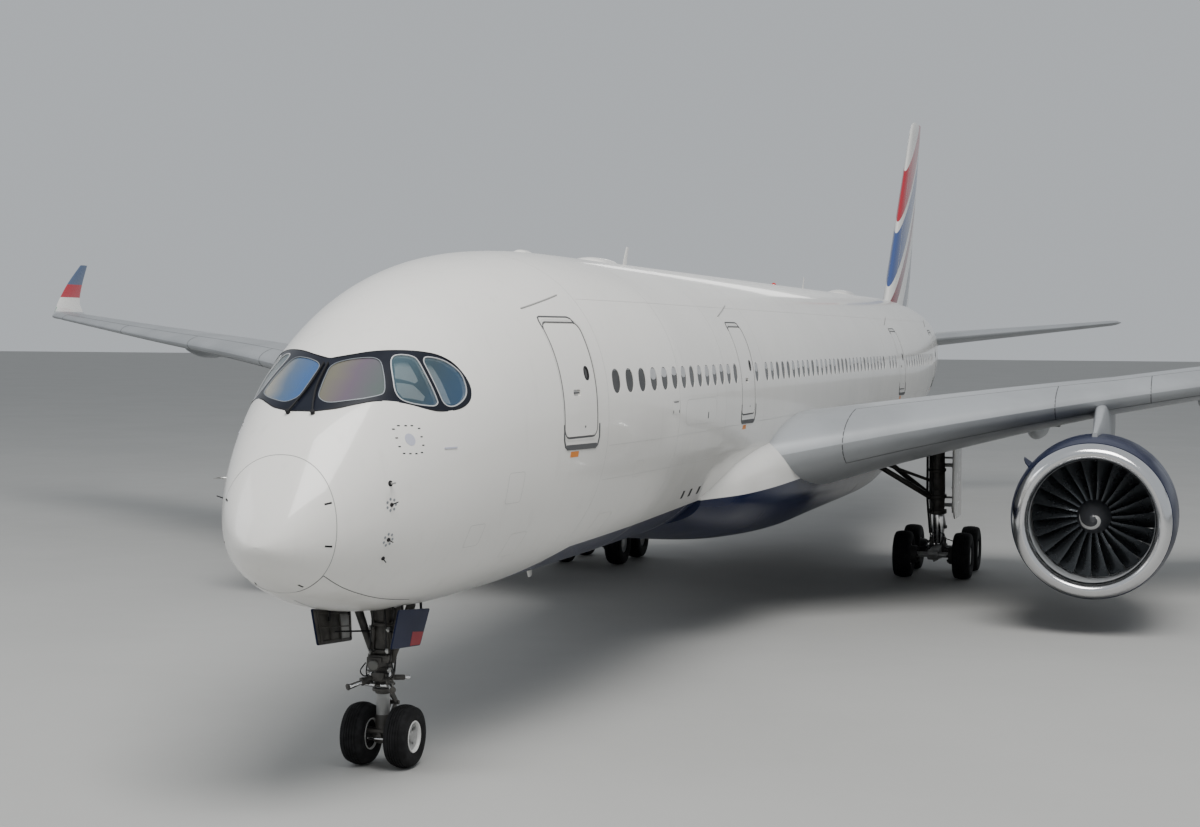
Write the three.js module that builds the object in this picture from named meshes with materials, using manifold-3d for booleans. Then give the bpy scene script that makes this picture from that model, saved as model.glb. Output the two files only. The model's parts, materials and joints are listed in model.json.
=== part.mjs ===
// A wide body twin-jet airliner as a half-size model, parked on its gear.
// Sizes are full-size metres. s runs aft from the nose tip, y to port and z up from the ground.
// The model's own frame is millimetres: X to port, Y aft from mid-length, Z up.

import * as THREE from 'three';
import { mergeVertices } from 'three/addons/utils/BufferGeometryUtils.js';
import Module from 'manifold-3d';

const wasm = await Module();
wasm.setup();

// Scale and fits
const MODEL_SCALE = 0.5;
const MM = 1000 * MODEL_SCALE;
const LENGTH = 66.8;
const MID_STATION = LENGTH / 2;
const SEAM = 0.0006; // left between pieces that touch, 0.3 mm on the model
const RUN = 0.013; // left beside pieces that move, 6.5 mm on the model
const RAD = Math.PI / 180;
const SIDES = [['left', 1], ['right', -1]];

// Fuselage
const CABIN = { halfWidth: 2.98, top: 8.673, bottom: 2.583, tipZ: 4.056, waist: 0.51 };
const NOSE_TOP = { length: 11.36, fullness: 2.871, bluntness: 0.789 };
const NOSE_BOTTOM = { length: 6.161, fullness: 2.656, bluntness: 0.581 };
const NOSE_SIDE = { length: 12.359, fullness: 1.565, bluntness: 0.484 };
const TAIL_TOP = { start: 50, drop: 1.1, power: 1.8 };
const TAIL_BOTTOM = { start: 44, rise: 4.25, power: 1.55 };
const TAIL_SIDE = { start: 44, narrowing: 2.62, power: 2 };
const SECTION_POWER = { upper: 2.185, lower: 2.103 };
const RING_POINTS = 32;
const INNER_RING_POINTS = 16;
const STATIONS = [
  0, 0.04, 0.18, 0.42, 0.8, 1.3, 1.9, 2.6, 3.4, 4.4, 5.6, 6.9, 8.1, 9.6, 11, 12.4,
  19.5, 38, 44, 47.5, 51, 54, 57.5, 61, 64, 66, LENGTH,
];
const BARREL_JOINTS = {
  // name: [forward station, aft station]
  radome: [0, 0.8],
  nose_section: [0.8, 8.1],
  forward_fuselage: [8.1, 19.5],
  centre_fuselage: [19.5, 38],
  aft_fuselage: [38, 54],
  tail_cone: [54, LENGTH],
};
const EXHAUST = { radius: 0.24, depth: 1.1, sides: 20 };
const HULL_BOX = { halfWidth: 4, top: 10, beyond: 1 }; // holds any slice of the fuselage

// Flight deck: the hollow behind the windscreen and the six glazed openings, [s, y, z] round each
const SKIN = 0.09;
const INNER_HULL_START = 0.8;
const PANE_DEPTH = 0.05;
const COCKPIT_HALF_WIDTH = 2.6;
const PANE_CUT = 0.3; // how far a pane's opening is cut to each side of the pane
const FLIGHT_DECK = { front: 1.3, back: 4.3, floor: 5.15, top: 7.6 };
const GLAZING_BAND = { front: 1.36, back: 3.95, bottom: 5.72, top: 6.95 };
const PANES = {
  windscreen: [
    [2.29, 0.1, 6.62], [2.62, 0.72, 6.7], [2.19, 1.0, 6.2], [1.67, 0.51, 6.06], [1.69, 0.15, 6.16],
  ],
  forward_side: [
    [2.67, 0.89, 6.64], [2.82, 0.91, 6.73], [3.02, 1.06, 6.75], [3.03, 1.2, 6.64],
    [2.92, 1.56, 6.05], [2.83, 1.55, 5.99], [2.5, 1.35, 6.05], [2.32, 1.13, 6.19],
  ],
  aft_side: [
    [3.12, 1.23, 6.67], [3.25, 1.27, 6.72], [3.41, 1.4, 6.67], [3.51, 1.57, 6.51], [3.6, 1.71, 6.32],
    [3.59, 1.76, 6.18], [3.4, 1.75, 6.04], [3.11, 1.67, 5.98], [3.04, 1.62, 6.02],
  ],
};

// Doors
const DOOR_SILL = 5.28;
const DOOR_HEAD = 7.28;
const DOOR_DEPTH = 0.12;
const DOOR_CORNER = 0.16;
const SIDE_SKIN = { inner: 1.2, outer: 3.4 }; // span positions that hold the skin at every door
const PASSENGER_DOORS = { 1: [6.35, 7.5], 2: [17.2, 18.35], 3: [40.6, 41.75], 4: [51.6, 52.75] };
const CARGO_DOORS = {
  // on the starboard side, hinged along the upper edge
  forward: { from: 12.6, to: 15.3, sill: 3.05, head: 4.75 },
  aft: { from: 42.7, to: 45.4, sill: 3.3, head: 4.85 },
};
const CARGO_CORNER = 0.14;
const CARGO_HOLD = { depth: 0.75, inset: 0.1 };
const CARGO_HINGE = {
  rod: 0.03, knuckle: 0.06, gutter: 0.1, above: 0.05, proud: 0.01, overrun: 0.02, endBlock: 0.12,
};
const CARGO_LUGS = { shares: [0.12, 0.5, 0.88], length: 0.22 };
const CARGO_STRAP = { outside: 0.02, inside: 0.1, below: 0.2, above: 0 };
const STRAP_SPACE = { outside: 0.3, inside: 0.12, below: 0.25, above: 0.005 };

// Belly fairing: [station, half width, bottom, top]
const FAIRING = [
  [16.6, 2.2, 2.8, 4.3], [18.2, 2.88, 2.45, 4.75], [20.5, 3.22, 2.12, 5.0], [24, 3.42, 1.98, 5.12],
  [33, 3.42, 1.98, 4.95], [37, 3.2, 2.12, 4.75], [40, 2.8, 2.4, 4.5], [42.6, 2.1, 2.8, 4.2],
];
const FAIRING_POWER = 2.6;
const FAIRING_POINTS = 24;

// Lifting surfaces: [span position, leading edge s, trailing edge s, leading edge height, thickness]
const WING = [
  [2.0, 20.07, 35.5, 4.0, 0.145], [6, 22.98, 35.1, 4.78, 0.13], [10.5, 26.25, 34.75, 5.52, 0.118],
  [16.9, 30.9, 37.49, 6.38, 0.11], [23.5, 35.7, 40.31, 7.02, 0.104], [30.5, 40.79, 43.3, 7.75, 0.1],
];
const WING_CAMBER = 0.014;
const WING_TWIST = [3.2, 2.6, 1.6, 0.6, -0.2, -1.0];
const WINGTIP = [
  // leading edge s, y, z, chord, cant in degrees
  [40.79, 30.5, 7.75, 2.51, 6], [41.9, 31.12, 7.98, 1.98, 22], [42.9, 31.6, 8.42, 1.5, 46],
  [44.3, 32.05, 9.2, 1.02, 62], [45.62, 32.345, 9.94, 0.5, 68],
];
const STABILISER = [[0.5, 56.3, 63.0, 6.9, 0.1], [1.4, 57, 62.9, 7.0, 0.1], [9.32, 63, 65.3, 7.83, 0.09]];
const FIN = [[7.5, 55.4, 62.3, 0, 0.1], [9.65, 57.2, 63.09, 0, 0.1], [17.05, 63.39, 66.05, 0, 0.09]];
const FOIL_STATIONS = [1, 0.8, 0.55, 0.28, 0.1, 0.015];
const TRAILING_EDGE = 0.022; // thickness of a trailing edge
const WINGTIP_THICKNESS = 0.1;
const WINGTIP_ROOT = { front: 38, back: 45, inboard: 29, bottom: 6, top: 9 }; // where the wing ends it

// Hinged surfaces: hinge ends as [span position, share of the chord], deflections in degrees
const AILERON = { from: [24.0, 0.74], to: [29.5, 0.74], up: 25, down: 25, pin: 0.03 };
const ELEVATOR = { from: [2.5, 0.71], to: [8.9, 0.69], up: 30, down: 15, pin: 0.03 };
const RUDDER = { from: [9.5, 0.69], to: [16.55, 0.67], up: 30, down: 30, pin: 0.035 };
const FLAP_DOWN = 35;
const FLAPS = {
  // hinge set below the wing, its ends as [span position, distance from the trailing edge]
  inboard: { from: [3.95, 1.42], to: [10.15, 1.42], drop: 0.26, tracks: [8.2] },
  outboard: { from: [11.0, 1.5], to: [23.45, 1.0], drop: 0.24, tracks: [12.9, 17.3, 21.6] },
};
const TRACK = {
  ahead: 2.9, behind: 0.75, halfWidth: 0.24, below: 0.26, lug: 0.035, slot: 0.11, eye: 0.09, pin: 0.035,
  eyeRoom: 1.6, slotDepth: 1, lugRoot: 0.3, pinEnd: 0.07, sides: 8, seated: 0.06, leastHeight: 0.08,
  aheadOfEdge: 0.35,
};
const CANOE = [[0, 0.08], [0.08, 0.5], [0.3, 0.95], [0.7, 1], [0.9, 0.55], [1, 0.08]]; // [share aft, girth]
const FLAP_LIP = { angle: 105, ahead: 0.2 }; // where the wing's upper skin ends over a flap
const HINGE_ARC_STEPS = 5;
const HINGE_NOSE = 1.04; // radius of a hinged surface's rounded front over half its thickness
const PIN_LENGTH = 0.07;

// Engines, measured aft from the inlet lip: [distance, radius]
const ENGINE = { y: 10.3, inlet: 21.9, z: 2.75 };
const NACELLE = [
  [0, 1.62], [0.06, 1.74], [0.35, 1.86], [1.2, 1.955], [2.6, 1.975], [4.3, 1.83], [5.95, 1.47],
  [5.93, 1.44], [4.6, 1.52], [1.4, 1.535], [0.5, 1.45], [0.1, 1.5],
];
const CORE = [
  [2.05, 0], [2.05, 0.55], [3.0, 0.84], [4.4, 0.98], [5.6, 0.95], [6.7, 0.68], [6.7, 0.5],
  [7.2, 0.36], [7.7, 0.1], [7.7, 0],
];
const NACELLE_SIDES = 22;
const CORE_SIDES = 16;
const NACELLE_OUTSIDE = 7; // rows of the nacelle's profile along its outside, lip first
const NACELLE_END = 6;
const CORE_NOZZLE = { from: 5.5, to: 8, radius: 1.2 }; // the core's space behind the fan duct
const VANES = { count: 5, from: 2.75, to: 3.2, thickness: 0.05, root: 0.7, tip: 1.55 };
const FAN = { blades: 22, middle: 1.71, thickness: 0.044, shaft: 0.13, shaftStart: 1.9, shaftEnd: 2.5 };
const SHAFT_END_PLAY = 0.01;
const FAN_BLADE = [[0.36, 24, 0.17, 0], [1.49, 62, 0.23, 0.16]]; // [radius, twist, half chord, lean]
const SPINNER = [[0.98, 0], [1.02, 0.1], [1.25, 0.29], [1.5, 0.4], [1.94, 0.46], [1.94, 0]];
const PYLON = [
  // station, bottom, top, half width
  [23.1, 4.55, 4.82, 0.06], [24.6, 4.3, 5.15, 0.2], [26.2, 4.0, 5.6, 0.25], [28.6, 3.6, 5.8, 0.25],
  [30.2, 4.05, 5.8, 0.22], [32.2, 4.9, 5.7, 0.08],
];
const PYLON_HEAD = { front: 26.3, back: 40, inboard: 8, outboard: 13, bottom: 4, top: 9 };
const OVER_WING = 2; // height of the space over the wing's underside that the pylon stays out of

// Nose gear
const NOSE_GEAR = { s: 4.385, wheelY: 0.382, tyreRadius: 0.525, axleRadius: 0.06 };
const NOSE_BAY = { front: 3.5, back: 5.35, halfWidth: 0.6, bottom: 1, roof: 3.35 };
const NOSE_LEG = { radius: 0.13, foot: 1.32, spigot: 0.3, pistonRadius: 0.095, collarRadius: 0.19 };
const NOSE_BAY_WALL = NOSE_BAY.halfWidth - SEAM;
const NOSE_LEG_RODS = [
  // from and to as [s, y, z], radius, sides: leg, collar, pintle, V stays, drag stay and its pin
  [[NOSE_GEAR.s, 0, NOSE_LEG.foot], [NOSE_GEAR.s, 0, NOSE_BAY.roof - SEAM], NOSE_LEG.radius, 8],
  [[NOSE_GEAR.s, 0, 1.42], [NOSE_GEAR.s, 0, 1.56], NOSE_LEG.collarRadius, 8],
  [[NOSE_GEAR.s, -NOSE_BAY_WALL, 3.05], [NOSE_GEAR.s, NOSE_BAY_WALL, 3.05], 0.08, 8],
  [[NOSE_GEAR.s, 0, 1.85], [NOSE_GEAR.s, 0.42, 2.95], 0.055, 8],
  [[NOSE_GEAR.s, 0, 1.85], [NOSE_GEAR.s, -0.42, 2.95], 0.055, 10],
  [[NOSE_GEAR.s, 0, 1.95], [5.1, 0, 3.1], 0.06, 10],
  [[5.1, -NOSE_BAY_WALL, 3.1], [5.1, NOSE_BAY_WALL, 3.1], 0.05, 10],
];
const NOSE_LEG_PAIRS = [
  // on both sides: steering cylinder, lamp and the lamp's bracket
  [[4.3, 0.12, 1.47], [3.86, 0.4, 1.36], 0.055, 8],
  [[4.22, 0.22, 1.66], [4.08, 0.22, 1.66], 0.1, 10],
  [[4.2, 0.22, 1.66], [4.36, 0.05, 1.66], 0.04, 8],
];
const NOSE_FORK = { collar: 0.1, hub: 0.13, hubHalf: 0.12, sleeve: 0.11, sleeveHalf: 0.16, boreHalf: 0.3 };
const NOSE_TORQUE_LINK = [[4.5, 0, 1.24], [4.78, 0, 0.98], [4.46, 0, 0.68]];
const NOSE_LINK_RADIUS = 0.045;
const NOSE_TYRE = [
  // [distance from the tyre's middle, radius]
  [0.197, 0.42], [0.12, 0.525], [-0.12, 0.525], [-0.197, 0.42], [-0.14, 0.25], [0.14, 0.25],
];
const NOSE_WHEEL = [
  // [distance from the tyre's middle, radius], the hub cap first
  [0.1, 0], [0.1, 0.09], [0.03, 0.2], [0.15, 0.2494], [-0.13, 0.2494], [-0.1, 0.15], [-0.2, 0.11],
  [-0.2, 0.06],
];
const NOSE_DOOR = { y: 0.66, thickness: 0.05 };
const NOSE_DOOR_OUTLINE = [[3.24, 2.66], [4.6, 2.6], [4.5, 2.06], [3.24, 2.12]]; // [s, z]
const NOSE_DOOR_HANGERS = { stations: [3.6, 4.4], bottom: 2.5, top: 3.2, radius: 0.035 };
const WHEEL_SIDES = 16;

// Main gear
const MAIN_GEAR = { s: 33.05, y: 5.3, axleOffset: 1.02, wheelY: 0.865, tyreRadius: 0.7 };
const MAIN_LEG = {
  topS: 32.62, topZ: 4.35, radius: 0.23, shoulderZ: 1.85, pistonRadius: 0.17, wellZ: 3.4, wellTop: 0.02,
};
const MAIN_LEG_STAYS = { fromZ: 2.2, radius: 0.08, sides: 10, ends: [[31.4, 3.6, 3.4], [34.0, 3.6, 3.3]] };
const MAIN_TORQUE_LINK = [[33.3, 5.3, 1.75], [33.85, 5.3, 1.35], [33.2, 5.3, 0.95]];
const MAIN_LINK_RADIUS = 0.06;
const YOKE = {
  cheek: 0.11, halfLength: 0.17, below: 0.15, above: 0.42, throat: 0.24, seat: 0.3, overlap: 0.1,
};
const MAIN_WHEEL = [
  // [distance from the tyre's middle, radius], from the hub cap over the tyre to the axle sleeve
  [0.2, 0], [0.2, 0.11], [0.09, 0.26], [0.21, 0.31], [0.265, 0.5], [0.15, 0.7], [-0.15, 0.7],
  [-0.265, 0.5], [-0.2, 0.27], [-0.42, 0.25], [-0.42, 0.085],
];
const MAIN_DOOR = {
  y: 5.86, thickness: 0.06, from: 31.75, to: 33.55, bottom: 1.75, top: 4.2, corner: [0.35, 0.3],
};
const MAIN_DOOR_ARMS = { heights: [2.1, 3.3], radius: 0.06 };
const BOGIE = { halfWidth: 0.13, axleRadius: 0.085, pivotRadius: 0.12, pivotHalf: 0.3 };
const BOGIE_BEAM = {
  // heights over the axle line at the beam's end, shoulder and middle
  end: 0.16, shoulder: 0.1, below: [-0.06, -0.14, -0.22], above: [0.12, 0.15, 0.2],
};

// Fastening places for jacks and a tow bar
const JACK_PAD = { radius: 0.09, depth: 0.06, seated: 0.08, sides: 12 };
const WING_JACK = { y: 9.0, s: 29.2 };
const NOSE_JACK_STATION = 8.8;
const TOW_LUG = { reach: 0.27, half: 0.06 };

const PAINTS = {
  white: { color: '#e9e8e4', roughness: 0.28, metalness: 0.05 },
  wingGrey: { color: '#b9bdc1', roughness: 0.4, metalness: 0.15 },
  navy: { color: '#16213f', roughness: 0.3, metalness: 0.1 },
  gearGrey: { color: '#4a4d50', roughness: 0.5, metalness: 0.3 },
  lightGrey: { color: '#9a9c9b', roughness: 0.45, metalness: 0.3 },
  titanium: { color: '#5d564e', roughness: 0.45, metalness: 0.7 },
  fanBlade: { color: '#3c4046', roughness: 0.35, metalness: 0.6 },
  tyre: { color: '#17171a', roughness: 0.85, metalness: 0 },
  glass: { color: '#1b2733', roughness: 0.08, metalness: 0 },
};

// A place on the aircraft as a point of the model
function at(s, y, z) {
  return new THREE.Vector3(y * MM, (s - MID_STATION) * MM, z * MM);
}

function direction(s, y, z) {
  return new THREE.Vector3(y, s, z).normalize();
}

// Triangles of a closed body, turned so that its faces point out
function bodyOf(points, triangles) {
  const [a, b, c] = [new THREE.Vector3(), new THREE.Vector3(), new THREE.Vector3()];
  let volume = 0;
  for (let i = 0; i < triangles.length; i += 3) {
    a.fromArray(points, 3 * triangles[i]);
    b.fromArray(points, 3 * triangles[i + 1]);
    c.fromArray(points, 3 * triangles[i + 2]);
    volume += a.dot(b.cross(c));
  }
  const outward = volume > 0 ? triangles : Array.from(triangles).reverse();
  return new wasm.Manifold(new wasm.Mesh({
    numProp: 3,
    vertProperties: new Float32Array(points),
    triVerts: new Uint32Array(outward),
  }));
}

function solidOf(geometry) {
  const bare = geometry.clone();
  bare.deleteAttribute('normal');
  bare.deleteAttribute('uv');
  const merged = mergeVertices(bare, 1e-3);
  return bodyOf(merged.attributes.position.array, merged.index.array);
}

function geometryOf(solid) {
  const mesh = solid.getMesh();
  const geometry = new THREE.BufferGeometry();
  geometry.setAttribute('position', new THREE.BufferAttribute(mesh.vertProperties, 3));
  geometry.setIndex(new THREE.BufferAttribute(mesh.triVerts, 1));
  return geometry;
}

const join = (first, ...others) => others.reduce((whole, part) => whole.add(part), first);
const cut = (first, ...others) => others.reduce((rest, part) => rest.subtract(part), first);
const common = (first, second) => first.intersect(second);

// The same body on the other side of the aircraft
function mirrored(solid) {
  const mesh = solid.getMesh();
  const points = mesh.vertProperties.map((value, i) => (i % 3 === 0 ? -value : value));
  return bodyOf(points, mesh.triVerts);
}

// Triangles over a flat ring, as indices into it, in the ring's own sense
function capOf(ring) {
  const normal = new THREE.Vector3();
  ring.forEach((point, i) => {
    const next = ring[(i + 1) % ring.length];
    normal.add(new THREE.Vector3().crossVectors(point.clone().sub(ring[0]), next.clone().sub(ring[0])));
  });
  normal.normalize();
  const across = ring[1].clone().sub(ring[0]).normalize();
  const upward = new THREE.Vector3().crossVectors(normal, across);
  const flat = ring.map((point) => new THREE.Vector2(point.dot(across), point.dot(upward)));
  return THREE.ShapeUtils.triangulateShape(flat, []).map(([i, j, k]) => {
    const turn = flat[j].clone().sub(flat[i]).cross(flat[k].clone().sub(flat[i]));
    return turn > 0 ? [i, j, k] : [i, k, j];
  });
}

// Whether a four-sided facet a b d c is split from a to d, alike on both sides of the aircraft
function splitsFirstToLast(a, b, c, d) {
  const difference = a.distanceTo(d) - b.distanceTo(c);
  return Math.abs(difference) > 0.01 ? difference < 0 : a.x + b.x + c.x + d.x > 0;
}

// A body through rings of points; a ring of one point is a tip
function loft(rings) {
  const points = rings.flat();
  const starts = [];
  let total = 0;
  for (const ring of rings) {
    starts.push(total);
    total += ring.length;
  }
  const triangles = [];
  for (let i = 0; i < rings.length - 1; i += 1) {
    const [near, far] = [rings[i].length, rings[i + 1].length];
    const count = Math.max(near, far);
    for (let k = 0; k < count; k += 1) {
      const next = (k + 1) % count;
      const [a, b] = [starts[i] + (k % near), starts[i] + (next % near)];
      const [c, d] = [starts[i + 1] + (k % far), starts[i + 1] + (next % far)];
      if (near === 1) triangles.push(a, d, c);
      else if (far === 1) triangles.push(a, b, c);
      else if (splitsFirstToLast(...[a, b, c, d].map((i) => points[i]))) triangles.push(a, b, d, a, d, c);
      else triangles.push(a, b, c, b, d, c);
    }
  }
  const [first, last] = [rings[0], rings[rings.length - 1]];
  if (first.length > 1) capOf(first).forEach(([i, j, k]) => triangles.push(i, k, j));
  const end = starts[rings.length - 1];
  if (last.length > 1) capOf(last).forEach(([i, j, k]) => triangles.push(end + i, end + j, end + k));
  return bodyOf(points.flatMap((point) => point.toArray()), triangles);
}

function box(s0, s1, y0, y1, z0, z1) {
  const size = new THREE.BoxGeometry((y1 - y0) * MM, (s1 - s0) * MM, (z1 - z0) * MM);
  const middle = at((s0 + s1) / 2, (y0 + y1) / 2, (z0 + z1) / 2);
  return solidOf(size.translate(middle.x, middle.y, middle.z));
}

// A round rod between two points, its first edge turned by an angle
function rod(from, to, radius, sides = 8, firstAngle = 0) {
  const line = to.clone().sub(from);
  const [around, height] = [radius * MM, line.length()];
  const geometry = new THREE.CylinderGeometry(around, around, height, sides, 1, false, firstAngle);
  const turn = new THREE.Quaternion().setFromUnitVectors(new THREE.Vector3(0, 1, 0), line.normalize());
  geometry.applyQuaternion(turn);
  const middle = from.clone().add(to).multiplyScalar(0.5);
  return solidOf(geometry.translate(middle.x, middle.y, middle.z));
}

// The space of a bore round a rod: its flats stand a seam off the rod's edges
function bore(from, to, radius, sides = 8, firstAngle = Math.PI / sides) {
  return rod(from, to, (radius + SEAM) / Math.cos(Math.PI / sides), sides, firstAngle);
}

// A body turned about a fore and aft line: profile of [distance aft, radius]
function turnedAlongAircraft(profile, sides, closed) {
  const points = profile.map(([distance, radius]) => new THREE.Vector2(radius * MM, distance * MM));
  if (closed) points.push(points[0].clone());
  return solidOf(new THREE.LatheGeometry(points, sides));
}

// A body turned about an axle, a flat of it level underneath: profile of [distance to port, radius]
function turnedOnAxle(profile, sides, closed = false) {
  const points = profile.map(([distance, radius]) => new THREE.Vector2(radius * MM, -distance * MM));
  if (closed) points.push(points[0].clone());
  const geometry = new THREE.LatheGeometry(points, sides, Math.PI / sides);
  return solidOf(geometry.rotateZ(Math.PI / 2));
}

// Fuselage form
function swell(s, { length, fullness, bluntness }) {
  const t = Math.min(Math.max(s / length, 0), 1);
  return (1 - (1 - t) ** fullness) ** bluntness;
}

function beyond(s, { start, power }) {
  return (Math.max(s - start, 0) / (LENGTH - start)) ** power;
}

function section(s) {
  const top = CABIN.tipZ + (CABIN.top - CABIN.tipZ) * swell(s, NOSE_TOP)
    - TAIL_TOP.drop * beyond(s, TAIL_TOP);
  const bottom = CABIN.tipZ + (CABIN.bottom - CABIN.tipZ) * swell(s, NOSE_BOTTOM)
    + TAIL_BOTTOM.rise * beyond(s, TAIL_BOTTOM);
  const halfWidth = CABIN.halfWidth * swell(s, NOSE_SIDE) - TAIL_SIDE.narrowing * beyond(s, TAIL_SIDE);
  return { top, bottom, halfWidth, waistZ: bottom + CABIN.waist * (top - bottom) };
}

const rounded = (value, power) => Math.sign(value) * Math.abs(value) ** (2 / power);

function hullRing(s, grow, points) {
  const { top, bottom, halfWidth, waistZ } = section(s);
  return Array.from({ length: points }, (_, k) => {
    const angle = (2 * Math.PI * k) / points;
    const power = Math.sin(angle) >= 0 ? SECTION_POWER.upper : SECTION_POWER.lower;
    const height = (Math.sin(angle) >= 0 ? top - waistZ : waistZ - bottom) + grow;
    const y = (halfWidth + grow) * rounded(Math.cos(angle), power);
    return at(s, y, waistZ + height * rounded(Math.sin(angle), power));
  });
}

function hull(grow = 0) {
  const rings = STATIONS.slice(1).map((s) => hullRing(s, grow, RING_POINTS));
  return loft([[at(0, 0, CABIN.tipZ)], ...rings]);
}

// The fuselage drawn in by a depth, with fewer facets, for the insides of skins and doors
function innerHull(depth) {
  const stations = STATIONS.filter((s) => s >= INNER_HULL_START);
  return loft(stations.map((s) => hullRing(s, -depth, INNER_RING_POINTS)));
}

// Half width of the fuselage at a station and a height
function hullY(s, z) {
  const { top, bottom, halfWidth, waistZ } = section(s);
  const power = z >= waistZ ? SECTION_POWER.upper : SECTION_POWER.lower;
  const height = z >= waistZ ? top - waistZ : waistZ - bottom;
  return halfWidth * (1 - Math.abs((z - waistZ) / height) ** power) ** (1 / power);
}

const HULL = hull();
const HULL_CLEAR = hull(SEAM);
const HULL_INNER = innerHull(SKIN);

// A slice of the fuselage between two stations, a seam short at a joint
function barrel([from, to]) {
  const front = from === 0 ? -HULL_BOX.beyond : from + SEAM / 2;
  const back = to === LENGTH ? to + HULL_BOX.beyond : to - SEAM / 2;
  return common(HULL, box(front, back, -HULL_BOX.halfWidth, HULL_BOX.halfWidth, 0, HULL_BOX.top));
}

// An upright panel outline with cut corners, run through the side of the fuselage
function panelPrism(s0, s1, z0, z1, y0, y1, corner) {
  const outline = [
    [s0 + corner, z0], [s1 - corner, z0], [s1, z0 + corner], [s1, z1 - corner],
    [s1 - corner, z1], [s0 + corner, z1], [s0, z1 - corner], [s0, z0 + corner],
  ];
  return loft([y0, y1].map((y) => outline.map(([s, z]) => at(s, y, z))));
}

// A prism through the skin round a pane; inset draws its edge in towards the middle
function panePrism(outline, side, inset) {
  const points = outline.map(([s, y, z]) => new THREE.Vector3(s, side * y, z));
  const middle = points.reduce((sum, p) => sum.add(p), new THREE.Vector3()).divideScalar(points.length);
  const normal = new THREE.Vector3();
  points.forEach((point, i) => {
    const next = points[(i + 1) % points.length];
    normal.add(new THREE.Vector3().crossVectors(point.clone().sub(middle), next.clone().sub(middle)));
  });
  normal.normalize();
  const rings = [-PANE_CUT, PANE_CUT].map((depth) => points.map((point) => {
    const inward = middle.clone().sub(point).setLength(inset);
    const edge = point.clone().add(inward);
    const spread = edge.addScaledVector(normal, depth - edge.clone().sub(middle).dot(normal));
    return at(spread.x, spread.y, spread.z);
  }));
  return loft(rings);
}

function allPanes(inset) {
  return Object.values(PANES).flatMap((outline) => [1, -1].map((side) => panePrism(outline, side, inset)));
}

function flightDeck() {
  const { front, back, floor, top } = FLIGHT_DECK;
  return common(HULL_INNER, box(front, back, -COCKPIT_HALF_WIDTH, COCKPIT_HALF_WIDTH, floor, top));
}

function glazing() {
  const { front, back, bottom, top } = GLAZING_BAND;
  const zone = box(front, back, -COCKPIT_HALF_WIDTH, COCKPIT_HALF_WIDTH, bottom, top);
  const band = cut(common(innerHull(SKIN + SEAM), zone), innerHull(SKIN + PANE_DEPTH));
  const through = common(cut(HULL, innerHull(SKIN + PANE_DEPTH / 2)), join(...allPanes(SEAM * 2)));
  return join(band, through);
}

// Lifting surface form: a thin section between leading and trailing edge
function foilRing(front, chordwise, upward, chord, thickness, camber, grow = 0) {
  const half = (x) => chord * 5 * thickness * (0.2969 * Math.sqrt(x) - 0.126 * x - 0.3516 * x ** 2
    + 0.2843 * x ** 3 - 0.1036 * x ** 4) + (x * TRAILING_EDGE) / 2 + grow;
  const place = (x, side) => front.clone()
    .addScaledVector(chordwise, chord * x * MM)
    .addScaledVector(upward, (side * half(x) + chord * camber * 4 * x * (1 - x)) * MM);
  const tip = front.clone().addScaledVector(chordwise, -grow * MM);
  return [
    ...FOIL_STATIONS.map((x) => place(x, 1)), tip, ...[...FOIL_STATIONS].reverse().map((x) => place(x, -1)),
  ];
}

function interpolated(table, span) {
  const rows = table.slice(0, -1).findIndex((row, k) => span <= table[k + 1][0]);
  const k = rows < 0 ? table.length - 2 : rows;
  const share = (span - table[k][0]) / (table[k + 1][0] - table[k][0]);
  return table[k].map((value, i) => value + share * (table[k + 1][i] - value));
}

const WING_ROWS = WING.map((row, k) => [...row, WING_TWIST[k]]);

function wingRing(row, grow = 0) {
  const [y, leading, trailing, z, thickness, twist] = row;
  const angle = twist * RAD;
  const chordwise = direction(Math.cos(angle), 0, -Math.sin(angle));
  const upward = direction(Math.sin(angle), 0, Math.cos(angle));
  const chord = (trailing - leading) / Math.cos(angle);
  return foilRing(at(leading, y, z), chordwise, upward, chord, thickness, WING_CAMBER, grow);
}

// Height of the wing's skin at a span position and a station; side is 1 on top and -1 below
function wingZ(y, s, side) {
  const ring = wingRing(interpolated(WING_ROWS, y));
  const half = FOIL_STATIONS.length;
  const skin = side > 0 ? ring.slice(0, half + 1) : ring.slice(half).reverse();
  const target = (s - MID_STATION) * MM;
  const k = skin.findIndex((point, i) => i < half && point.y >= target && skin[i + 1].y <= target);
  const share = (target - skin[k].y) / (skin[k + 1].y - skin[k].y);
  return (skin[k].z + share * (skin[k + 1].z - skin[k].z)) / MM;
}

function stabiliserRing([y, leading, trailing, z, thickness]) {
  const chord = trailing - leading;
  return foilRing(at(leading, y, z), direction(1, 0, 0), direction(0, 0, 1), chord, thickness, 0);
}

function finRing([z, leading, trailing, , thickness]) {
  const chord = trailing - leading;
  return foilRing(at(leading, 0, z), direction(1, 0, 0), direction(0, 1, 0), chord, thickness, 0);
}

function wingtipRing([s, y, z, chord, cant]) {
  const upward = direction(0, -Math.sin(cant * RAD), Math.cos(cant * RAD));
  return foilRing(at(s, y, z), direction(1, 0, 0), upward, chord, WINGTIP_THICKNESS, WING_CAMBER / 2);
}

// The frame of a hinge line: along it, aft across it and up from it
function hingeFrame(hinge) {
  const along = hinge.to.clone().sub(hinge.from).normalize();
  const aft = new THREE.Vector3(0, 1, 0).addScaledVector(along, -along.y).normalize();
  const up = new THREE.Vector3().crossVectors(aft, along);
  if (up.dot(hinge.upward) < 0) up.negate();
  return { along, aft, up, length: hinge.to.distanceTo(hinge.from) };
}

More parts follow.
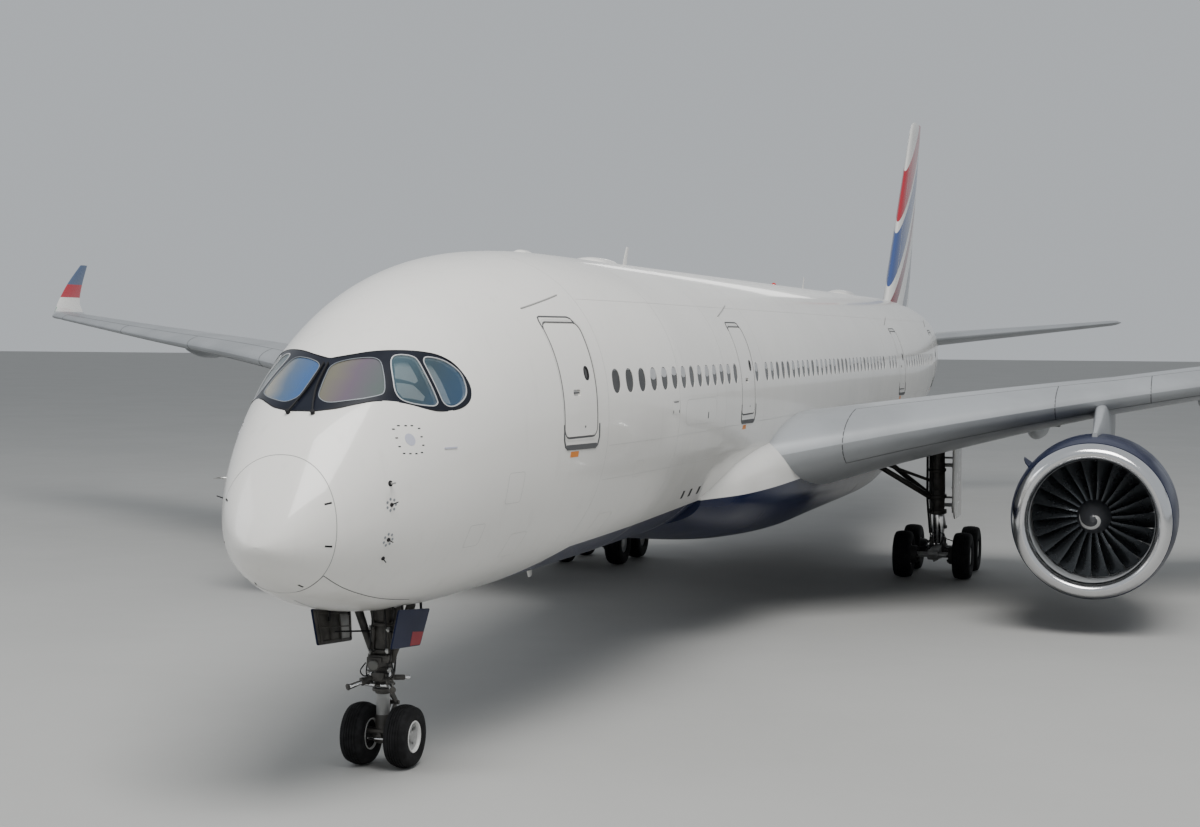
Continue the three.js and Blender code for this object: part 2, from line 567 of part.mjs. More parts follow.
// The space about a hinge line: round ahead of the line from one angle to the other and open aft
function hingeSpace(hinge, { firstAngle, lastAngle, clearance = 0, ends = 0, reach = 4 }) {
  const frame = hingeFrame(hinge);
  const steps = HINGE_ARC_STEPS;
  const step = (lastAngle - firstAngle) / steps;
  const outset = clearance > 0 ? 1 / Math.cos((step * RAD) / 2) : 1;
  const ring = (distance) => {
    const share = distance / frame.length;
    const radius = (hinge.radii[0] + share * (hinge.radii[1] - hinge.radii[0]) + clearance) * outset;
    const place = (u, w) => hinge.from.clone()
      .addScaledVector(frame.along, distance)
      .addScaledVector(frame.aft, u * MM)
      .addScaledVector(frame.up, w * MM);
    const arc = Array.from({ length: steps + 1 }, (_, k) => (firstAngle + k * step) * RAD);
    const points = arc.map((angle) => [radius * Math.cos(angle), radius * Math.sin(angle)]);
    const [a, b] = [arc[0], arc[steps]];
    points.unshift([points[0][0] + reach * Math.sin(a), points[0][1] - reach * Math.cos(a)]);
    const last = points[steps + 1];
    points.push([last[0] - reach * Math.sin(b), last[1] + reach * Math.cos(b)]);
    return points.map(([u, w]) => place(u, w));
  };
  return loft([ring(-ends * MM), ring(frame.length + ends * MM)]);
}

// A surface hinged on a pin at each end, and what is left of the whole it was part of
function hingedSurface(whole, hinge, { up, down, pin }) {
  const { along } = hingeFrame(hinge);
  const moving = common(whole, hingeSpace(hinge, { firstAngle: 90, lastAngle: 270, ends: -RUN }));
  const opening = { firstAngle: 90 + up, lastAngle: 270 - down, clearance: RUN };
  let fixed = cut(whole, hingeSpace(hinge, opening));
  let surface = moving;
  for (const [end, sense] of [[hinge.from, -1], [hinge.to, 1]]) {
    const inner = end.clone().addScaledVector(along, -sense * PIN_LENGTH * MM);
    const outer = end.clone().addScaledVector(along, sense * PIN_LENGTH * MM);
    const mouth = end.clone().addScaledVector(along, sense * (PIN_LENGTH + SEAM) * MM);
    surface = join(surface, rod(inner, outer, pin));
    fixed = cut(fixed, bore(inner, mouth, pin));
  }
  return { fixed, surface };
}

// A hinge in the middle of a surface's thickness, from rings at its two ends
function midHinge(table, ringOf, { from, to }, upward) {
  const ends = [from, to].map(([span, share]) => {
    const row = interpolated(table, span);
    const ring = ringOf(row);
    const skin = FOIL_STATIONS.findIndex((x) => x < share);
    const blend = (share - FOIL_STATIONS[skin]) / (FOIL_STATIONS[skin - 1] - FOIL_STATIONS[skin]);
    const upper = ring[skin].clone().lerp(ring[skin - 1], blend);
    const count = ring.length - 1;
    const lower = ring[count - skin].clone().lerp(ring[count - skin + 1], blend);
    const radius = upper.distanceTo(lower) / 2 / MM;
    return { middle: upper.clone().lerp(lower, 0.5), radius };
  });
  return {
    from: ends[0].middle,
    to: ends[1].middle,
    upward,
    radii: ends.map(({ radius }) => radius * HINGE_NOSE),
  };
}

// Flaps hang from a hinge below the wing and swing aft and down on track fairings
function flapHinge({ from, to, drop }) {
  const lip = Math.sin(FLAP_LIP.angle * RAD);
  const ends = [from, to].map(([y, fromTrailing]) => {
    const s = interpolated(WING_ROWS, y)[2] - fromTrailing;
    const z = wingZ(y, s, -1) - drop;
    return { point: at(s, y, z), radius: (wingZ(y, s - FLAP_LIP.ahead, 1) - z) / lip };
  });
  return {
    from: ends[0].point,
    to: ends[1].point,
    upward: direction(0, 0, 1),
    radii: ends.map(({ radius }) => radius),
  };
}

function hingePointAt(hinge, y) {
  const share = (y * MM - hinge.from.x) / (hinge.to.x - hinge.from.x);
  const point = hinge.from.clone().lerp(hinge.to, share);
  const radius = hinge.radii[0] + share * (hinge.radii[1] - hinge.radii[0]);
  return { s: point.y / MM + MID_STATION, y, z: point.z / MM, radius };
}

// The canoe over a flap track, from under the wing to behind its trailing edge
function trackCanoe({ s, y, z }) {
  const trailing = interpolated(WING_ROWS, y)[2];
  const length = trailing + TRACK.behind - (s - TRACK.ahead);
  const rings = CANOE.map(([share, girth]) => {
    const station = s - TRACK.ahead + share * length;
    const roof = wingZ(y, Math.min(station, trailing - TRACK.aheadOfEdge), -1) + TRACK.seated;
    const low = Math.min(roof - TRACK.leastHeight, roof + girth * (z - TRACK.below - roof));
    const [half, middle] = [TRACK.halfWidth * girth, (roof + low) / 2];
    return Array.from({ length: TRACK.sides }, (_, i) => {
      const angle = (2 * Math.PI * (i + 0.5)) / TRACK.sides;
      return at(station, y + half * Math.cos(angle), middle + ((roof - low) / 2) * Math.sin(angle));
    });
  });
  return loft(rings);
}

function flapSurface(whole, flap) {
  const hinge = flapHinge(flap);
  const { along } = hingeFrame(hinge);
  let surface = common(whole, hingeSpace(hinge, { firstAngle: 90, lastAngle: 270, ends: -RUN }));
  const opening = { firstAngle: 90, lastAngle: 270 - FLAP_DOWN, clearance: RUN };
  let fixed = cut(whole, hingeSpace(hinge, opening));
  for (const y of flap.tracks) {
    const { s, z, radius } = hingePointAt(hinge, y);
    const root = s - radius - TRACK.lugRoot;
    const lug = box(root, s + TRACK.eye, y - TRACK.lug, y + TRACK.lug, z - TRACK.eye, z + TRACK.eye);
    const room = TRACK.eye * TRACK.eyeRoom;
    const [slotBottom, slotTop] = [z - TRACK.slotDepth, z + room];
    const slot = box(s - TRACK.ahead, s + room, y - TRACK.slot, y + TRACK.slot, slotBottom, slotTop);
    const centre = at(s, y, z);
    const half = along.clone().multiplyScalar((TRACK.slot + TRACK.pinEnd) * MM);
    const [pinFrom, pinTo] = [centre.clone().sub(half), centre.clone().add(half)];
    surface = join(cut(surface, slot), rod(pinFrom, pinTo, TRACK.pin));
    fixed = join(fixed, cut(lug, bore(pinFrom, pinTo, TRACK.pin)));
  }
  return { fixed, surface };
}

// Materials and pieces
const airliner = new THREE.Group();
airliner.name = 'airliner';

function add(name, solid, paint) {
  const mesh = new THREE.Mesh(geometryOf(solid), new THREE.MeshStandardMaterial(PAINTS[paint]));
  mesh.name = name;
  airliner.add(mesh);
  return mesh;
}

function addPair(name, portSolid, paint) {
  add(`${name}_left`, portSolid, paint);
  add(`${name}_right`, mirrored(portSolid), paint);
}

// Wings with their hinged surfaces
const wingWhole = loft(WING_ROWS.map((row) => wingRing(row)));
const wingClear = loft(WING_ROWS.map((row) => wingRing(row, SEAM)));
const fairingRing = ([s, halfWidth, bottom, top], grow) => (
  Array.from({ length: FAIRING_POINTS }, (_, k) => {
    const angle = (2 * Math.PI * k) / FAIRING_POINTS;
    const y = (halfWidth + grow) * rounded(Math.cos(angle), FAIRING_POWER);
    const height = (top - bottom) / 2 + grow;
    return at(s, y, (top + bottom) / 2 + height * rounded(Math.sin(angle), FAIRING_POWER));
  })
);
const fairing = (grow) => loft(FAIRING.map((row) => fairingRing(row, grow)));

const flapNames = Object.keys(FLAPS);
let wing = cut(wingWhole, HULL_CLEAR, fairing(SEAM));
const trackHinges = flapNames.flatMap((name) => {
  const hinge = flapHinge(FLAPS[name]);
  return FLAPS[name].tracks.map((y) => hingePointAt(hinge, y));
});
wing = join(wing, ...trackHinges.map(trackCanoe));
for (const name of flapNames) {
  const { fixed, surface } = flapSurface(wing, FLAPS[name]);
  wing = fixed;
  addPair(`flap_${name}`, surface, 'wingGrey');
}
const aileronHinge = midHinge(WING_ROWS, wingRing, AILERON, direction(0, 0, 1));
const aileron = hingedSurface(wing, aileronHinge, AILERON);
wing = aileron.fixed;
addPair('aileron', aileron.surface, 'wingGrey');

// Main gear: raked leg with stays, bogie and a door panel carried on the leg
const axleZ = MAIN_GEAR.tyreRadius * Math.cos(Math.PI / WHEEL_SIDES);
const legTop = at(MAIN_LEG.topS, MAIN_GEAR.y, MAIN_LEG.topZ);
const legFoot = at(MAIN_GEAR.s, MAIN_GEAR.y, axleZ);
const legPoint = (z) => legFoot.clone().lerp(legTop, (z - axleZ) / (MAIN_LEG.topZ - axleZ));
const legWell = rod(
  legPoint(MAIN_LEG.wellZ),
  legPoint(MAIN_LEG.topZ + MAIN_LEG.wellTop),
  MAIN_LEG.radius + SEAM * 2,
);
wing = cut(wing, legWell);

// A round foot for a jack, under a skin at a height
const jackPad = (s, y, z, seated) => (
  rod(at(s, y, z - JACK_PAD.depth), at(s, y, z + seated), JACK_PAD.radius, JACK_PAD.sides)
);
const jackZ = wingZ(WING_JACK.y, WING_JACK.s, -1);
wing = join(wing, jackPad(WING_JACK.s, WING_JACK.y, jackZ, JACK_PAD.seated));

addPair('wing', wing, 'wingGrey');
const wingEnd = WING[WING.length - 1][0];
const wingtipCut = box(
  WINGTIP_ROOT.front, WINGTIP_ROOT.back, WINGTIP_ROOT.inboard, wingEnd + SEAM, WINGTIP_ROOT.bottom,
  WINGTIP_ROOT.top,
);
addPair('wingtip', cut(loft(WINGTIP.map(wingtipRing)), wingtipCut), 'white');

// Engines
function engineFrame(solid) {
  const { x, y, z } = at(ENGINE.inlet, ENGINE.y, ENGINE.z);
  return solidOf(geometryOf(solid).translate(x, y, z));
}

const nacelle = engineFrame(turnedAlongAircraft(NACELLE, NACELLE_SIDES, true));
const grownNacelle = [
  ...NACELLE.slice(0, NACELLE_OUTSIDE).map(([d, r]) => [d, r + SEAM]), [NACELLE_END, 0], [0, 0],
];
const nacelleClear = engineFrame(turnedAlongAircraft(grownNacelle, NACELLE_SIDES, true));
const grownCore = CORE.map(([d, r]) => [d, r > 0 ? r + SEAM : 0]);
const coreClear = engineFrame(turnedAlongAircraft(grownCore, CORE_SIDES, false));
const ductWall = NACELLE.slice(NACELLE_OUTSIDE).reverse().map(([d, r]) => [d, r - SEAM]);
const ductEnd = ductWall[ductWall.length - 1][0];
const duct = engineFrame(turnedAlongAircraft([[0, 0], ...ductWall, [ductEnd, 0]], NACELLE_SIDES, false));

function vane(k) {
  const angle = (2 * Math.PI * (k + 0.5)) / VANES.count;
  const outward = new THREE.Vector3(Math.sin(angle), 0, Math.cos(angle));
  const across = new THREE.Vector3(Math.cos(angle), 0, -Math.sin(angle));
  const mid = (VANES.from + VANES.to) / 2;
  const diamond = [[VANES.from, 0], [mid, 1], [VANES.to, 0], [mid, -1]];
  const ring = (radius) => diamond.map(([distance, side]) => outward.clone()
    .multiplyScalar(radius * MM)
    .addScaledVector(across, side * (VANES.thickness / 2) * MM)
    .add(new THREE.Vector3(0, distance * MM, 0)));
  return loft([ring(VANES.root), ring(VANES.tip)]);
}

const onEngineAxis = (distance) => new THREE.Vector3(0, distance * MM, 0);
const shaftBore = bore(onEngineAxis(FAN.shaftStart), onEngineAxis(FAN.shaftEnd), FAN.shaft);
const vanes = Array.from({ length: VANES.count }, (_, k) => vane(k));
const coreLocal = cut(join(turnedAlongAircraft(CORE, CORE_SIDES, false), ...vanes), shaftBore);
const nozzleSpace = [
  [CORE_NOZZLE.from, 0], [CORE_NOZZLE.from, CORE_NOZZLE.radius], [CORE_NOZZLE.to, CORE_NOZZLE.radius],
  [CORE_NOZZLE.to, 0],
];
const coreSpace = join(duct, engineFrame(turnedAlongAircraft(nozzleSpace, CORE_SIDES, false)));
const core = common(engineFrame(coreLocal), coreSpace);

function fanBlade(k) {
  const angle = (2 * Math.PI * k) / FAN.blades;
  const rings = FAN_BLADE.map(([radius, twist, half, lean]) => {
    const turn = angle + lean;
    const [level, steep] = [Math.cos(twist * RAD), Math.sin(twist * RAD)];
    const outward = new THREE.Vector3(Math.sin(turn), 0, Math.cos(turn));
    const across = new THREE.Vector3(Math.cos(turn), 0, -Math.sin(turn));
    const middle = outward.multiplyScalar(radius * MM).add(onEngineAxis(FAN.middle));
    const chordwise = new THREE.Vector3(0, level, 0).addScaledVector(across, steep);
    const thick = new THREE.Vector3(0, -steep, 0).addScaledVector(across, level);
    const diamond = [[-half, 0], [0, FAN.thickness / 2], [half, 0], [0, -FAN.thickness / 2]];
    return diamond.map(([along, off]) => middle.clone()
      .addScaledVector(chordwise, along * MM)
      .addScaledVector(thick, off * MM));
  });
  return loft(rings);
}

function fan() {
  const blades = Array.from({ length: FAN.blades }, (_, k) => fanBlade(k));
  const shaft = rod(onEngineAxis(FAN.shaftStart), onEngineAxis(FAN.shaftEnd - SHAFT_END_PLAY), FAN.shaft);
  const hub = turnedAlongAircraft(SPINNER, CORE_SIDES, false);
  return join(hub, shaft, ...blades);
}

const pylonRings = PYLON.map(([s, bottom, top, half]) => [
  at(s, ENGINE.y - half, bottom), at(s, ENGINE.y + half, bottom), at(s, ENGINE.y + half, top - half / 2),
  at(s, ENGINE.y + half / 3, top), at(s, ENGINE.y - half / 3, top), at(s, ENGINE.y - half, top - half / 2),
]);
const raised = (point, below) => new THREE.Vector3(point.x, point.y, below.z + OVER_WING * MM);
const overUnderside = loft(WING_ROWS.map((row) => wingRing(row, SEAM).map((point, i, ring) => (
  i > FOIL_STATIONS.length ? point : raised(point, ring[ring.length - 1 - i])
))));
const pylonHead = box(
  PYLON_HEAD.front, PYLON_HEAD.back, PYLON_HEAD.inboard, PYLON_HEAD.outboard, PYLON_HEAD.bottom,
  PYLON_HEAD.top,
);
const pylon = cut(loft(pylonRings), nacelleClear, coreClear, wingClear, common(overUnderside, pylonHead));

addPair('pylon', pylon, 'wingGrey');
addPair('nacelle', nacelle, 'navy');
addPair('engine_core', core, 'titanium');
const fanLocal = fan();
for (const [side, sign] of SIDES) {
  add(`fan_${side}`, fanLocal, 'fanBlade').position.copy(at(ENGINE.inlet, sign * ENGINE.y, ENGINE.z));
}

// Tail
const finWhole = cut(loft(FIN.map(finRing)), HULL_CLEAR);
const rudderHinge = midHinge(FIN, finRing, RUDDER, direction(0, 1, 0));
const { fixed: fin, surface: rudder } = hingedSurface(finWhole, rudderHinge, RUDDER);
add('fin', fin, 'white');
add('rudder', rudder, 'white');
const stabiliserWhole = cut(loft(STABILISER.map(stabiliserRing)), HULL_CLEAR);
const elevatorHinge = midHinge(STABILISER, stabiliserRing, ELEVATOR, direction(0, 0, 1));
const { fixed: stabiliser, surface: elevator } = hingedSurface(stabiliserWhole, elevatorHinge, ELEVATOR);
addPair('stabiliser', stabiliser, 'wingGrey');
addPair('elevator', elevator, 'wingGrey');

// Fuselage with its doors
const barrels = {};
for (const [name, ends] of Object.entries(BARREL_JOINTS)) barrels[name] = barrel(ends);
const doorBackSkin = innerHull(DOOR_DEPTH);
const pocketBack = innerHull(DOOR_DEPTH + SEAM);

function barrelAt(s) {
  return Object.keys(BARREL_JOINTS).find((name) => s < BARREL_JOINTS[name][1]);
}

for (const [number, [from, to]] of Object.entries(PASSENGER_DOORS)) {
  for (const [side, sign] of SIDES) {
    const name = barrelAt(from);
    const [inner, outer] = [sign * SIDE_SKIN.inner, sign * SIDE_SKIN.outer];
    const outline = (gap) => (
      panelPrism(from + gap, to - gap, DOOR_SILL + gap, DOOR_HEAD - gap, inner, outer, DOOR_CORNER)
    );
    const door = cut(common(barrels[name], outline(SEAM)), doorBackSkin);
    barrels[name] = cut(barrels[name], cut(outline(0), pocketBack));
    add(`passenger_door_${number}_${side}`, door, 'white');
  }
}

// Cargo doors swing up on a rod in a gutter along their upper edge
for (const [place, door] of Object.entries(CARGO_DOORS)) {
  const name = barrelAt(door.from);
  const mid = (door.from + door.to) / 2;
  const hingeZ = door.head + CARGO_HINGE.above;
  const hingeY = -hullY(mid, hingeZ) - CARGO_HINGE.proud;
  const along = (from, to, radius) => rod(at(from, hingeY, hingeZ), at(to, hingeY, hingeZ), radius);
  const outline = (gap) => panelPrism(
    door.from + gap, door.to - gap, door.sill + gap, door.head - gap, -SIDE_SKIN.inner,
    -SIDE_SKIN.outer, CARGO_CORNER,
  );
  const strapBox = (from, to, { outside, inside, below, above }) => (
    box(from, to, hingeY - outside, hingeY + inside, door.head - below, hingeZ + above)
  );
  const [rodFrom, rodTo] = [door.from - CARGO_HINGE.overrun, door.to + CARGO_HINGE.overrun];
  const [gutterFrom, gutterTo] = [door.from + CARGO_HINGE.endBlock, door.to - CARGO_HINGE.endBlock];
  const hold = box(
    door.from + CARGO_HOLD.inset, door.to - CARGO_HOLD.inset, -SIDE_SKIN.outer,
    -hullY(mid, door.sill) + CARGO_HOLD.depth, door.sill + CARGO_HOLD.inset, door.head - CARGO_HOLD.inset,
  );
  const rodSolid = along(rodFrom, rodTo, CARGO_HINGE.rod);
  let panel = cut(common(barrels[name], outline(RUN)), doorBackSkin);
  let body = cut(barrels[name], cut(outline(0), innerHull(DOOR_DEPTH + RUN)), common(hold, outline(0)));
  body = cut(body, along(gutterFrom, gutterTo, CARGO_HINGE.gutter));
  body = join(
    body,
    rodSolid,
    along(rodFrom, gutterFrom, CARGO_HINGE.knuckle),
    along(gutterTo, rodTo, CARGO_HINGE.knuckle),
  );
  for (const share of CARGO_LUGS.shares) {
    const middle = door.from + share * (door.to - door.from);
    const [from, to] = [middle - CARGO_LUGS.length / 2, middle + CARGO_LUGS.length / 2];
    const knuckle = along(from, to, CARGO_HINGE.knuckle);
    const strap = strapBox(from, to, CARGO_STRAP);
    body = cut(body, cut(strapBox(from - RUN, to + RUN, STRAP_SPACE), rodSolid));
    panel = join(panel, common(join(knuckle, strap), join(knuckle, HULL)));
  }
  const rodEnds = [at(rodFrom, hingeY, hingeZ), at(rodTo, hingeY, hingeZ)];
  panel = cut(panel, bore(...rodEnds, CARGO_HINGE.rod));
  barrels[name] = body;
  add(`cargo_door_${place}`, panel, 'white');
}

// Nose: flight deck hollow, gear bay, glazing
barrels.nose_section = cut(barrels.nose_section, flightDeck(), ...allPanes(0));
const bay = box(
  NOSE_BAY.front, NOSE_BAY.back, -NOSE_BAY.halfWidth, NOSE_BAY.halfWidth, NOSE_BAY.bottom, NOSE_BAY.roof,
);
barrels.nose_section = cut(barrels.nose_section, bay);
add('cockpit_glazing', glazing(), 'glass');

const tailEnd = section(LENGTH);
const exhaustFrom = at(LENGTH - EXHAUST.depth, 0, (tailEnd.top + tailEnd.bottom) / 2);
const exhaustTo = exhaustFrom.clone().add(new THREE.Vector3(0, 2 * EXHAUST.depth * MM, 0));
barrels.tail_cone = cut(barrels.tail_cone, rod(exhaustFrom, exhaustTo, EXHAUST.radius, EXHAUST.sides));

const noseJackZ = section(NOSE_JACK_STATION).bottom;
barrels.forward_fuselage = join(
  barrels.forward_fuselage,
  jackPad(NOSE_JACK_STATION, 0, noseJackZ, JACK_PAD.seated + SEAM),
);

for (const [name, solid] of Object.entries(barrels)) add(name, solid, 'white');
add('belly_fairing', cut(fairing(0), HULL_CLEAR), 'navy');

// Nose gear
const placedRod = ([from, to, radius, sides]) => rod(at(...from), at(...to), radius, sides);
const otherSide = ([[s0, y0, z0], [s1, y1, z1], ...rest]) => [[s0, -y0, z0], [s1, -y1, z1], ...rest];
const noseAxleZ = NOSE_GEAR.tyreRadius * Math.cos(Math.PI / WHEEL_SIDES);
const onNoseLeg = (z, y = 0) => at(NOSE_GEAR.s, y, z);
const noseLeg = cut(
  join(...[...NOSE_LEG_RODS, ...NOSE_LEG_PAIRS, ...NOSE_LEG_PAIRS.map(otherSide)].map(placedRod)),
  bore(onNoseLeg(NOSE_LEG.foot - NOSE_LEG.spigot), onNoseLeg(NOSE_LEG.foot + NOSE_LEG.spigot),
    NOSE_LEG.pistonRadius),
);
add('nose_gear_leg', noseLeg, 'gearGrey');

const noseAxle = (half) => [onNoseLeg(noseAxleZ, -half), onNoseLeg(noseAxleZ, half)];
const [linkTop, linkKnee, linkFoot] = NOSE_TORQUE_LINK.map((place) => at(...place));
const noseFork = join(
  rod(onNoseLeg(noseAxleZ), onNoseLeg(NOSE_LEG.foot + NOSE_LEG.spigot - SEAM), NOSE_LEG.pistonRadius),
  rod(onNoseLeg(NOSE_LEG.foot - NOSE_FORK.collar), onNoseLeg(NOSE_LEG.foot - SEAM), NOSE_LEG.collarRadius),
  rod(onNoseLeg(noseAxleZ - NOSE_FORK.hubHalf), onNoseLeg(noseAxleZ + NOSE_FORK.hubHalf), NOSE_FORK.hub),
  rod(...noseAxle(NOSE_FORK.sleeveHalf), NOSE_FORK.sleeve),
  rod(linkTop, linkKnee, NOSE_LINK_RADIUS),
  rod(linkKnee, linkFoot, NOSE_LINK_RADIUS),
  box(NOSE_GEAR.s - TOW_LUG.reach, NOSE_GEAR.s, -TOW_LUG.half, TOW_LUG.half, noseAxleZ - TOW_LUG.half,
    noseAxleZ + TOW_LUG.half),
);
const noseAxleBore = bore(...noseAxle(NOSE_FORK.boreHalf), NOSE_GEAR.axleRadius, WHEEL_SIDES, 0);
add('nose_gear_fork', cut(noseFork, noseAxleBore), 'lightGrey');

// Both wheels of a pair as one body, from the profile of the port one
function twinWheels(profile, wheelY) {
  const port = profile.map(([distance, radius]) => [wheelY + distance, radius]);
  const starboard = port.map(([distance, radius]) => [-distance, radius]).reverse();
  return turnedOnAxle([...port, ...starboard], WHEEL_SIDES);
}

const noseHub = at(NOSE_GEAR.s, 0, noseAxleZ);
add('nose_wheels', twinWheels(NOSE_WHEEL, NOSE_GEAR.wheelY), 'lightGrey').position.copy(noseHub);
const noseTyre = turnedOnAxle(NOSE_TYRE, WHEEL_SIDES, true);
for (const [side, sign] of SIDES) {
  const place = at(NOSE_GEAR.s, sign * NOSE_GEAR.wheelY, noseAxleZ);
  add(`nose_tyre_${side}`, noseTyre, 'tyre').position.copy(place);
  const inner = sign * NOSE_DOOR.y;
  const panel = [inner, inner + sign * NOSE_DOOR.thickness].map((y) => (
    NOSE_DOOR_OUTLINE.map(([s, z]) => at(s, y, z))
  ));
  const hangerY = inner + (sign * NOSE_DOOR.thickness) / 2;
  const { stations, bottom, top, radius } = NOSE_DOOR_HANGERS;
  const hangers = stations.map((s) => rod(at(s, hangerY, bottom), at(s, hangerY, top), radius));
  const door = cut(join(loft(panel), ...hangers), HULL_CLEAR);
  add(`nose_gear_door_${side}`, door, sign > 0 ? 'navy' : 'gearGrey');
}

// Main gear pieces
const { axleOffset } = MAIN_GEAR;
const pivot = (sideways) => at(MAIN_GEAR.s, MAIN_GEAR.y + sideways, axleZ);
const yokeHalf = BOGIE.halfWidth + YOKE.cheek;
const throatHalf = BOGIE.halfWidth + SEAM;
const yoke = cut(
  box(MAIN_GEAR.s - YOKE.halfLength, MAIN_GEAR.s + YOKE.halfLength, MAIN_GEAR.y - yokeHalf,
    MAIN_GEAR.y + yokeHalf, axleZ - YOKE.below, axleZ + YOKE.above),
  box(MAIN_GEAR.s - axleOffset, MAIN_GEAR.s + axleOffset, MAIN_GEAR.y - throatHalf,
    MAIN_GEAR.y + throatHalf, 0, axleZ + YOKE.throat),
);
const [mainLinkTop, mainLinkKnee, mainLinkFoot] = MAIN_TORQUE_LINK.map((place) => at(...place));
const mainLeg = cut(join(
  rod(legPoint(MAIN_LEG.shoulderZ), legPoint(MAIN_LEG.topZ), MAIN_LEG.radius),
  rod(legPoint(axleZ + YOKE.seat), legPoint(MAIN_LEG.shoulderZ + YOKE.overlap), MAIN_LEG.pistonRadius),
  yoke,
  rod(pivot(-BOGIE.pivotHalf), pivot(BOGIE.pivotHalf), BOGIE.pivotRadius),
  ...MAIN_LEG_STAYS.ends.map((end) => (
    rod(legPoint(MAIN_LEG_STAYS.fromZ), at(...end), MAIN_LEG_STAYS.radius, MAIN_LEG_STAYS.sides)
  )),
  rod(mainLinkTop, mainLinkKnee, MAIN_LINK_RADIUS),
  rod(mainLinkKnee, mainLinkFoot, MAIN_LINK_RADIUS),
), fairing(SEAM), cut(wingClear, legWell));
addPair('main_gear_leg', mainLeg, 'gearGrey');

// The beam's outline, fore end to aft end along its underside and back over its top
const beamStations = [
  -axleOffset - BOGIE_BEAM.end, -axleOffset + BOGIE_BEAM.shoulder, 0, axleOffset - BOGIE_BEAM.shoulder,
  axleOffset + BOGIE_BEAM.end,
];
const beamSide = (heights) => beamStations.map((s, i) => [s, heights[2 - Math.abs(i - 2)]]);
const beamOutline = [...beamSide(BOGIE_BEAM.below), ...beamSide(BOGIE_BEAM.above).reverse()];
const beam = loft([-BOGIE.halfWidth, BOGIE.halfWidth].map((y) => (
  beamOutline.map(([s, z]) => at(MAIN_GEAR.s + s, MAIN_GEAR.y + y, axleZ + z))
)));
const acrossBeam = (s) => [-yokeHalf, yokeHalf].map((y) => at(s, MAIN_GEAR.y + y, axleZ));
const bogieBores = [-axleOffset, axleOffset].map((offset) => (
  bore(...acrossBeam(MAIN_GEAR.s + offset), BOGIE.axleRadius, WHEEL_SIDES, 0)
));
const pivotBore = bore(...acrossBeam(MAIN_GEAR.s), BOGIE.pivotRadius);
addPair('bogie', cut(beam, ...bogieBores, pivotBore), 'lightGrey');

const mainWheels = twinWheels(MAIN_WHEEL, MAIN_GEAR.wheelY);
for (const [side, sign] of SIDES) {
  for (const [row, offset] of [['front', -axleOffset], ['rear', axleOffset]]) {
    const place = at(MAIN_GEAR.s + offset, sign * MAIN_GEAR.y, axleZ);
    add(`main_wheels_${side}_${row}`, mainWheels, 'tyre').position.copy(place);
  }
}

const [cornerS, cornerZ] = MAIN_DOOR.corner;
const doorOutline = [
  [MAIN_DOOR.from, MAIN_DOOR.bottom + cornerZ], [MAIN_DOOR.from + cornerS, MAIN_DOOR.bottom],
  [MAIN_DOOR.to, MAIN_DOOR.bottom], [MAIN_DOOR.to, MAIN_DOOR.top], [MAIN_DOOR.from, MAIN_DOOR.top],
];
const doorPanel = loft([MAIN_DOOR.y, MAIN_DOOR.y + MAIN_DOOR.thickness].map((y) => (
  doorOutline.map(([s, z]) => at(s, y, z))
)));
const doorArms = MAIN_DOOR_ARMS.heights.map((z) => {
  const start = legPoint(z);
  const reach = (MAIN_DOOR.y + MAIN_DOOR.thickness / 2) * MM;
  return rod(start, new THREE.Vector3(reach, start.y, start.z), MAIN_DOOR_ARMS.radius);
});
const legClear = bore(legFoot, legTop.clone().lerp(legFoot, -1), MAIN_LEG.radius);
addPair('main_gear_door', cut(join(doorPanel, ...doorArms), legClear, wingClear), 'white');

export default airliner;
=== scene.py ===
"""Looks of a half-size wide body twin-jet airliner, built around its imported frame.

Lengths in the tables are full-size metres: s runs aft from the nose tip, y to port and z up from the
ground. The function place turns them into the model's own metres, X to port, Y aft from mid-length, Z up.
"""

import json
import logging
import math
from dataclasses import dataclass, field
from enum import Enum
from typing import Callable, Iterable, Sequence

import bpy
import numpy as np
from mathutils import Matrix, Vector

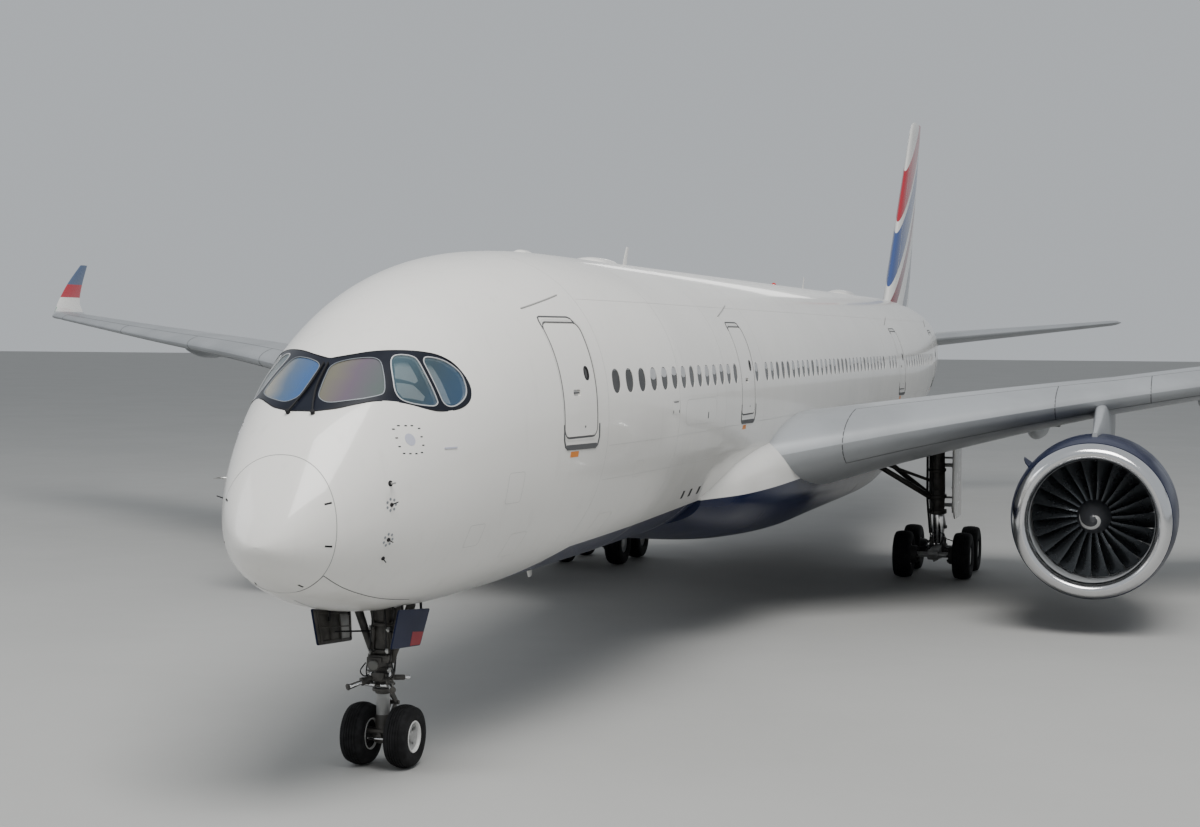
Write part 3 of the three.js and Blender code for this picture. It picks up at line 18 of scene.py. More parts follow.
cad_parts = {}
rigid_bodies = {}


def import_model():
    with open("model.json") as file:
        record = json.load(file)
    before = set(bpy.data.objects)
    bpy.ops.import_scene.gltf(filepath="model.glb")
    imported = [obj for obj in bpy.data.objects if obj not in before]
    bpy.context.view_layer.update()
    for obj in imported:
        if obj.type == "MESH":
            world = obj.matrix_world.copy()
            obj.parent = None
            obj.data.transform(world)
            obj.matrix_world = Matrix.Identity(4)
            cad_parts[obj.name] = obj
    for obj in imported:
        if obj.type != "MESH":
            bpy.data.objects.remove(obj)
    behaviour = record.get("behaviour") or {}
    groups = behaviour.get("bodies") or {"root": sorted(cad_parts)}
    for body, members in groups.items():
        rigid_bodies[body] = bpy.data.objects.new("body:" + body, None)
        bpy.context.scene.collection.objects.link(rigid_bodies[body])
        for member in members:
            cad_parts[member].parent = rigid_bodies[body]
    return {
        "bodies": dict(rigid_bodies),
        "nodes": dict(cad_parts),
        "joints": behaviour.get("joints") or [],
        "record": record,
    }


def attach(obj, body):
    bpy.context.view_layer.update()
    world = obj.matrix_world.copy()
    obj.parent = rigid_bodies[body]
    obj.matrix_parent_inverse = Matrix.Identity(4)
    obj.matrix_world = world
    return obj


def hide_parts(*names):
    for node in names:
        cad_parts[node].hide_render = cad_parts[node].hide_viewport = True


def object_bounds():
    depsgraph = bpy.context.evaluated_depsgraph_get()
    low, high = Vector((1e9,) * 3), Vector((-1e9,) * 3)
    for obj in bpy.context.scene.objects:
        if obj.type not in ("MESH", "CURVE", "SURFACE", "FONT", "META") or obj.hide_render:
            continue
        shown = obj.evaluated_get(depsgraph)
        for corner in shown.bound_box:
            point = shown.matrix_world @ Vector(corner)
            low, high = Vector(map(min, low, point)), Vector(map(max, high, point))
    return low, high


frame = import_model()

CAD_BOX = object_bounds()
LOG = logging.getLogger("airliner")

SCALE = 0.5
LENGTH = (CAD_BOX[1].y - CAD_BOX[0].y) / SCALE
MID_STATION = LENGTH / 2
MERGE = 2e-6
AIRFRAME = "airframe"

Piece = bpy.types.Object
Array = np.ndarray
Pairs = tuple[tuple[float, float], ...]
Triples = tuple[tuple[float, float, float], ...]
Rows = tuple[tuple[float, ...], ...]


class Side(Enum):
    """The two sides of the aircraft, with the sign of y there."""

    LEFT = 1
    RIGHT = -1

    @property
    def word(self) -> str:
        """The side's name as it stands in node and piece names."""
        return self.name.lower()


class Cut(Enum):
    """What one solid does to another."""

    TAKE = "DIFFERENCE"
    KEEP = "INTERSECT"
    ADD = "UNION"


def place(points: Sequence | Array) -> Array:
    """Points [s, y, z] in full-size metres as points of the model.

    Args:
        points: Any array whose last axis is s, y, z.

    Returns:
        The same array of points as x, y, z in the model's metres.
    """
    table = np.asarray(points, float)
    return np.stack([table[..., 1], table[..., 0] - MID_STATION, table[..., 2]], -1) * SCALE


def unit(vectors: Array) -> Array:
    """Vectors drawn to length one along the last axis."""
    return vectors / np.maximum(np.linalg.norm(vectors, axis=-1, keepdims=True), 1e-12)


def turns(count: int) -> Array:
    """Angles of a full turn in equal steps, in radians."""
    return np.arange(count) * math.tau / count


def fuller(wave: Array, power: Array | float) -> Array:
    """A sine or cosine bent so that it draws a superellipse of a power, 2 being an ellipse."""
    return np.sign(wave) * np.abs(wave) ** (2 / power)


def scaled(profile: Iterable[Sequence[float]]) -> list:
    """Pairs of full-size metres in the model's metres."""
    return [(d * SCALE, r * SCALE) for d, r in profile]


def through(table: Sequence[Sequence[float]], count: int, power: float = 1.0) -> Array:
    """A smooth run of rows through a short table, by a spline with flattened overshoot.

    Args:
        table: Rows of values; the first value of a row is where it stands.
        count: How many rows come back.
        power: Above 1 draws the rows together at the start.

    Returns:
        An array of rows, evenly spread over the first value where power is 1.
    """
    rows = np.asarray(table, float)
    where = rows[0, 0] + (rows[-1, 0] - rows[0, 0]) * np.linspace(0, 1, count) ** power
    return curve_at(rows, where)


def curve_at(rows: Array, where: Array) -> Array:
    """Rows of a table at given places of its first column, along a monotone cubic.

    Args:
        rows: The table, with its first column rising.
        where: The places.

    Returns:
        One row for each place, with the place first.
    """
    rows = np.asarray(rows, float)
    spans = np.diff(rows[:, 0])[:, None]
    slopes = np.diff(rows, axis=0) / spans
    inner = np.where(slopes[1:] * slopes[:-1] > 0,
                     2 * slopes[1:] * slopes[:-1] / (slopes[1:] + slopes[:-1] + 1e-12), 0)
    tangents = np.concatenate([slopes[:1], inner, slopes[-1:]])
    k = np.clip(np.searchsorted(rows[:, 0], where) - 1, 0, len(spans) - 1)
    t = ((where - rows[k, 0]) / spans[k, 0])[:, None]
    h = spans[k]
    out = ((1 + 2 * t) * (1 - t) ** 2 * rows[k] + t * (1 - t) ** 2 * h * tangents[k]
           + t ** 2 * (3 - 2 * t) * rows[k + 1] + t ** 2 * (t - 1) * h * tangents[k + 1])
    out[:, 0] = where
    return out


def arc(centre: tuple[float, float], radius: float, first: float, last: float, steps: int) -> list:
    """Points of an arc in a plane.

    Args:
        centre: The middle of the circle.
        radius: Its radius.
        first: Angle of the first point, in degrees.
        last: Angle of the last point, in degrees.
        steps: How many stretches lie between them.

    Returns:
        The points as pairs.
    """
    return [(centre[0] + radius * math.cos(math.radians(first + (last - first) * k / steps)),
             centre[1] + radius * math.sin(math.radians(first + (last - first) * k / steps)))
            for k in range(steps + 1)]


def rounded_box(width: float, height: float, corner: float, steps: int = 5) -> list:
    """Outline of an upright rectangle with round corners, about its middle.

    Args:
        width: Its size along the first direction.
        height: Its size along the second.
        corner: Radius of the corners.
        steps: Stretches in each corner.

    Returns:
        The outline's points as pairs, counter-clockwise.
    """
    across, up = width / 2 - corner, height / 2 - corner
    corners = [(across, up, 0), (-across, up, 90), (-across, -up, 180), (across, -up, 270)]
    return [p for x, y, start in corners for p in arc((x, y), corner, start, start + 90, steps)]


def oval(width: float, height: float, power: float = 2.3, steps: int = 32) -> Array:
    """A closed oval about the origin, fuller than an ellipse.

    Args:
        width: How wide it is.
        height: How high it is.
        power: 2 for an ellipse, more for a fuller shape.
        steps: Its corners.

    Returns:
        The corners as pairs.
    """
    angles = turns(steps)
    return np.column_stack([width / 2 * fuller(np.cos(angles), power),
                            height / 2 * fuller(np.sin(angles), power)])


def rounded_outline(outline: Sequence, radius: float, steps: int = 4) -> Array:
    """A closed outline of points in a plane with its corners rounded.

    Args:
        outline: The corners as pairs.
        radius: How far from a corner its rounding starts.
        steps: Stretches in each rounding.

    Returns:
        The outline's points.
    """
    points = np.asarray(outline, float)
    rounded = []
    for before, corner, after in zip(np.roll(points, 1, 0), points, np.roll(points, -1, 0)):
        back, on = before - corner, after - corner
        start = corner + back * min(0.48, radius / np.linalg.norm(back))
        end = corner + on * min(0.48, radius / np.linalg.norm(on))
        for t in np.linspace(0, 1, steps + 1):
            rounded.append((1 - t) ** 2 * start + 2 * t * (1 - t) * corner + t ** 2 * end)
    return np.array(rounded)


class Bench:
    """Hand work on meshes: adding primitives, shaping them in edit mode, joining and cutting."""

    @staticmethod
    def clear() -> None:
        """Leaves nothing selected."""
        bpy.ops.object.select_all(action="DESELECT")

    @staticmethod
    def pick(piece: Piece, *others: Piece) -> None:
        """Selects pieces, the first of them active.

        Args:
            piece: What becomes active.
            others: The rest.
        """
        Bench.clear()
        for thing in (piece, *others):
            thing.select_set(True)
        bpy.context.view_layer.objects.active = piece

    @staticmethod
    def newest(name: str) -> Piece:
        """The piece that was just added, under its name.

        Args:
            name: Its name.

        Returns:
            The piece.
        """
        piece = bpy.context.object
        piece.name = name
        piece.data.name = name
        return piece

    @staticmethod
    def edit(piece: Piece, *steps: Callable[[], object], whole: bool = True) -> None:
        """Runs edit mode steps on a piece.

        Args:
            piece: The piece.
            steps: Calls made in edit mode, in order.
            whole: Whether everything is selected first.
        """
        Bench.pick(piece)
        bpy.ops.object.mode_set(mode="EDIT")
        if whole:
            bpy.ops.mesh.select_all(action="SELECT")
        for step in steps:
            step()
        bpy.ops.object.mode_set(mode="OBJECT")

    @staticmethod
    def points(piece: Piece) -> Array:
        """A piece's vertices as an array.

        Args:
            piece: The piece.

        Returns:
            Its vertices, a row each.
        """
        flat = np.empty(len(piece.data.vertices) * 3)
        piece.data.vertices.foreach_get("co", flat)
        return flat.reshape(-1, 3)

    @staticmethod
    def move(piece: Piece, points: Array) -> None:
        """Gives a piece's vertices new places."""
        piece.data.vertices.foreach_set("co", np.ascontiguousarray(points, float).reshape(-1))
        piece.data.update()

    @staticmethod
    def close(piece: Piece, caps: bool) -> None:
        """Merges a piece's doubles, closes its ends and turns its faces out.

        Args:
            piece: The piece.
            caps: Whether its open ends are filled.
        """
        steps = [lambda: bpy.ops.mesh.remove_doubles(threshold=MERGE)]
        if caps:
            steps.append(lambda: bpy.ops.mesh.fill_holes(sides=0))
        steps.append(lambda: bpy.ops.mesh.normals_make_consistent(inside=False))
        Bench.edit(piece, *steps)

    @staticmethod
    def loft(name: str, rings: Array, caps: bool = True) -> Piece:
        """A skin through rings of points.

        Args:
            name: The piece's name.
            rings: Closed rings of points of the model; rings of one place close to a tip.
            caps: Whether open ends are filled.

        Returns:
            The piece.
        """
        table = np.asarray(rings, float)
        table = np.concatenate([table, table[:, :1]], axis=1)
        rows, columns = table.shape[:2]
        Bench.clear()
        bpy.ops.mesh.primitive_grid_add(x_subdivisions=columns - 1, y_subdivisions=rows - 1)
        piece = Bench.newest(name)
        Bench.move(piece, table)
        Bench.close(piece, caps)
        return piece

    @staticmethod
    def turn(name: str, profile: Sequence, centre: Sequence, axis: Sequence, steps: int) -> Piece:
        """A body of revolution, spun from a closed profile.

        Args:
            name: The piece's name.
            profile: Pairs of distance along the axis and radius, in the model's metres.
            centre: Where the axis starts.
            axis: Its direction.
            steps: Facets round it.

        Returns:
            The piece.
        """
        along = Vector(axis).normalized()
        out = along.orthogonal().normalized()
        Bench.clear()
        bpy.ops.mesh.primitive_circle_add(vertices=len(profile), radius=1)
        piece = Bench.newest(name)
        start = Vector(centre)
        Bench.move(piece, np.array([start + along * d + out * r for d, r in profile]))
        Bench.edit(
            piece,
            lambda: bpy.ops.mesh.spin(steps=steps, angle=math.tau, center=start, axis=along,
                                      use_auto_merge=True),
            lambda: bpy.ops.mesh.select_all(action="SELECT"),
            lambda: bpy.ops.mesh.remove_doubles(threshold=MERGE),
            lambda: bpy.ops.mesh.dissolve_degenerate(threshold=MERGE),
            lambda: bpy.ops.mesh.delete_loose(),
            lambda: bpy.ops.mesh.select_all(action="SELECT"),
            lambda: bpy.ops.mesh.normals_make_consistent(inside=False),
        )
        return piece

    @staticmethod
    def rod(name: str, start: Sequence, end: Sequence, radius: float, end_radius: float | None = None,
            sides: int = 20, bevel: float = 0.12) -> Piece:
        """A round rod or cone between two points, its end edges bevelled.

        Args:
            name: The piece's name.
            start: One end, a point of the model.
            end: The other.
            radius: Its radius there and, where end_radius isn't given, all along.
            end_radius: Its radius at the other end.
            sides: Facets round it.
            bevel: Width of the bevel as a share of the smaller radius.

        Returns:
            The piece.
        """
        first, last = Vector(start), Vector(end)
        line = last - first
        other = radius if end_radius is None else end_radius
        Bench.clear()
        bpy.ops.mesh.primitive_cone_add(vertices=sides, radius1=radius, radius2=other,
                                        depth=line.length, location=(0, 0, 0))
        piece = Bench.newest(name)
        if bevel:
            Bench.edit(
                piece,
                lambda: bpy.ops.mesh.select_mode(type="FACE"),
                lambda: bpy.ops.mesh.select_all(action="DESELECT"),
                lambda: bpy.ops.mesh.select_face_by_sides(number=4, type="GREATER"),
                lambda: bpy.ops.mesh.bevel(offset=bevel * min(radius, other), segments=2),
                lambda: bpy.ops.mesh.select_all(action="SELECT"),
                whole=False,
            )
        matrix = Matrix.Translation((first + last) / 2) @ line.to_track_quat("Z", "Y").to_matrix().to_4x4()
        piece.data.transform(matrix)
        return piece

    @staticmethod
    def block(name: str, low: Sequence, high: Sequence, bevel: float = 0.0) -> Piece:
        """A box between two corners with bevelled edges.

        Args:
            name: The piece's name.
            low: Its lowest corner in the model.
            high: Its highest.
            bevel: Width of the bevel.

        Returns:
            The piece.
        """
        Bench.clear()
        bpy.ops.mesh.primitive_cube_add(size=1)
        piece = Bench.newest(name)
        first, last = np.minimum(low, high), np.maximum(low, high)
        Bench.move(piece, (first + last) / 2 + Bench.points(piece) * (last - first))
        if bevel:
            Bench.edit(piece, lambda: bpy.ops.mesh.bevel(offset=bevel, segments=2, affect="EDGES"))
        return piece

    @staticmethod
    def sweep(name: str, path: Array, ups: Array, section: Sequence, looped: bool = False) -> Piece:
        """A band or bead of one section along a path.

        Args:
            name: The piece's name.
            path: Points of the model.
            ups: The section's upward direction at each of them.
            section: Pairs of distance across and up, counter-clockwise.
            looped: Whether the path closes on itself.

        Returns:
            The piece.
        """
        line = np.asarray(path, float)
        if looped:
            ahead = np.roll(line, -1, 0) - np.roll(line, 1, 0)
        else:
            ahead = np.gradient(line, axis=0)
        up = unit(np.asarray(ups, float))
        across = unit(np.cross(unit(ahead), up))
        shape = np.asarray(section, float)
        rings = (line[:, None] + across[:, None] * shape[None, :, :1] + up[:, None] * shape[None, :, 1:])
        if looped:
            rings = np.concatenate([rings, rings[:1]])
        return Bench.loft(name, rings, caps=not looped)

    @staticmethod
    def sheet(name: str, outline: Sequence, pitch: float) -> Piece:
        """A flat sheet inside an outline, sliced into a grid so that it can be bent.

        Args:
            name: The piece's name.
            outline: Its corners as pairs.
            pitch: Distance between the slices.

        Returns:
            The piece, in the plane of its first two coordinates.
        """
        points = np.asarray(outline, float)
        Bench.clear()
        bpy.ops.mesh.primitive_circle_add(vertices=len(points), fill_type="NGON")
        piece = Bench.newest(name)
        Bench.move(piece, np.column_stack([points, np.zeros(len(points))]))
        steps = []
        for axis in (0, 1):
            low, high = points[:, axis].min(), points[:, axis].max()
            count = max(1, int((high - low) / pitch))
            for k in range(1, count + 1):
                where = low + (high - low) * k / (count + 1)
                spot = (where, 0, 0) if axis == 0 else (0, where, 0)
                normal = (1, 0, 0) if axis == 0 else (0, 1, 0)
                steps.append(lambda: bpy.ops.mesh.select_all(action="SELECT"))
                steps.append(lambda spot=spot, normal=normal: bpy.ops.mesh.bisect(
                    plane_co=spot, plane_no=normal))
        Bench.edit(piece, *steps)
        return piece

    @staticmethod
    def carve(piece: Piece, cutter: Piece, cut: Cut = Cut.TAKE, keep: bool = False) -> Piece:
        """Cuts a piece with another.

        Args:
            piece: What is cut.
            cutter: What cuts it.
            cut: What it does.
            keep: Whether the cutter stays.

        Returns:
            The piece.
        """
        modifier = piece.modifiers.new("carve", "BOOLEAN")
        modifier.object = cutter
        modifier.operation = cut.value
        modifier.solver = "EXACT"
        Bench.pick(piece)
        bpy.ops.object.modifier_apply(modifier="carve")
        if not keep:
            Bench.scrap(cutter)
        return piece

    @staticmethod
    def scrap(*pieces: Piece) -> None:
        """Removes pieces that only served to cut."""
        for piece in pieces:
            bpy.data.objects.remove(piece, do_unlink=True)

    @staticmethod
    def join(name: str, pieces: Sequence[Piece]) -> Piece:
        """Several pieces as one mesh.

        Args:
            name: The mesh's name.
            pieces: What goes into it.

        Returns:
            The joined piece.
        """
        Bench.pick(*pieces)
        if len(pieces) > 1:
            bpy.ops.object.join()
        return Bench.newest(name)

    @staticmethod
    def copy(piece: Piece, name: str, change: Callable[[Array], Array] | None = None) -> Piece:
        """A copy of a piece with its own mesh.

        Args:
            piece: What is copied.
            name: The copy's name.
            change: What is done to its points.

        Returns:
            The copy.
        """
        twin = piece.copy()
        twin.data = piece.data.copy()
        bpy.context.collection.objects.link(twin)
        twin.name = name
        twin.data.name = name
        if change:
            Bench.move(twin, change(Bench.points(twin)))
        return twin

    @staticmethod
    def mirror(piece: Piece) -> Piece:
        """Moves a piece to the other side of the aircraft, its faces turned out again.

        Args:
            piece: The piece.

        Returns:
            The same piece.
        """
        Bench.move(piece, Bench.points(piece) * np.array([-1.0, 1.0, 1.0]))
        Bench.edit(piece, lambda: bpy.ops.mesh.flip_normals())
        return piece

    @staticmethod
    def smooth(piece: Piece, angle: float = 32) -> Piece:
        """Shades a piece smooth up to an angle in degrees between its faces.

        Args:
            piece: The piece.
            angle: The widest angle that is shaded smooth.

        Returns:
            The same piece.
        """
        Bench.pick(piece)
        bpy.ops.object.shade_smooth_by_angle(angle=math.radians(angle))
        return piece

    @staticmethod
    def slab(name: str, outline: Sequence, pitch: float, low: float, high: float) -> Piece:
        """A closed slab inside an outline, its third coordinate running from low to high.

        Args:
            name: The piece's name.
            outline: Its corners as pairs.
            pitch: Distance between the slices across it.
            low: Third coordinate of its underside.
            high: Third coordinate of its top.

        Returns:
            The piece.
        """
        piece = Bench.sheet(name, outline, pitch)
        thick = piece.modifiers.new("thick", "SOLIDIFY")
        thick.thickness = 1
        thick.offset = 1
        Bench.pick(piece)
        bpy.ops.object.modifier_apply(modifier="thick")
        points = Bench.points(piece)
        points[:, 2] = np.where(np.abs(points[:, 2]) > 0.5, high, low)
        Bench.move(piece, points)
        Bench.close(piece, False)
        return piece


class Term:
    """A shader socket that takes part in Python expressions."""

    def __init__(self, recipe: "Recipe", socket: bpy.types.NodeSocket) -> None:
        """Keeps the socket and the recipe that it belongs to."""
        self.recipe = recipe
        self.socket = socket

    def math(self, operation: str, *values: "Term | float") -> "Term":
        """A Math node of an operation on values, in their order."""
        node = self.recipe.node("ShaderNodeMath", {"operation": operation}, dict(enumerate(values)))
        return Term(self.recipe, node.outputs[0])

    def __add__(self, other: "Term | float") -> "Term":
        """The sum."""
        return self.math("ADD", self, other)

    __radd__ = __add__

    def __sub__(self, other: "Term | float") -> "Term":
        """The difference."""
        return self.math("SUBTRACT", self, other)

    def __rsub__(self, other: float) -> "Term":
        """The difference, with this term taken away."""
        return self.math("SUBTRACT", other, self)

    def __mul__(self, other: "Term | float") -> "Term":
        """The product."""
        return self.math("MULTIPLY", self, other)

    __rmul__ = __mul__

    def __truediv__(self, other: "Term | float") -> "Term":
        """The quotient."""
        return self.math("DIVIDE", self, other)

    def __rtruediv__(self, other: float) -> "Term":
        """The quotient, with this term below."""
        return self.math("DIVIDE", other, self)

    def __gt__(self, other: "Term | float") -> "Term":
        """1 where this term is the greater, else 0."""
        return self.math("GREATER_THAN", self, other)

    def __lt__(self, other: "Term | float") -> "Term":
        """1 where this term is the smaller, else 0."""
        return self.math("LESS_THAN", self, other)

    def __abs__(self) -> "Term":
        """The value without its sign."""
        return self.math("ABSOLUTE", self)

    def high(self, other: "Term | float") -> "Term":
        """The greater of two values."""
        return self.math("MAXIMUM", self, other)

    def low(self, other: "Term | float") -> "Term":
        """The smaller of two values."""
        return self.math("MINIMUM", self, other)

    def wave(self) -> "Term":
        """Its sine."""
        return self.math("SINE", self)

    def rise(self, start: float, end: float) -> "Term":
        """0 up to start and 1 from end, smooth between them.

        Args:
            start: Where it begins.
            end: Where it is complete.

        Returns:
            The smooth step.
        """
        node = self.recipe.node(
            "ShaderNodeMapRange", {"interpolation_type": "SMOOTHSTEP"},
            {0: self, 1: start, 2: end, 3: 0.0, 4: 1.0})
        return Term(self.recipe, node.outputs[0])


class Recipe:
    """The nodes of one material."""

    def __init__(self, name: str) -> None:
        """Starts an empty material.

        Args:
            name: The material's name.
        """
        self.material = bpy.data.materials.new(name)
        self.material.use_nodes = True
        self.tree = self.material.node_tree
        self.tree.nodes.clear()
        coordinates = self.node("ShaderNodeTexCoord")
        self.spot = Term(self, coordinates.outputs["Object"])
        parts = self.node("ShaderNodeSeparateXYZ", None, {0: self.spot})
        self.x, self.y, self.z = (Term(self, parts.outputs[k]) for k in range(3))

    def node(self, kind: str, settings: dict | None = None, inputs: dict | None = None) -> bpy.types.Node:
        """A new node with its settings and the values or links of its sockets.

        Args:
            kind: The node's type.
            settings: Its properties; stops are a ramp's pairs of place and colour.
            inputs: Values or terms by socket name or number.

        Returns:
            The node.
        """
        node = self.tree.nodes.new(kind)
        for key, value in (settings or {}).items():
            if key == "stops":
                ramp = node.color_ramp
                while len(ramp.elements) < len(value):
                    ramp.elements.new(0.5)
                for element, (where, colour) in zip(ramp.elements, value):
                    element.position = where
                    element.color = (*colour, 1.0)
            else:
                setattr(node, key, value)
        for key, value in (inputs or {}).items():
            if isinstance(value, Term):
                self.tree.links.new(value.socket, node.inputs[key])
            else:
                node.inputs[key].default_value = value
        return node

    def noise(self, scale: float, detail: float = 3.0, stretch: Sequence[float] = (1, 1, 1)) -> Term:
        """Noise from 0 to 1 over the piece, stretched along the axes.

        Args:
            scale: Its scale.
            detail: Its octaves.
            stretch: Scales along the axes.

        Returns:
            The noise.
        """
        mapped = self.node("ShaderNodeMapping", None, {0: self.spot, 3: tuple(stretch)})
        node = self.node("ShaderNodeTexNoise", None,
                         {"Vector": Term(self, mapped.outputs[0]), "Scale": scale, "Detail": detail})
        return Term(self, node.outputs[0])

    def mix(self, factor: Term | float, first: Term | Sequence, second: Term | Sequence) -> Term:
        """A colour between two, by a factor.

        Args:
            factor: What mixes them.
            first: The colour at 0.
            second: The colour at 1.

        Returns:
            The mixed colour.
        """
        colours = [c if isinstance(c, Term) else (*c[:3], 1.0) for c in (first, second)]
        node = self.node("ShaderNodeMix", {"data_type": "RGBA"}, {0: factor, 6: colours[0], 7: colours[1]})
        return Term(self, node.outputs[2])

    def shade(self, colour: Term, factor: Term) -> Term:
        """A colour multiplied by a number at each place.

        Args:
            colour: The colour.
            factor: The number.

        Returns:
            The shaded colour.
        """
        grey = self.node("ShaderNodeCombineXYZ", None, {0: factor, 1: factor, 2: factor})
        node = self.node("ShaderNodeVectorMath", {"operation": "MULTIPLY"},
                         {0: colour, 1: Term(self, grey.outputs[0])})
        return Term(self, node.outputs[0])

    def bump(self, height: Term, strength: float, distance: float) -> Term:
        """A normal bent by a height.

        Args:
            height: The height.
            strength: How strong it is.
            distance: Its depth in metres.

        Returns:
            The bent normal.
        """
        node = self.node("ShaderNodeBump", None, {"Height": height, "Strength": strength,
                                                  "Distance": distance})
        return Term(self, node.outputs[0])

    def done(self, settings: dict) -> bpy.types.Material:
        """Ends the recipe in one surface shader.

        Args:
            settings: The shader's inputs by name.

        Returns:
            The material.
        """
        surface = self.node("ShaderNodeBsdfPrincipled", None, settings)
        output = self.node("ShaderNodeOutputMaterial")
        self.tree.links.new(surface.outputs[0], output.inputs[0])
        return self.material


Colour = tuple[float, float, float]

WHITE = (0.79, 0.775, 0.74)
NAVY = (0.007, 0.012, 0.043)
RED = (0.42, 0.012, 0.028)
DEEP_RED = (0.19, 0.008, 0.02)
WING_GREY = (0.36, 0.375, 0.39)
SLATE = (0.07, 0.11, 0.2)
BLUE = (0.045, 0.085, 0.25)


@dataclass(frozen=True)
class Finish:
    """A paint, metal or rubber with the soiling and grain that it has in use."""

    name: str
    slot: str
    colour: Colour
    roughness: float = 0.4
    metallic: float = 0.0
    coat: float = 0.0
    mottle: float = 0.07
    mottle_scale: float = 1.3
    streak: float = 0.0
    grain: float = 0.0
    grain_scale: float = 260.0
    alpha: float = 1.0
    shine: float = 0.5
    coat_roughness: float = 0.04
    patch_edges: tuple[float, float] = (0.35, 0.65)
    run_scale: float = 9.0
    run_stretch: tuple[float, float, float] = (1.0, 1.0, 0.12)
    run_edges: tuple[float, float] = (0.55, 0.8)
    wear: tuple[float, float] = (0.82, 0.36)
    wear_scale: float = 6.0
    grain_depth: float = 0.0008

    def colours(self, recipe: Recipe) -> Term:
        """The clean colour at each place, mottled.

        Args:
            recipe: The material's recipe.

        Returns:
            The colour.
        """
        light = tuple(min(1.0, c * (1 + self.mottle / 2)) for c in self.colour)
        dark = tuple(c * (1 - self.mottle) for c in self.colour)
        return recipe.mix(recipe.noise(self.mottle_scale, 4.0).rise(*self.patch_edges), dark, light)

    def gloss(self, recipe: Recipe) -> Term | float:
        """The weight of the clear coat."""
        return self.coat

    def material(self) -> bpy.types.Material:
        """The material of this finish, made once.

        Returns:
            The material.
        """
        known = bpy.data.materials.get(self.name)
        if known:
            return known
        recipe = Recipe(self.name)
        colour = self.colours(recipe)
        if self.streak:
            runs = recipe.noise(self.run_scale, 5.0, self.run_stretch).rise(*self.run_edges)
            colour = recipe.shade(colour, 1 - self.streak * runs)
        wear = recipe.noise(self.mottle_scale * self.wear_scale, 4.0)
        settings = {
            "Base Color": colour,
            "Roughness": self.roughness * (self.wear[0] + self.wear[1] * wear),
            "Metallic": self.metallic,
            "Coat Weight": self.gloss(recipe),
            "Coat Roughness": self.coat_roughness,
            "Specular IOR Level": self.shine,
            "Alpha": self.alpha,
        }
        if self.grain:
            grain = recipe.noise(self.grain_scale, 3.0)
            settings["Normal"] = recipe.bump(grain, self.grain, self.grain_depth)
        return recipe.done(settings)

    def dress(self, *pieces: Piece) -> None:
        """Gives pieces this finish's material."""
        for piece in pieces:
            piece.data.materials.clear()
            piece.data.materials.append(self.material())


@dataclass(frozen=True)
class FuselagePaint(Finish):
    """Gloss white with a dark blue belly, its edge a line that climbs slowly aft."""

    belly: Colour = NAVY
    line_station: float = 8.7
    line_height: float = 3.23
    line_slope: float = 0.027
    line_dive: float = 0.33
    soft_edge: float = 0.006

    def gloss(self, recipe: Recipe) -> Term | float:
        """Less clear coat on the dark blue than on the white."""
        return self.coat * (0.1 + 0.9 * self.above(recipe))

    def colours(self, recipe: Recipe) -> Term:
        """White above the line and dark blue below it."""
        return recipe.mix(self.above(recipe), self.belly, Finish.colours(self, recipe))

    def above(self, recipe: Recipe) -> Term:
        """1 above the edge of the dark blue and 0 below it.

        Args:
            recipe: The material's recipe.

        Returns:
            The factor.
        """
        station = recipe.y / SCALE + MID_STATION
        height = recipe.z / SCALE
        ahead = station - self.line_station
        line = self.line_height + (self.line_slope * ahead).low(self.line_dive * ahead)
        return (height - line).rise(-self.soft_edge, self.soft_edge)


@dataclass(frozen=True)
class BandedPaint(Finish):
    """Paint in slanting bands of colour across an upright surface.

    A band starts where height + lean * station passes its edge, in full-size metres.
    """

    lean: float = 0.0
    bands: tuple[tuple[float, Colour], ...] = ()
    soft_edge: float = 0.01

    def colours(self, recipe: Recipe) -> Term:
        """The ground colour with each band laid over it.

        Args:
            recipe: The material's recipe.

        Returns:
            The colour.
        """
        station = recipe.y / SCALE + MID_STATION
        across = recipe.z / SCALE + self.lean * station
        colour = Finish.colours(self, recipe)
        for edge, paint in self.bands:
            step = across.rise(edge - self.soft_edge, edge + self.soft_edge)
            colour = recipe.mix(step, colour, paint)
        return colour


@dataclass(frozen=True)
class CoatedGlass(Finish):
    """Dark glazing with a painted sky reflection that turns from one tint to another across the pane."""

    far: Colour = (0.02, 0.05, 0.12)
    middle: Colour = (0.05, 0.06, 0.09)
    low: float = -1.0
    high: float = 1.0
    cloud: float = 0.3
    places: tuple[float, float, float] = (0.08, 0.5, 0.92)

    def colours(self, recipe: Recipe) -> Term:
        """A ramp of three painted reflection tints along x, softened by cloudy painted reflections.

        Args:
            recipe: The material's recipe.

        Returns:
            The colour.
        """
        share = (recipe.x / SCALE - self.low) / (self.high - self.low)
        cloudy = share + self.cloud * (recipe.noise(2.6, 2.0, (1, 1, 2.5)) - 0.5)
        # The stops are painted sky reflection tints, not a tint of the glass itself.
        stops = tuple(zip(self.places, (self.colour, self.middle, self.far)))
        ramp = recipe.node("ShaderNodeValToRGB", {"stops": stops}, {0: cloudy})
        return Term(recipe, ramp.outputs[0])


@dataclass(frozen=True)
class TyreRubber(Finish):
    """Rubber, greyer with dust in patches."""

    def colours(self, recipe: Recipe) -> Term:
        """Black with a dusty bloom in patches."""
        dust = recipe.noise(14.0, 5.0).rise(0.42, 0.72)
        return recipe.mix(dust, self.colour, tuple(c * 2.2 + 0.002 for c in self.colour))


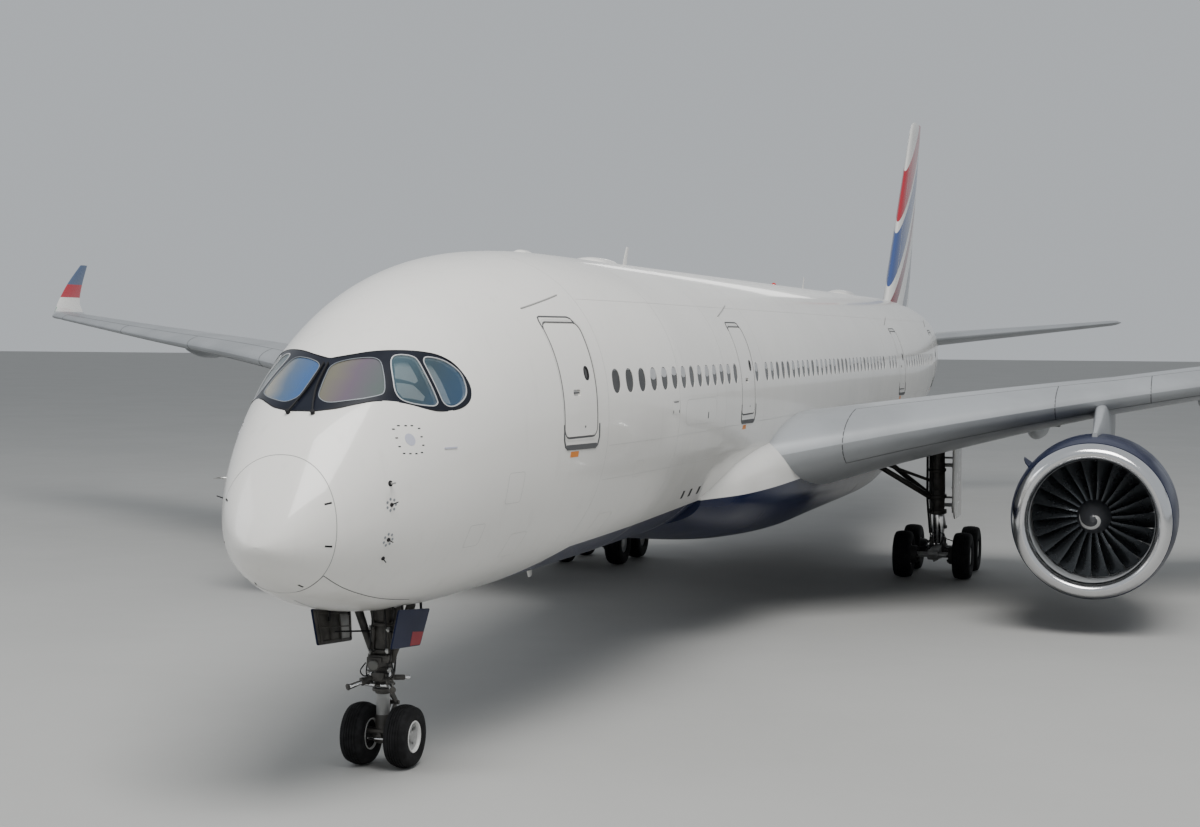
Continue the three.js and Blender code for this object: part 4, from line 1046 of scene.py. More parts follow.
@dataclass(frozen=True)
class SpinnerPaint(Finish):
    """A dark fan spinner with one pale comma that shows whether it turns."""

    centre: tuple[float, float, float] = (0.0, 0.0, 0.0)
    comma: Colour = (0.7, 0.7, 0.68)
    coil: float = 26.0
    width: float = 0.86
    reach: tuple[float, float] = (0.035, 0.17)

    def colours(self, recipe: Recipe) -> Term:
        """Dark, with a curl of white near the tip.

        Args:
            recipe: The material's recipe.

        Returns:
            The colour.
        """
        across = recipe.x - self.centre[0]
        up = recipe.z - self.centre[2]
        radius = up.math("SQRT", across * across + up * up)
        angle = up.math("ARCTAN2", up, across)
        curl = (angle + self.coil * radius).wave()
        mark = (curl > self.width) * (radius < self.reach[1]) * (radius > self.reach[0])
        return recipe.mix(mark, Finish.colours(self, recipe), self.comma)


class Shop:
    """Every finish on the aircraft."""

    fuselage = FuselagePaint("fuselage_gloss", "white_paint", WHITE, roughness=0.24, coat=0.5,
                             mottle=0.035, mottle_scale=0.5, streak=0.05, shine=0.3)
    white = Finish("white_gloss", "white_paint", WHITE, roughness=0.26, coat=0.5, mottle=0.04, streak=0.04)
    inlay = Finish("frame_white", "white_paint", (0.62, 0.61, 0.585), roughness=0.3, coat=0.3)
    navy = Finish("navy_gloss", "navy_paint", NAVY, roughness=0.3, coat=0.06, mottle=0.12, shine=0.12)
    wing = Finish("wing_satin", "wing_grey_paint", WING_GREY, roughness=0.36, metallic=0.25,
                  mottle=0.09, mottle_scale=0.9, streak=0.06)
    mask = Finish("mask_paint", "glazing", (0.0075, 0.0095, 0.017), roughness=0.3, coat=0.08, mottle=0.25,
                  mottle_scale=3.0, shine=0.22)
    rim_bright = Finish("pane_rim_bright", "gear_light", (0.62, 0.63, 0.64), roughness=0.32, metallic=0.5)
    rim_dull = Finish("pane_rim_dull", "gear_light", (0.24, 0.26, 0.28), roughness=0.4, metallic=0.4)
    seam = Finish("panel_gap", "gear_dark", (0.085, 0.087, 0.09), roughness=0.6)
    faint = Finish("panel_line", "white_paint", (0.46, 0.455, 0.44), roughness=0.45)
    ink = Finish("dark_trim", "gear_dark", (0.014, 0.014, 0.016), roughness=0.6, shine=0.2)
    gutter = Finish("gutter_grey", "gear_light", (0.3, 0.3, 0.29), roughness=0.5)
    orange = Finish("placard_orange", "white_paint", (0.75, 0.24, 0.03), roughness=0.4)
    # Windscreen and side pane colours are painted sky reflections, ramped across each pane.
    port_screen = CoatedGlass("port_windscreen", "glazing", (0.16, 0.15, 0.11), roughness=0.09, coat=1.0,
                              alpha=0.86, middle=(0.13, 0.10, 0.135), far=(0.10, 0.125, 0.12),
                              low=0.1, high=1.0)
    starboard_screen = CoatedGlass("starboard_windscreen", "glazing", (0.30, 0.28, 0.21), roughness=0.09,
                                   coat=1.0, alpha=0.86, middle=(0.05, 0.105, 0.2),
                                   far=(0.03, 0.10, 0.27), low=-1.0, high=-0.1)
    side_glass = CoatedGlass("side_pane", "glazing", (0.08, 0.15, 0.19), roughness=0.07, coat=1.0,
                             alpha=0.42, middle=(0.045, 0.09, 0.12), far=(0.03, 0.10, 0.2),
                             low=0.9, high=1.8)
    cabin_glass = Finish("cabin_pane", "glazing", (0.03, 0.0295, 0.029), roughness=0.2, coat=0.2,
                         mottle=0.4, mottle_scale=5.0, shine=0.3)
    sensor_plate = Finish("sensor_plate", "gear_light", (0.52, 0.53, 0.62), roughness=0.35, metallic=0.2)
    lining = Finish("flight_deck_lining", "white_paint", (0.8, 0.86, 0.84), roughness=0.5)
    shade = Finish("cabin_shade", "white_paint", (0.42, 0.43, 0.44), roughness=0.45)
    hold = Finish("hold_lining", "white_paint", (0.43, 0.45, 0.42), roughness=0.6, mottle=0.08,
                  mottle_scale=4.0)
    deck = Finish("flight_deck_trim", "gear_dark", (0.045, 0.05, 0.055), roughness=0.7)
    gear_dark = Finish("gear_dark_paint", "gear_dark", (0.072, 0.068, 0.062), roughness=0.5, metallic=0.3,
                       mottle=0.35, mottle_scale=9.0, streak=0.2, grain=0.15)
    gear_grey = Finish("gear_grey_paint", "gear_light", (0.33, 0.33, 0.32), roughness=0.42,
                       metallic=0.3, mottle=0.22, mottle_scale=8.0, streak=0.2, grain=0.1)
    chrome = Finish("oleo_chrome", "gear_light", (0.8, 0.8, 0.8), roughness=0.12, metallic=1.0, mottle=0.04)
    steel = Finish("fitting_steel", "gear_light", (0.46, 0.46, 0.45), roughness=0.3, metallic=0.9,
                   mottle=0.2, mottle_scale=12.0)
    hose = Finish("hose_rubber", "gear_dark", (0.018, 0.018, 0.019), roughness=0.7)
    wheel_white = Finish("wheel_white", "gear_light", (0.66, 0.66, 0.645), roughness=0.38, coat=0.2,
                         mottle=0.14, mottle_scale=10.0, streak=0.14)
    wheel_grey = Finish("wheel_grey", "gear_light", (0.3, 0.3, 0.295), roughness=0.42, mottle=0.2,
                        mottle_scale=10.0, streak=0.15)
    brake = Finish("brake_carbon", "gear_dark", (0.03, 0.029, 0.028), roughness=0.65, metallic=0.2,
                   grain=0.3)
    lamp = Finish("lamp_lens", "gear_light", (0.13, 0.13, 0.12), roughness=0.3, metallic=0.4, coat=0.3)
    tyre = TyreRubber("tyre_rubber", "tyre", (0.0055, 0.0055, 0.006), roughness=0.82, grain=0.35,
                      grain_scale=420.0, shine=0.25)
    exhaust = Finish("exhaust_metal", "exhaust_metal", (0.3, 0.265, 0.23), roughness=0.34, metallic=0.95,
                     mottle=0.25, mottle_scale=2.0)
    lip = Finish("inlet_lip_metal", "fan_metal", (0.76, 0.76, 0.77), roughness=0.16, metallic=1.0,
                 mottle=0.04)
    duct = Finish("inlet_duct", "wing_grey_paint", (0.3, 0.31, 0.32), roughness=0.5)
    blade = Finish("fan_blade_metal", "fan_metal", (0.11, 0.12, 0.13), roughness=0.28, metallic=0.85,
                   mottle=0.12)
    fin = BandedPaint("fin_bands", "white_paint", WHITE, roughness=0.26, coat=0.5, mottle=0.03,
                      lean=-0.62, bands=((-29.3, NAVY), (-28.0, WHITE), (-27.0, DEEP_RED),
                                         (-26.4, WHITE), (-26.0, BLUE), (-24.85, WHITE),
                                         (-24.6, RED), (-23.45, WHITE)))
    winglet = BandedPaint("winglet_bands", "white_paint", WING_GREY, roughness=0.28, coat=0.4,
                          mottle=0.05, lean=0.0, bands=((7.95, WHITE), (8.55, RED), (9.1, SLATE)))
    red = Finish("red_gloss", "navy_paint", (0.27, 0.008, 0.02), roughness=0.35, mottle=0.08, shine=0.3)
    floor = Finish("floor_pale", "", (0.37, 0.37, 0.36), roughness=0.75, mottle=0.03, mottle_scale=0.25)
    lamp_red = Finish("lamp_red", "white_paint", (0.5, 0.01, 0.01), roughness=0.12, coat=1.0)
    lamp_green = Finish("lamp_green", "white_paint", (0.01, 0.34, 0.1), roughness=0.12, coat=1.0)


def settle(piece: Piece, finish: Finish, body: str = AIRFRAME, nodes: Iterable[str] = (),
           smooth: float | None = 32) -> Piece:
    """Dresses a finished piece, puts it on its body and hides the frame's nodes that it stands for.

    Args:
        piece: The piece.
        finish: Its finish.
        body: The body that it moves with.
        nodes: The frame's nodes that it stands for.
        smooth: The angle for smooth shading, or None where the normals are set already.

    Returns:
        The piece.
    """
    if smooth is not None:
        Bench.smooth(piece, smooth)
    finish.dress(piece)
    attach(piece, body)
    if nodes:
        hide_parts(*nodes)
    LOG.info("%s on %s, %d faces", piece.name, body, len(piece.data.polygons))
    return piece


@dataclass
class Assembly:
    """A part of the aircraft whose pieces are built first and dressed after."""

    jobs: list[tuple] = field(default_factory=list, init=False, repr=False)

    def add(self, piece: Piece, finish: Finish, body: str = AIRFRAME, nodes: Iterable[str] = (),
            smooth: float | None = 32.0) -> Piece:
        """Notes how a piece that was built is to be dressed.

        Args:
            piece: The piece.
            finish: Its finish.
            body: The body that it moves with.
            nodes: The frame's nodes that it stands for.
            smooth: The angle for smooth shading, or None where the normals are set already.

        Returns:
            The piece.
        """
        self.jobs.append((piece, finish, body, tuple(nodes), smooth))
        return piece

    def build(self) -> None:
        """Makes every piece."""
        raise NotImplementedError

    def dress(self) -> None:
        """Gives every piece its finish and its body."""
        for job in self.jobs:
            settle(*job)


@dataclass
class MirroredAssembly(Assembly):
    """A part of the aircraft that is built to port and mirrored where it is the starboard one."""

    side: Side
    crease: float = 32.0

    def put(self, piece: Piece, finish: Finish, body: str = AIRFRAME, nodes: Iterable[str] = (),
            smooth: float | None = None) -> None:
        """Notes a piece that was built to port, on the side where it belongs.

        Args:
            piece: The piece.
            finish: Its finish.
            body: The body that it moves with.
            nodes: The frame's nodes that it stands for.
            smooth: The angle for smooth shading, where it isn't the assembly's own.
        """
        if self.side is Side.RIGHT:
            Bench.mirror(piece)
        self.add(piece, finish, body, nodes, smooth or self.crease)


@dataclass(frozen=True)
class Growth:
    """How a measure of the hull grows from the nose tip to its full size."""

    length: float
    fullness: float
    bluntness: float

    def share(self, stations: Array) -> Array:
        """The share of the full size at stations."""
        along = np.clip(stations / self.length, 0, 1)
        return (1 - (1 - along) ** self.fullness) ** self.bluntness


@dataclass(frozen=True)
class Taper:
    """How much of a measure is lost towards the tail."""

    start: float
    amount: float
    power: float

    def loss(self, stations: Array) -> Array:
        """What is lost at stations."""
        return self.amount * np.clip((stations - self.start) / (LENGTH - self.start), 0, 1) ** self.power


@dataclass(frozen=True)
class HullForm:
    """The fuselage skin: a superellipse at each station, fuller above its waist than below it."""

    tip: float = 4.056
    crown: float = 8.673
    keel: float = 2.583
    half_width: float = 2.98
    waist: float = 0.51
    powers: tuple[float, float] = (2.185, 2.103)
    top: Growth = Growth(11.36, 2.871, 0.789)
    bottom: Growth = Growth(6.161, 2.656, 0.581)
    side: Growth = Growth(12.359, 1.565, 0.484)
    top_taper: Taper = Taper(50, 1.1, 1.8)
    bottom_taper: Taper = Taper(44, 4.25, 1.55)
    side_taper: Taper = Taper(44, 2.62, 2)

    def section(self, s: Array) -> tuple[Array, Array, Array, Array]:
        """Top, bottom, half width and waist height at stations.

        Args:
            s: Stations.

        Returns:
            The four measures, a row each.
        """
        s = np.clip(s, 0, LENGTH)
        top = self.tip + (self.crown - self.tip) * self.top.share(s) - self.top_taper.loss(s)
        bottom = self.tip + (self.keel - self.tip) * self.bottom.share(s) + self.bottom_taper.loss(s)
        half = self.half_width * self.side.share(s) - self.side_taper.loss(s)
        return top, bottom, half, bottom + (top - bottom) * self.waist

    def part(self, s: Array, above: Array) -> tuple[Array, Array, Array, Array]:
        """Half width, waist, height and power on one side of the waist, at stations.

        Args:
            s: Stations.
            above: Whether it is the upper side.

        Returns:
            The four measures.
        """
        top, bottom, half, waist = self.section(s)
        height = np.where(above, top - waist, waist - bottom)
        return half, waist, height, np.where(above, *self.powers)

    def at(self, s: Array, angle: Array, lift: Array | float = 0.0) -> Array:
        """Points of the skin by station and angle, 0 to port and a quarter turn at the crown.

        Args:
            s: Stations.
            angle: Angles round the section, in radians.
            lift: How far out of the skin they lie.

        Returns:
            The points as s, y, z.
        """
        s, angle, lift = (a.astype(float) for a in np.broadcast_arrays(s, angle, lift))
        half, waist, height, power = self.part(s, np.sin(angle) >= 0)
        y = half * fuller(np.cos(angle), power)
        z = waist + height * fuller(np.sin(angle), power)
        return np.stack([s, y, z], -1) + lift[..., None] * self.normal(s, y, z)

    def beside(self, s: Array, z: Array, side: int, lift: Array | float = 0.0) -> Array:
        """Points of the skin by station and height on one side, as s, y, z.

        Args:
            s: Stations.
            z: Heights.
            side: 1 to port and -1 to starboard.
            lift: Distance outside the skin.

        Returns:
            The points.
        """
        s, z, lift = (a.astype(float) for a in np.broadcast_arrays(s, z, lift))
        half, waist, height, power = self.part(s, z >= self.section(s)[3])
        y = side * half * np.clip(1 - np.abs((z - waist) / height) ** power, 0, 1) ** (1 / power)
        return np.stack([s, y, z], -1) + lift[..., None] * self.normal(s, y, z)

    def angle_of(self, points: Array) -> Array:
        """The angles round the section at which points s, y, z stand.

        Args:
            points: The points.

        Returns:
            The angles.
        """
        s, y, z = np.moveaxis(np.asarray(points, float), -1, 0)
        half, waist, height, power = self.part(s, z >= self.section(s)[3])
        up = np.sign(z - waist) * np.abs((z - waist) / height) ** (power / 2)
        return np.arctan2(up, np.sign(y) * np.abs(y / half) ** (power / 2))

    def level(self, s: Array, y: Array, z: Array) -> Array:
        """1 on the skin, more outside it and less inside.

        Args:
            s: Stations.
            y: Distances to port.
            z: Heights.

        Returns:
            The level.
        """
        half, waist, height, power = self.part(s, z >= self.section(s)[3])
        return (np.abs(y / np.maximum(half, 1e-6)) ** power
                + np.abs((z - waist) / np.maximum(height, 1e-6)) ** power)

    def normal(self, s: Array, y: Array, z: Array) -> Array:
        """Outward normals of the skin at points, as s, y, z.

        Args:
            s: Stations.
            y: Distances to port.
            z: Heights.

        Returns:
            The normals.
        """
        e = 1e-4
        s = np.clip(s, 2e-3, LENGTH)
        return unit(np.stack([self.level(s + e, y, z) - self.level(s - e, y, z),
                              self.level(s, y + e, z) - self.level(s, y - e, z),
                              self.level(s, y, z + e) - self.level(s, y, z - e)], -1))

    def lie(self, piece: Piece, side: int = 0, girth: float = 1.6) -> Piece:
        """Bends a flat slab onto the skin.

        Args:
            piece: A slab whose coordinates are station, place round the hull and lift.
            side: Which side it lies on by height, or 0 where the second coordinate is an angle.
            girth: What the angle was multiplied with.

        Returns:
            The piece.
        """
        along, around, lift = Bench.points(piece).T
        if side:
            bent = self.beside(along, around, side, lift)
        else:
            bent = self.at(along, around / girth, lift)
        Bench.move(piece, place(bent))
        Bench.close(piece, False)
        return piece

    def polish(self, piece: Piece, angle: float = 32.0) -> Piece:
        """Gives the faces that lie along the skin the skin's own normals.

        Args:
            piece: The piece.
            angle: The angle for smooth shading of its other faces.

        Returns:
            The piece.
        """
        Bench.smooth(piece, angle)
        mesh = piece.data
        corners = np.empty(len(mesh.loops) * 3)
        mesh.corner_normals.foreach_get("vector", corners)
        corners = corners.reshape(-1, 3)
        spots = np.empty(len(mesh.loops), np.int32)
        mesh.loops.foreach_get("vertex_index", spots)
        faces = np.empty(len(mesh.polygons) * 3)
        mesh.polygons.foreach_get("normal", faces)
        sizes = np.empty(len(mesh.polygons), np.int32)
        mesh.polygons.foreach_get("loop_total", sizes)
        faces = np.repeat(faces.reshape(-1, 3), sizes, axis=0)
        x, y, z = Bench.points(piece)[spots].T / SCALE
        skin = self.normal(y + MID_STATION, x, z)[:, [1, 0, 2]]
        along = (np.sum(faces * skin, -1) > 0.94) & (np.abs(self.level(y + MID_STATION, x, z) - 1) < 0.06)
        corners[along] = skin[along]
        mesh.normals_split_custom_set(corners.tolist())
        return piece

    def band(self, name: str, points: Array, width: float, rise: float, looped: bool = True) -> Piece:
        """A flat band laid on the skin along a line.

        Args:
            name: The piece's name.
            points: Points of the line as s, y, z, on the skin.
            width: The band's width.
            rise: How far it stands out of the skin.
            looped: Whether the line closes on itself.

        Returns:
            The piece.
        """
        s, y, z = np.moveaxis(points, -1, 0)
        ups = self.normal(s, y, z)[..., [1, 0, 2]]
        half, low = width / 2 * SCALE, -rise * SCALE
        section = [(-half, low), (half, low), (half * 0.9, -low), (-half * 0.9, -low)]
        return Bench.sweep(name, place(points), ups, section, looped)


def dense(outline: Array, pitch: float, looped: bool = True) -> Array:
    """A line through the same corners with its long stretches divided.

    Args:
        outline: The corners.
        pitch: The longest stretch that is left.
        looped: Whether the line closes on itself.

    Returns:
        The line's points.
    """
    points = np.asarray(outline, float)
    ends = np.roll(points, -1, 0) if looped else points[1:]
    line = []
    for start, end in zip(points, ends):
        count = max(1, math.ceil(np.linalg.norm(end - start) / pitch))
        line.extend(start + (end - start) * k / count for k in range(count))
    if not looped:
        line.append(points[-1])
    return np.array(line)


@dataclass(frozen=True)
class Pane:
    """One flight deck window by the points [s, |y|, z] of its curved outline."""

    name: str
    points: tuple[tuple[float, float, float], ...]
    rim: float = 0.02

    def line(self, side: Side, steps: int = 4) -> Array:
        """The closed outline on one side of the nose."""
        return np.array(smooth_run(np.array(self.points) * [1, side.value, 1], steps, True))


PANES = (
    Pane("windscreen", ((1.68, 0.16, 6.15), (1.61, 0.27, 6.08), (1.62, 0.4, 6.06), (1.72, 0.58, 6.08),
                        (1.88, 0.78, 6.11), (2.07, 0.94, 6.15), (2.18, 0.99, 6.2), (2.3, 0.95, 6.33),
                        (2.45, 0.86, 6.51), (2.57, 0.76, 6.65), (2.58, 0.65, 6.71), (2.49, 0.47, 6.7),
                        (2.39, 0.29, 6.68), (2.3, 0.15, 6.63), (2.2, 0.09, 6.56), (2.03, 0.1, 6.44),
                        (1.86, 0.12, 6.3)), 0.014),
    Pane("forward_side", ((2.62, 0.91, 6.59), (2.74, 0.87, 6.7), (2.84, 0.9, 6.75), (2.95, 1.0, 6.75),
                          (3.03, 1.11, 6.72), (3.03, 1.19, 6.65), (2.98, 1.31, 6.49), (2.94, 1.44, 6.27),
                          (2.92, 1.53, 6.1), (2.9, 1.56, 6.02), (2.8, 1.53, 5.98), (2.6, 1.43, 6.0),
                          (2.42, 1.31, 6.04), (2.32, 1.2, 6.1), (2.33, 1.11, 6.21), (2.45, 1.02, 6.39))),
    Pane("aft_side", ((3.11, 1.24, 6.65), (3.18, 1.23, 6.71), (3.27, 1.28, 6.72), (3.42, 1.4, 6.68),
                      (3.54, 1.52, 6.6), (3.63, 1.64, 6.47), (3.63, 1.72, 6.31), (3.58, 1.77, 6.17),
                      (3.46, 1.76, 6.06), (3.27, 1.72, 5.98), (3.11, 1.67, 5.97), (3.02, 1.61, 6.03),
                      (3.01, 1.54, 6.16), (3.03, 1.42, 6.38), (3.07, 1.31, 6.56))),
)
MASK_EDGE = (
    (2.4, 0.0, 6.7), (2.42, 0.12, 6.72), (2.52, 0.33, 6.76), (2.66, 0.54, 6.8), (2.82, 0.75, 6.82),
    (3.02, 0.97, 6.82), (3.23, 1.17, 6.8), (3.42, 1.35, 6.75), (3.57, 1.52, 6.64), (3.68, 1.65, 6.48),
    (3.72, 1.75, 6.31), (3.69, 1.8, 6.16), (3.58, 1.81, 6.03), (3.36, 1.77, 5.94), (3.09, 1.68, 5.9),
    (2.84, 1.59, 5.91), (2.63, 1.47, 5.95), (2.45, 1.35, 6.01), (2.27, 1.2, 6.05), (2.1, 1.05, 6.07),
    (1.93, 0.9, 6.07), (1.76, 0.74, 6.03), (1.58, 0.54, 5.98), (1.49, 0.37, 5.95), (1.43, 0.19, 5.93),
    (1.42, 0.0, 5.93),
)


@dataclass
class Fuselage(Assembly):
    """The hull in its barrels, with the openings in it."""

    form: HullForm = HullForm()
    around: int = 160
    seam: float = 0.0006
    barrels: tuple = (
        ("radome", 0.0, 0.8, 26, 2.2), ("nose_section", 0.8, 8.1, 84, 1.25),
        ("forward_fuselage", 8.1, 19.5, 30, 1.1), ("centre_fuselage", 19.5, 38.0, 8, 1.0),
        ("aft_fuselage", 38.0, 54.0, 28, 1.0), ("tail_cone", 54.0, 66.8, 44, 1.0),
    )
    skin: float = 0.09
    deck: tuple[float, float, float, float] = (1.3, 4.3, 5.15, 7.6)
    bay: Triples = ((3.5, -0.6, 1.0), (5.35, 0.6, 3.35))
    outlet: tuple[float, float] = (0.24, 1.1)
    girth: float = 1.6
    radome_edge: tuple[float, float, float, float] = (0.8, 0.7, 0.017, 0.111)
    pieces: dict[str, Piece] = field(default_factory=dict, init=False, repr=False)

    def bend(self, s: Array, angle: Array) -> Array:
        """Stations near the radome's joint, which stands further forward at the sides.

        Args:
            s: Stations.
            angle: Angles round the section.

        Returns:
            The moved stations.
        """
        joint, reach, ahead, behind = self.radome_edge
        share = np.clip(1 - np.abs(s - joint) / reach, 0, 1)
        return s + share * (ahead - behind * np.cos(angle) ** 2)

    def barrel(self, name: str, first: float, last: float, rows: int, power: float) -> Piece:
        """One barrel of the hull, its stations drawn together at the front.

        Args:
            name: Its name.
            first: Its first station.
            last: Its last.
            rows: Number of sections.
            power: How closely they are drawn to the front.

        Returns:
            The barrel.
        """
        start = first + (self.seam / 2 if first else 0)
        end = last - (self.seam / 2 if last < LENGTH - 0.1 else 0)
        stations = start + (end - start) * np.linspace(0, 1, rows) ** power
        angles = turns(self.around)[None, :]
        return Bench.loft(name + "_skin", place(self.form.at(self.bend(stations[:, None], angles), angles)))

    def pane_outline(self, pane: Pane, side: int) -> Array:
        """A pane's outline as pairs of station and place round the hull."""
        line = pane.line(Side(side))
        return np.column_stack([line[:, 0], self.form.angle_of(line) * self.girth])

    def pane_slab(self, name: str, pane: Pane, side: int, low: float, high: float) -> Piece:
        """A slab of a pane's outline between two lifts from the skin."""
        slab = Bench.slab(name, self.pane_outline(pane, side), 0.09, low, high)
        return self.form.lie(slab, girth=self.girth)

    def deck_space(self) -> Piece:
        """The space of the flight deck, inside the skin and over its floor.

        Returns:
            A solid that fills the space.
        """
        front, back, floor, top = self.deck
        stations = np.linspace(front, back, 24)
        rings = self.form.at(stations[:, None], turns(96)[None, :], -self.skin)
        rings[..., 0] = stations[:, None]
        rings[..., 2] = np.clip(rings[..., 2], floor, top)
        room = self.form.beside(rings[..., 0], rings[..., 2], 1)[..., 1] - self.skin
        rings[..., 1] = np.clip(rings[..., 1], -np.maximum(room, 0.01), np.maximum(room, 0.01))
        return Bench.loft("deck_space", place(rings))

    def build(self) -> None:
        """Lofts the barrels and opens the flight deck, the gear bay and the outlet."""
        for name, *ends in self.barrels:
            self.pieces[name] = self.barrel(name, *ends)
        nose = self.pieces["nose_section"]
        Bench.carve(nose, self.deck_space())
        for pane in PANES:
            for side in Side:
                Bench.carve(nose, self.pane_slab("opening", pane, side.value, -0.2, 0.06))
        low, high = place(np.array(self.bay))
        Bench.carve(nose, Bench.block("bay", low, high))
        radius, depth = self.outlet
        top, bottom, *_ = self.form.section(np.array(LENGTH))
        middle = float(top + bottom) / 2
        ends = place([(LENGTH - depth, 0, middle), (LENGTH + depth, 0, middle)])
        Bench.carve(self.pieces["tail_cone"], Bench.rod("outlet", *ends, radius * SCALE, sides=40, bevel=0))

    def finish(self) -> None:
        """Notes the barrels as done, once every opening in them is cut."""
        for name, piece in self.pieces.items():
            self.form.polish(piece)
            self.add(piece, Shop.fuselage, nodes=(name,), smooth=None)

    def barrel_at(self, station: float) -> Piece:
        """The barrel that holds a station."""
        return self.pieces[next(name for name, start, end, *_ in self.barrels if start <= station < end)]


@dataclass
class FlightDeck(Assembly):
    """The windows of the flight deck, the dark paint round them and what shows behind them."""

    fuselage: Fuselage
    recess: tuple[float, float] = (-0.022, -0.009)
    linings: tuple = (
        ((2.82, 0.91, 6.73), (3.02, 1.07, 6.75), (2.92, 1.31, 6.44), (2.84, 1.29, 6.41), (2.62, 1.03, 6.5)),
        ((2.57, 1.07, 6.43), (2.79, 1.28, 6.38), (2.87, 1.46, 6.19), (2.8, 1.47, 6.12), (2.49, 1.24, 6.19),
         (2.48, 1.14, 6.3)),
        ((3.25, 1.28, 6.71), (3.34, 1.36, 6.68), (3.32, 1.66, 6.18), (3.33, 1.72, 6.04), (3.19, 1.66, 6.07),
         (3.16, 1.55, 6.27)),
    )
    paint: tuple[float, float] = (-0.004, 0.003)
    wiper: Triples = ((1.40, 0.2, 5.9), (1.58, 0.13, 6.08), (1.8, 0.07, 6.27), (2.03, 0.045, 6.45),
                      (2.27, 0.035, 6.63))
    shield: Pairs = ((1.72, -0.3), (2.05, -0.72), (2.4, -0.95), (2.4, 0.95), (2.05, 0.72), (1.72, 0.3))
    shield_levels: tuple[float, float] = (5.5, 5.88)
    console: Triples = ((2.2, -0.25, 5.2), (3.3, 0.25, 5.6))
    overhead: Triples = ((2.9, -0.35, 6.75), (3.7, 0.35, 6.85))
    seat_y: float = 0.62
    seat: tuple = (((2.95, -0.28, 5.55), (3.12, 0.28, 6.25)), ((2.97, -0.14, 6.27), (3.08, 0.14, 6.5)),
                   ((2.5, -0.26, 5.42), (3.0, 0.26, 5.56)))
    lining: tuple[float, float] = (-0.17, -0.155)

    def build(self) -> None:
        """Makes the mask, the panes with their rims, the wipers and the cabin inside."""
        form, girth = self.fuselage.form, self.fuselage.girth
        port = np.array(MASK_EDGE)
        edge = np.concatenate([port, port[-2:0:-1] * [1, -1, 1]])
        edge = np.array(smooth_run(edge, 4, True))
        angles = form.angle_of(edge)
        mask = Bench.slab("cockpit_mask", np.column_stack([edge[:, 0], angles * girth]), 0.07, *self.paint)
        form.lie(mask, girth=girth)
        for pane in PANES:
            for side in Side:
                Bench.carve(mask, self.fuselage.pane_slab("opening", pane, side.value, -0.1, 0.06))
        panes = [self.pane(pane, side) for pane in PANES for side in Side]
        self.add(form.polish(mask), Shop.mask, nodes=("cockpit_glazing",), smooth=None)
        self.add(form.band("mask_edge", edge, 0.02, 0.0042), Shop.ink)
        for piece, finish in panes:
            self.add(form.polish(piece), finish, smooth=None)
        self.rims()
        self.wipers()
        self.inside()

    def pane(self, pane: Pane, side: Side) -> tuple[Piece, Finish]:
        """One pane of glass with its painted reflection tints.

        Args:
            pane: Its outline.
            side: The side that it is on.

        Returns:
            The glass and its finish.
        """
        glass = self.fuselage.pane_slab(f"{pane.name}_glass_{side.word}", pane, side.value, *self.recess)
        if pane.name != "windscreen":
            return glass, Shop.side_glass
        return glass, Shop.port_screen if side is Side.LEFT else Shop.starboard_screen

    def rims(self) -> None:
        """Pale retaining frames round the panes."""
        form = self.fuselage.form
        for side in Side:
            for pane in PANES:
                line = pane.line(side, 6)
                onto = form.at(line[:, 0], form.angle_of(line))
                rim = form.band(f"{pane.name}_rim_{side.word}", onto, pane.rim, 0.006)
                self.add(rim, Shop.rim_dull if pane.name == "windscreen" else Shop.rim_bright)

    def wipers(self) -> None:
        """Two wiper arms parked upright beside the centre post, on pivots below the mask."""
        form = self.fuselage.form
        for side in Side:
            line = np.array(self.wiper) * [1, side.value, 1]
            angles = form.angle_of(line)
            arm = hose(form.at(line[:, 0], angles, 0.035), 0.016)
            blade = hose(form.at(line[1:, 0], angles[1:], 0.016), 0.014)
            foot = line[0], form.normal(*form.at(line[0, 0], angles[0]))
            pivot = bar(foot[0] - foot[1] * 0.05, foot[0] + foot[1] * 0.06, 0.034, sides=18)
            self.add(Bench.join(f"wiper_{side.word}", [arm, blade, pivot]), Shop.ink)

    def inside(self) -> None:
        """A glareshield, a console, an overhead panel, two seats and the pale lining."""
        cover = Bench.slab("glareshield", self.shield, 0.4, *self.shield_levels)
        Bench.move(cover, place(Bench.points(cover)))
        Bench.close(cover, False)
        parts = [cover, *(Bench.block("panel", *place(box), 0.01) for box in (self.console, self.overhead))]
        self.add(Bench.join("flight_deck_panels", parts), Shop.deck)
        seats = [Bench.block("seat", *place(np.array(box) + [0, side.value * self.seat_y, 0]), 0.02)
                 for side in Side for box in self.seat]
        self.add(Bench.join("flight_deck_seats", seats), Shop.shade)
        form, linings = self.fuselage.form, []
        for side in Side:
            for table in self.linings:
                table = np.array(table) * [1, side.value, 1]
                outline = np.column_stack([table[:, 0], form.angle_of(table) * self.fuselage.girth])
                linings.append(form.lie(Bench.slab("lining", outline, 0.1, *self.lining),
                                        girth=self.fuselage.girth))
        self.add(Bench.join("flight_deck_linings", linings), Shop.lining)


@dataclass(frozen=True)
class Doorway:
    """A rounded doorway in the side of the hull."""

    name: str
    front: float
    back: float
    sill: float
    head: float
    corner: float

    def outline(self, gap: float = 0.0) -> Array:
        """Its outline as pairs of station and height, smaller by a gap.

        Args:
            gap: How much smaller.

        Returns:
            The corners.
        """
        width, height = self.back - self.front, self.head - self.sill
        shape = np.array(rounded_box(width - 2 * gap, height - 2 * gap, self.corner - gap, 6))
        return shape + [(self.front + self.back) / 2, (self.sill + self.head) / 2]


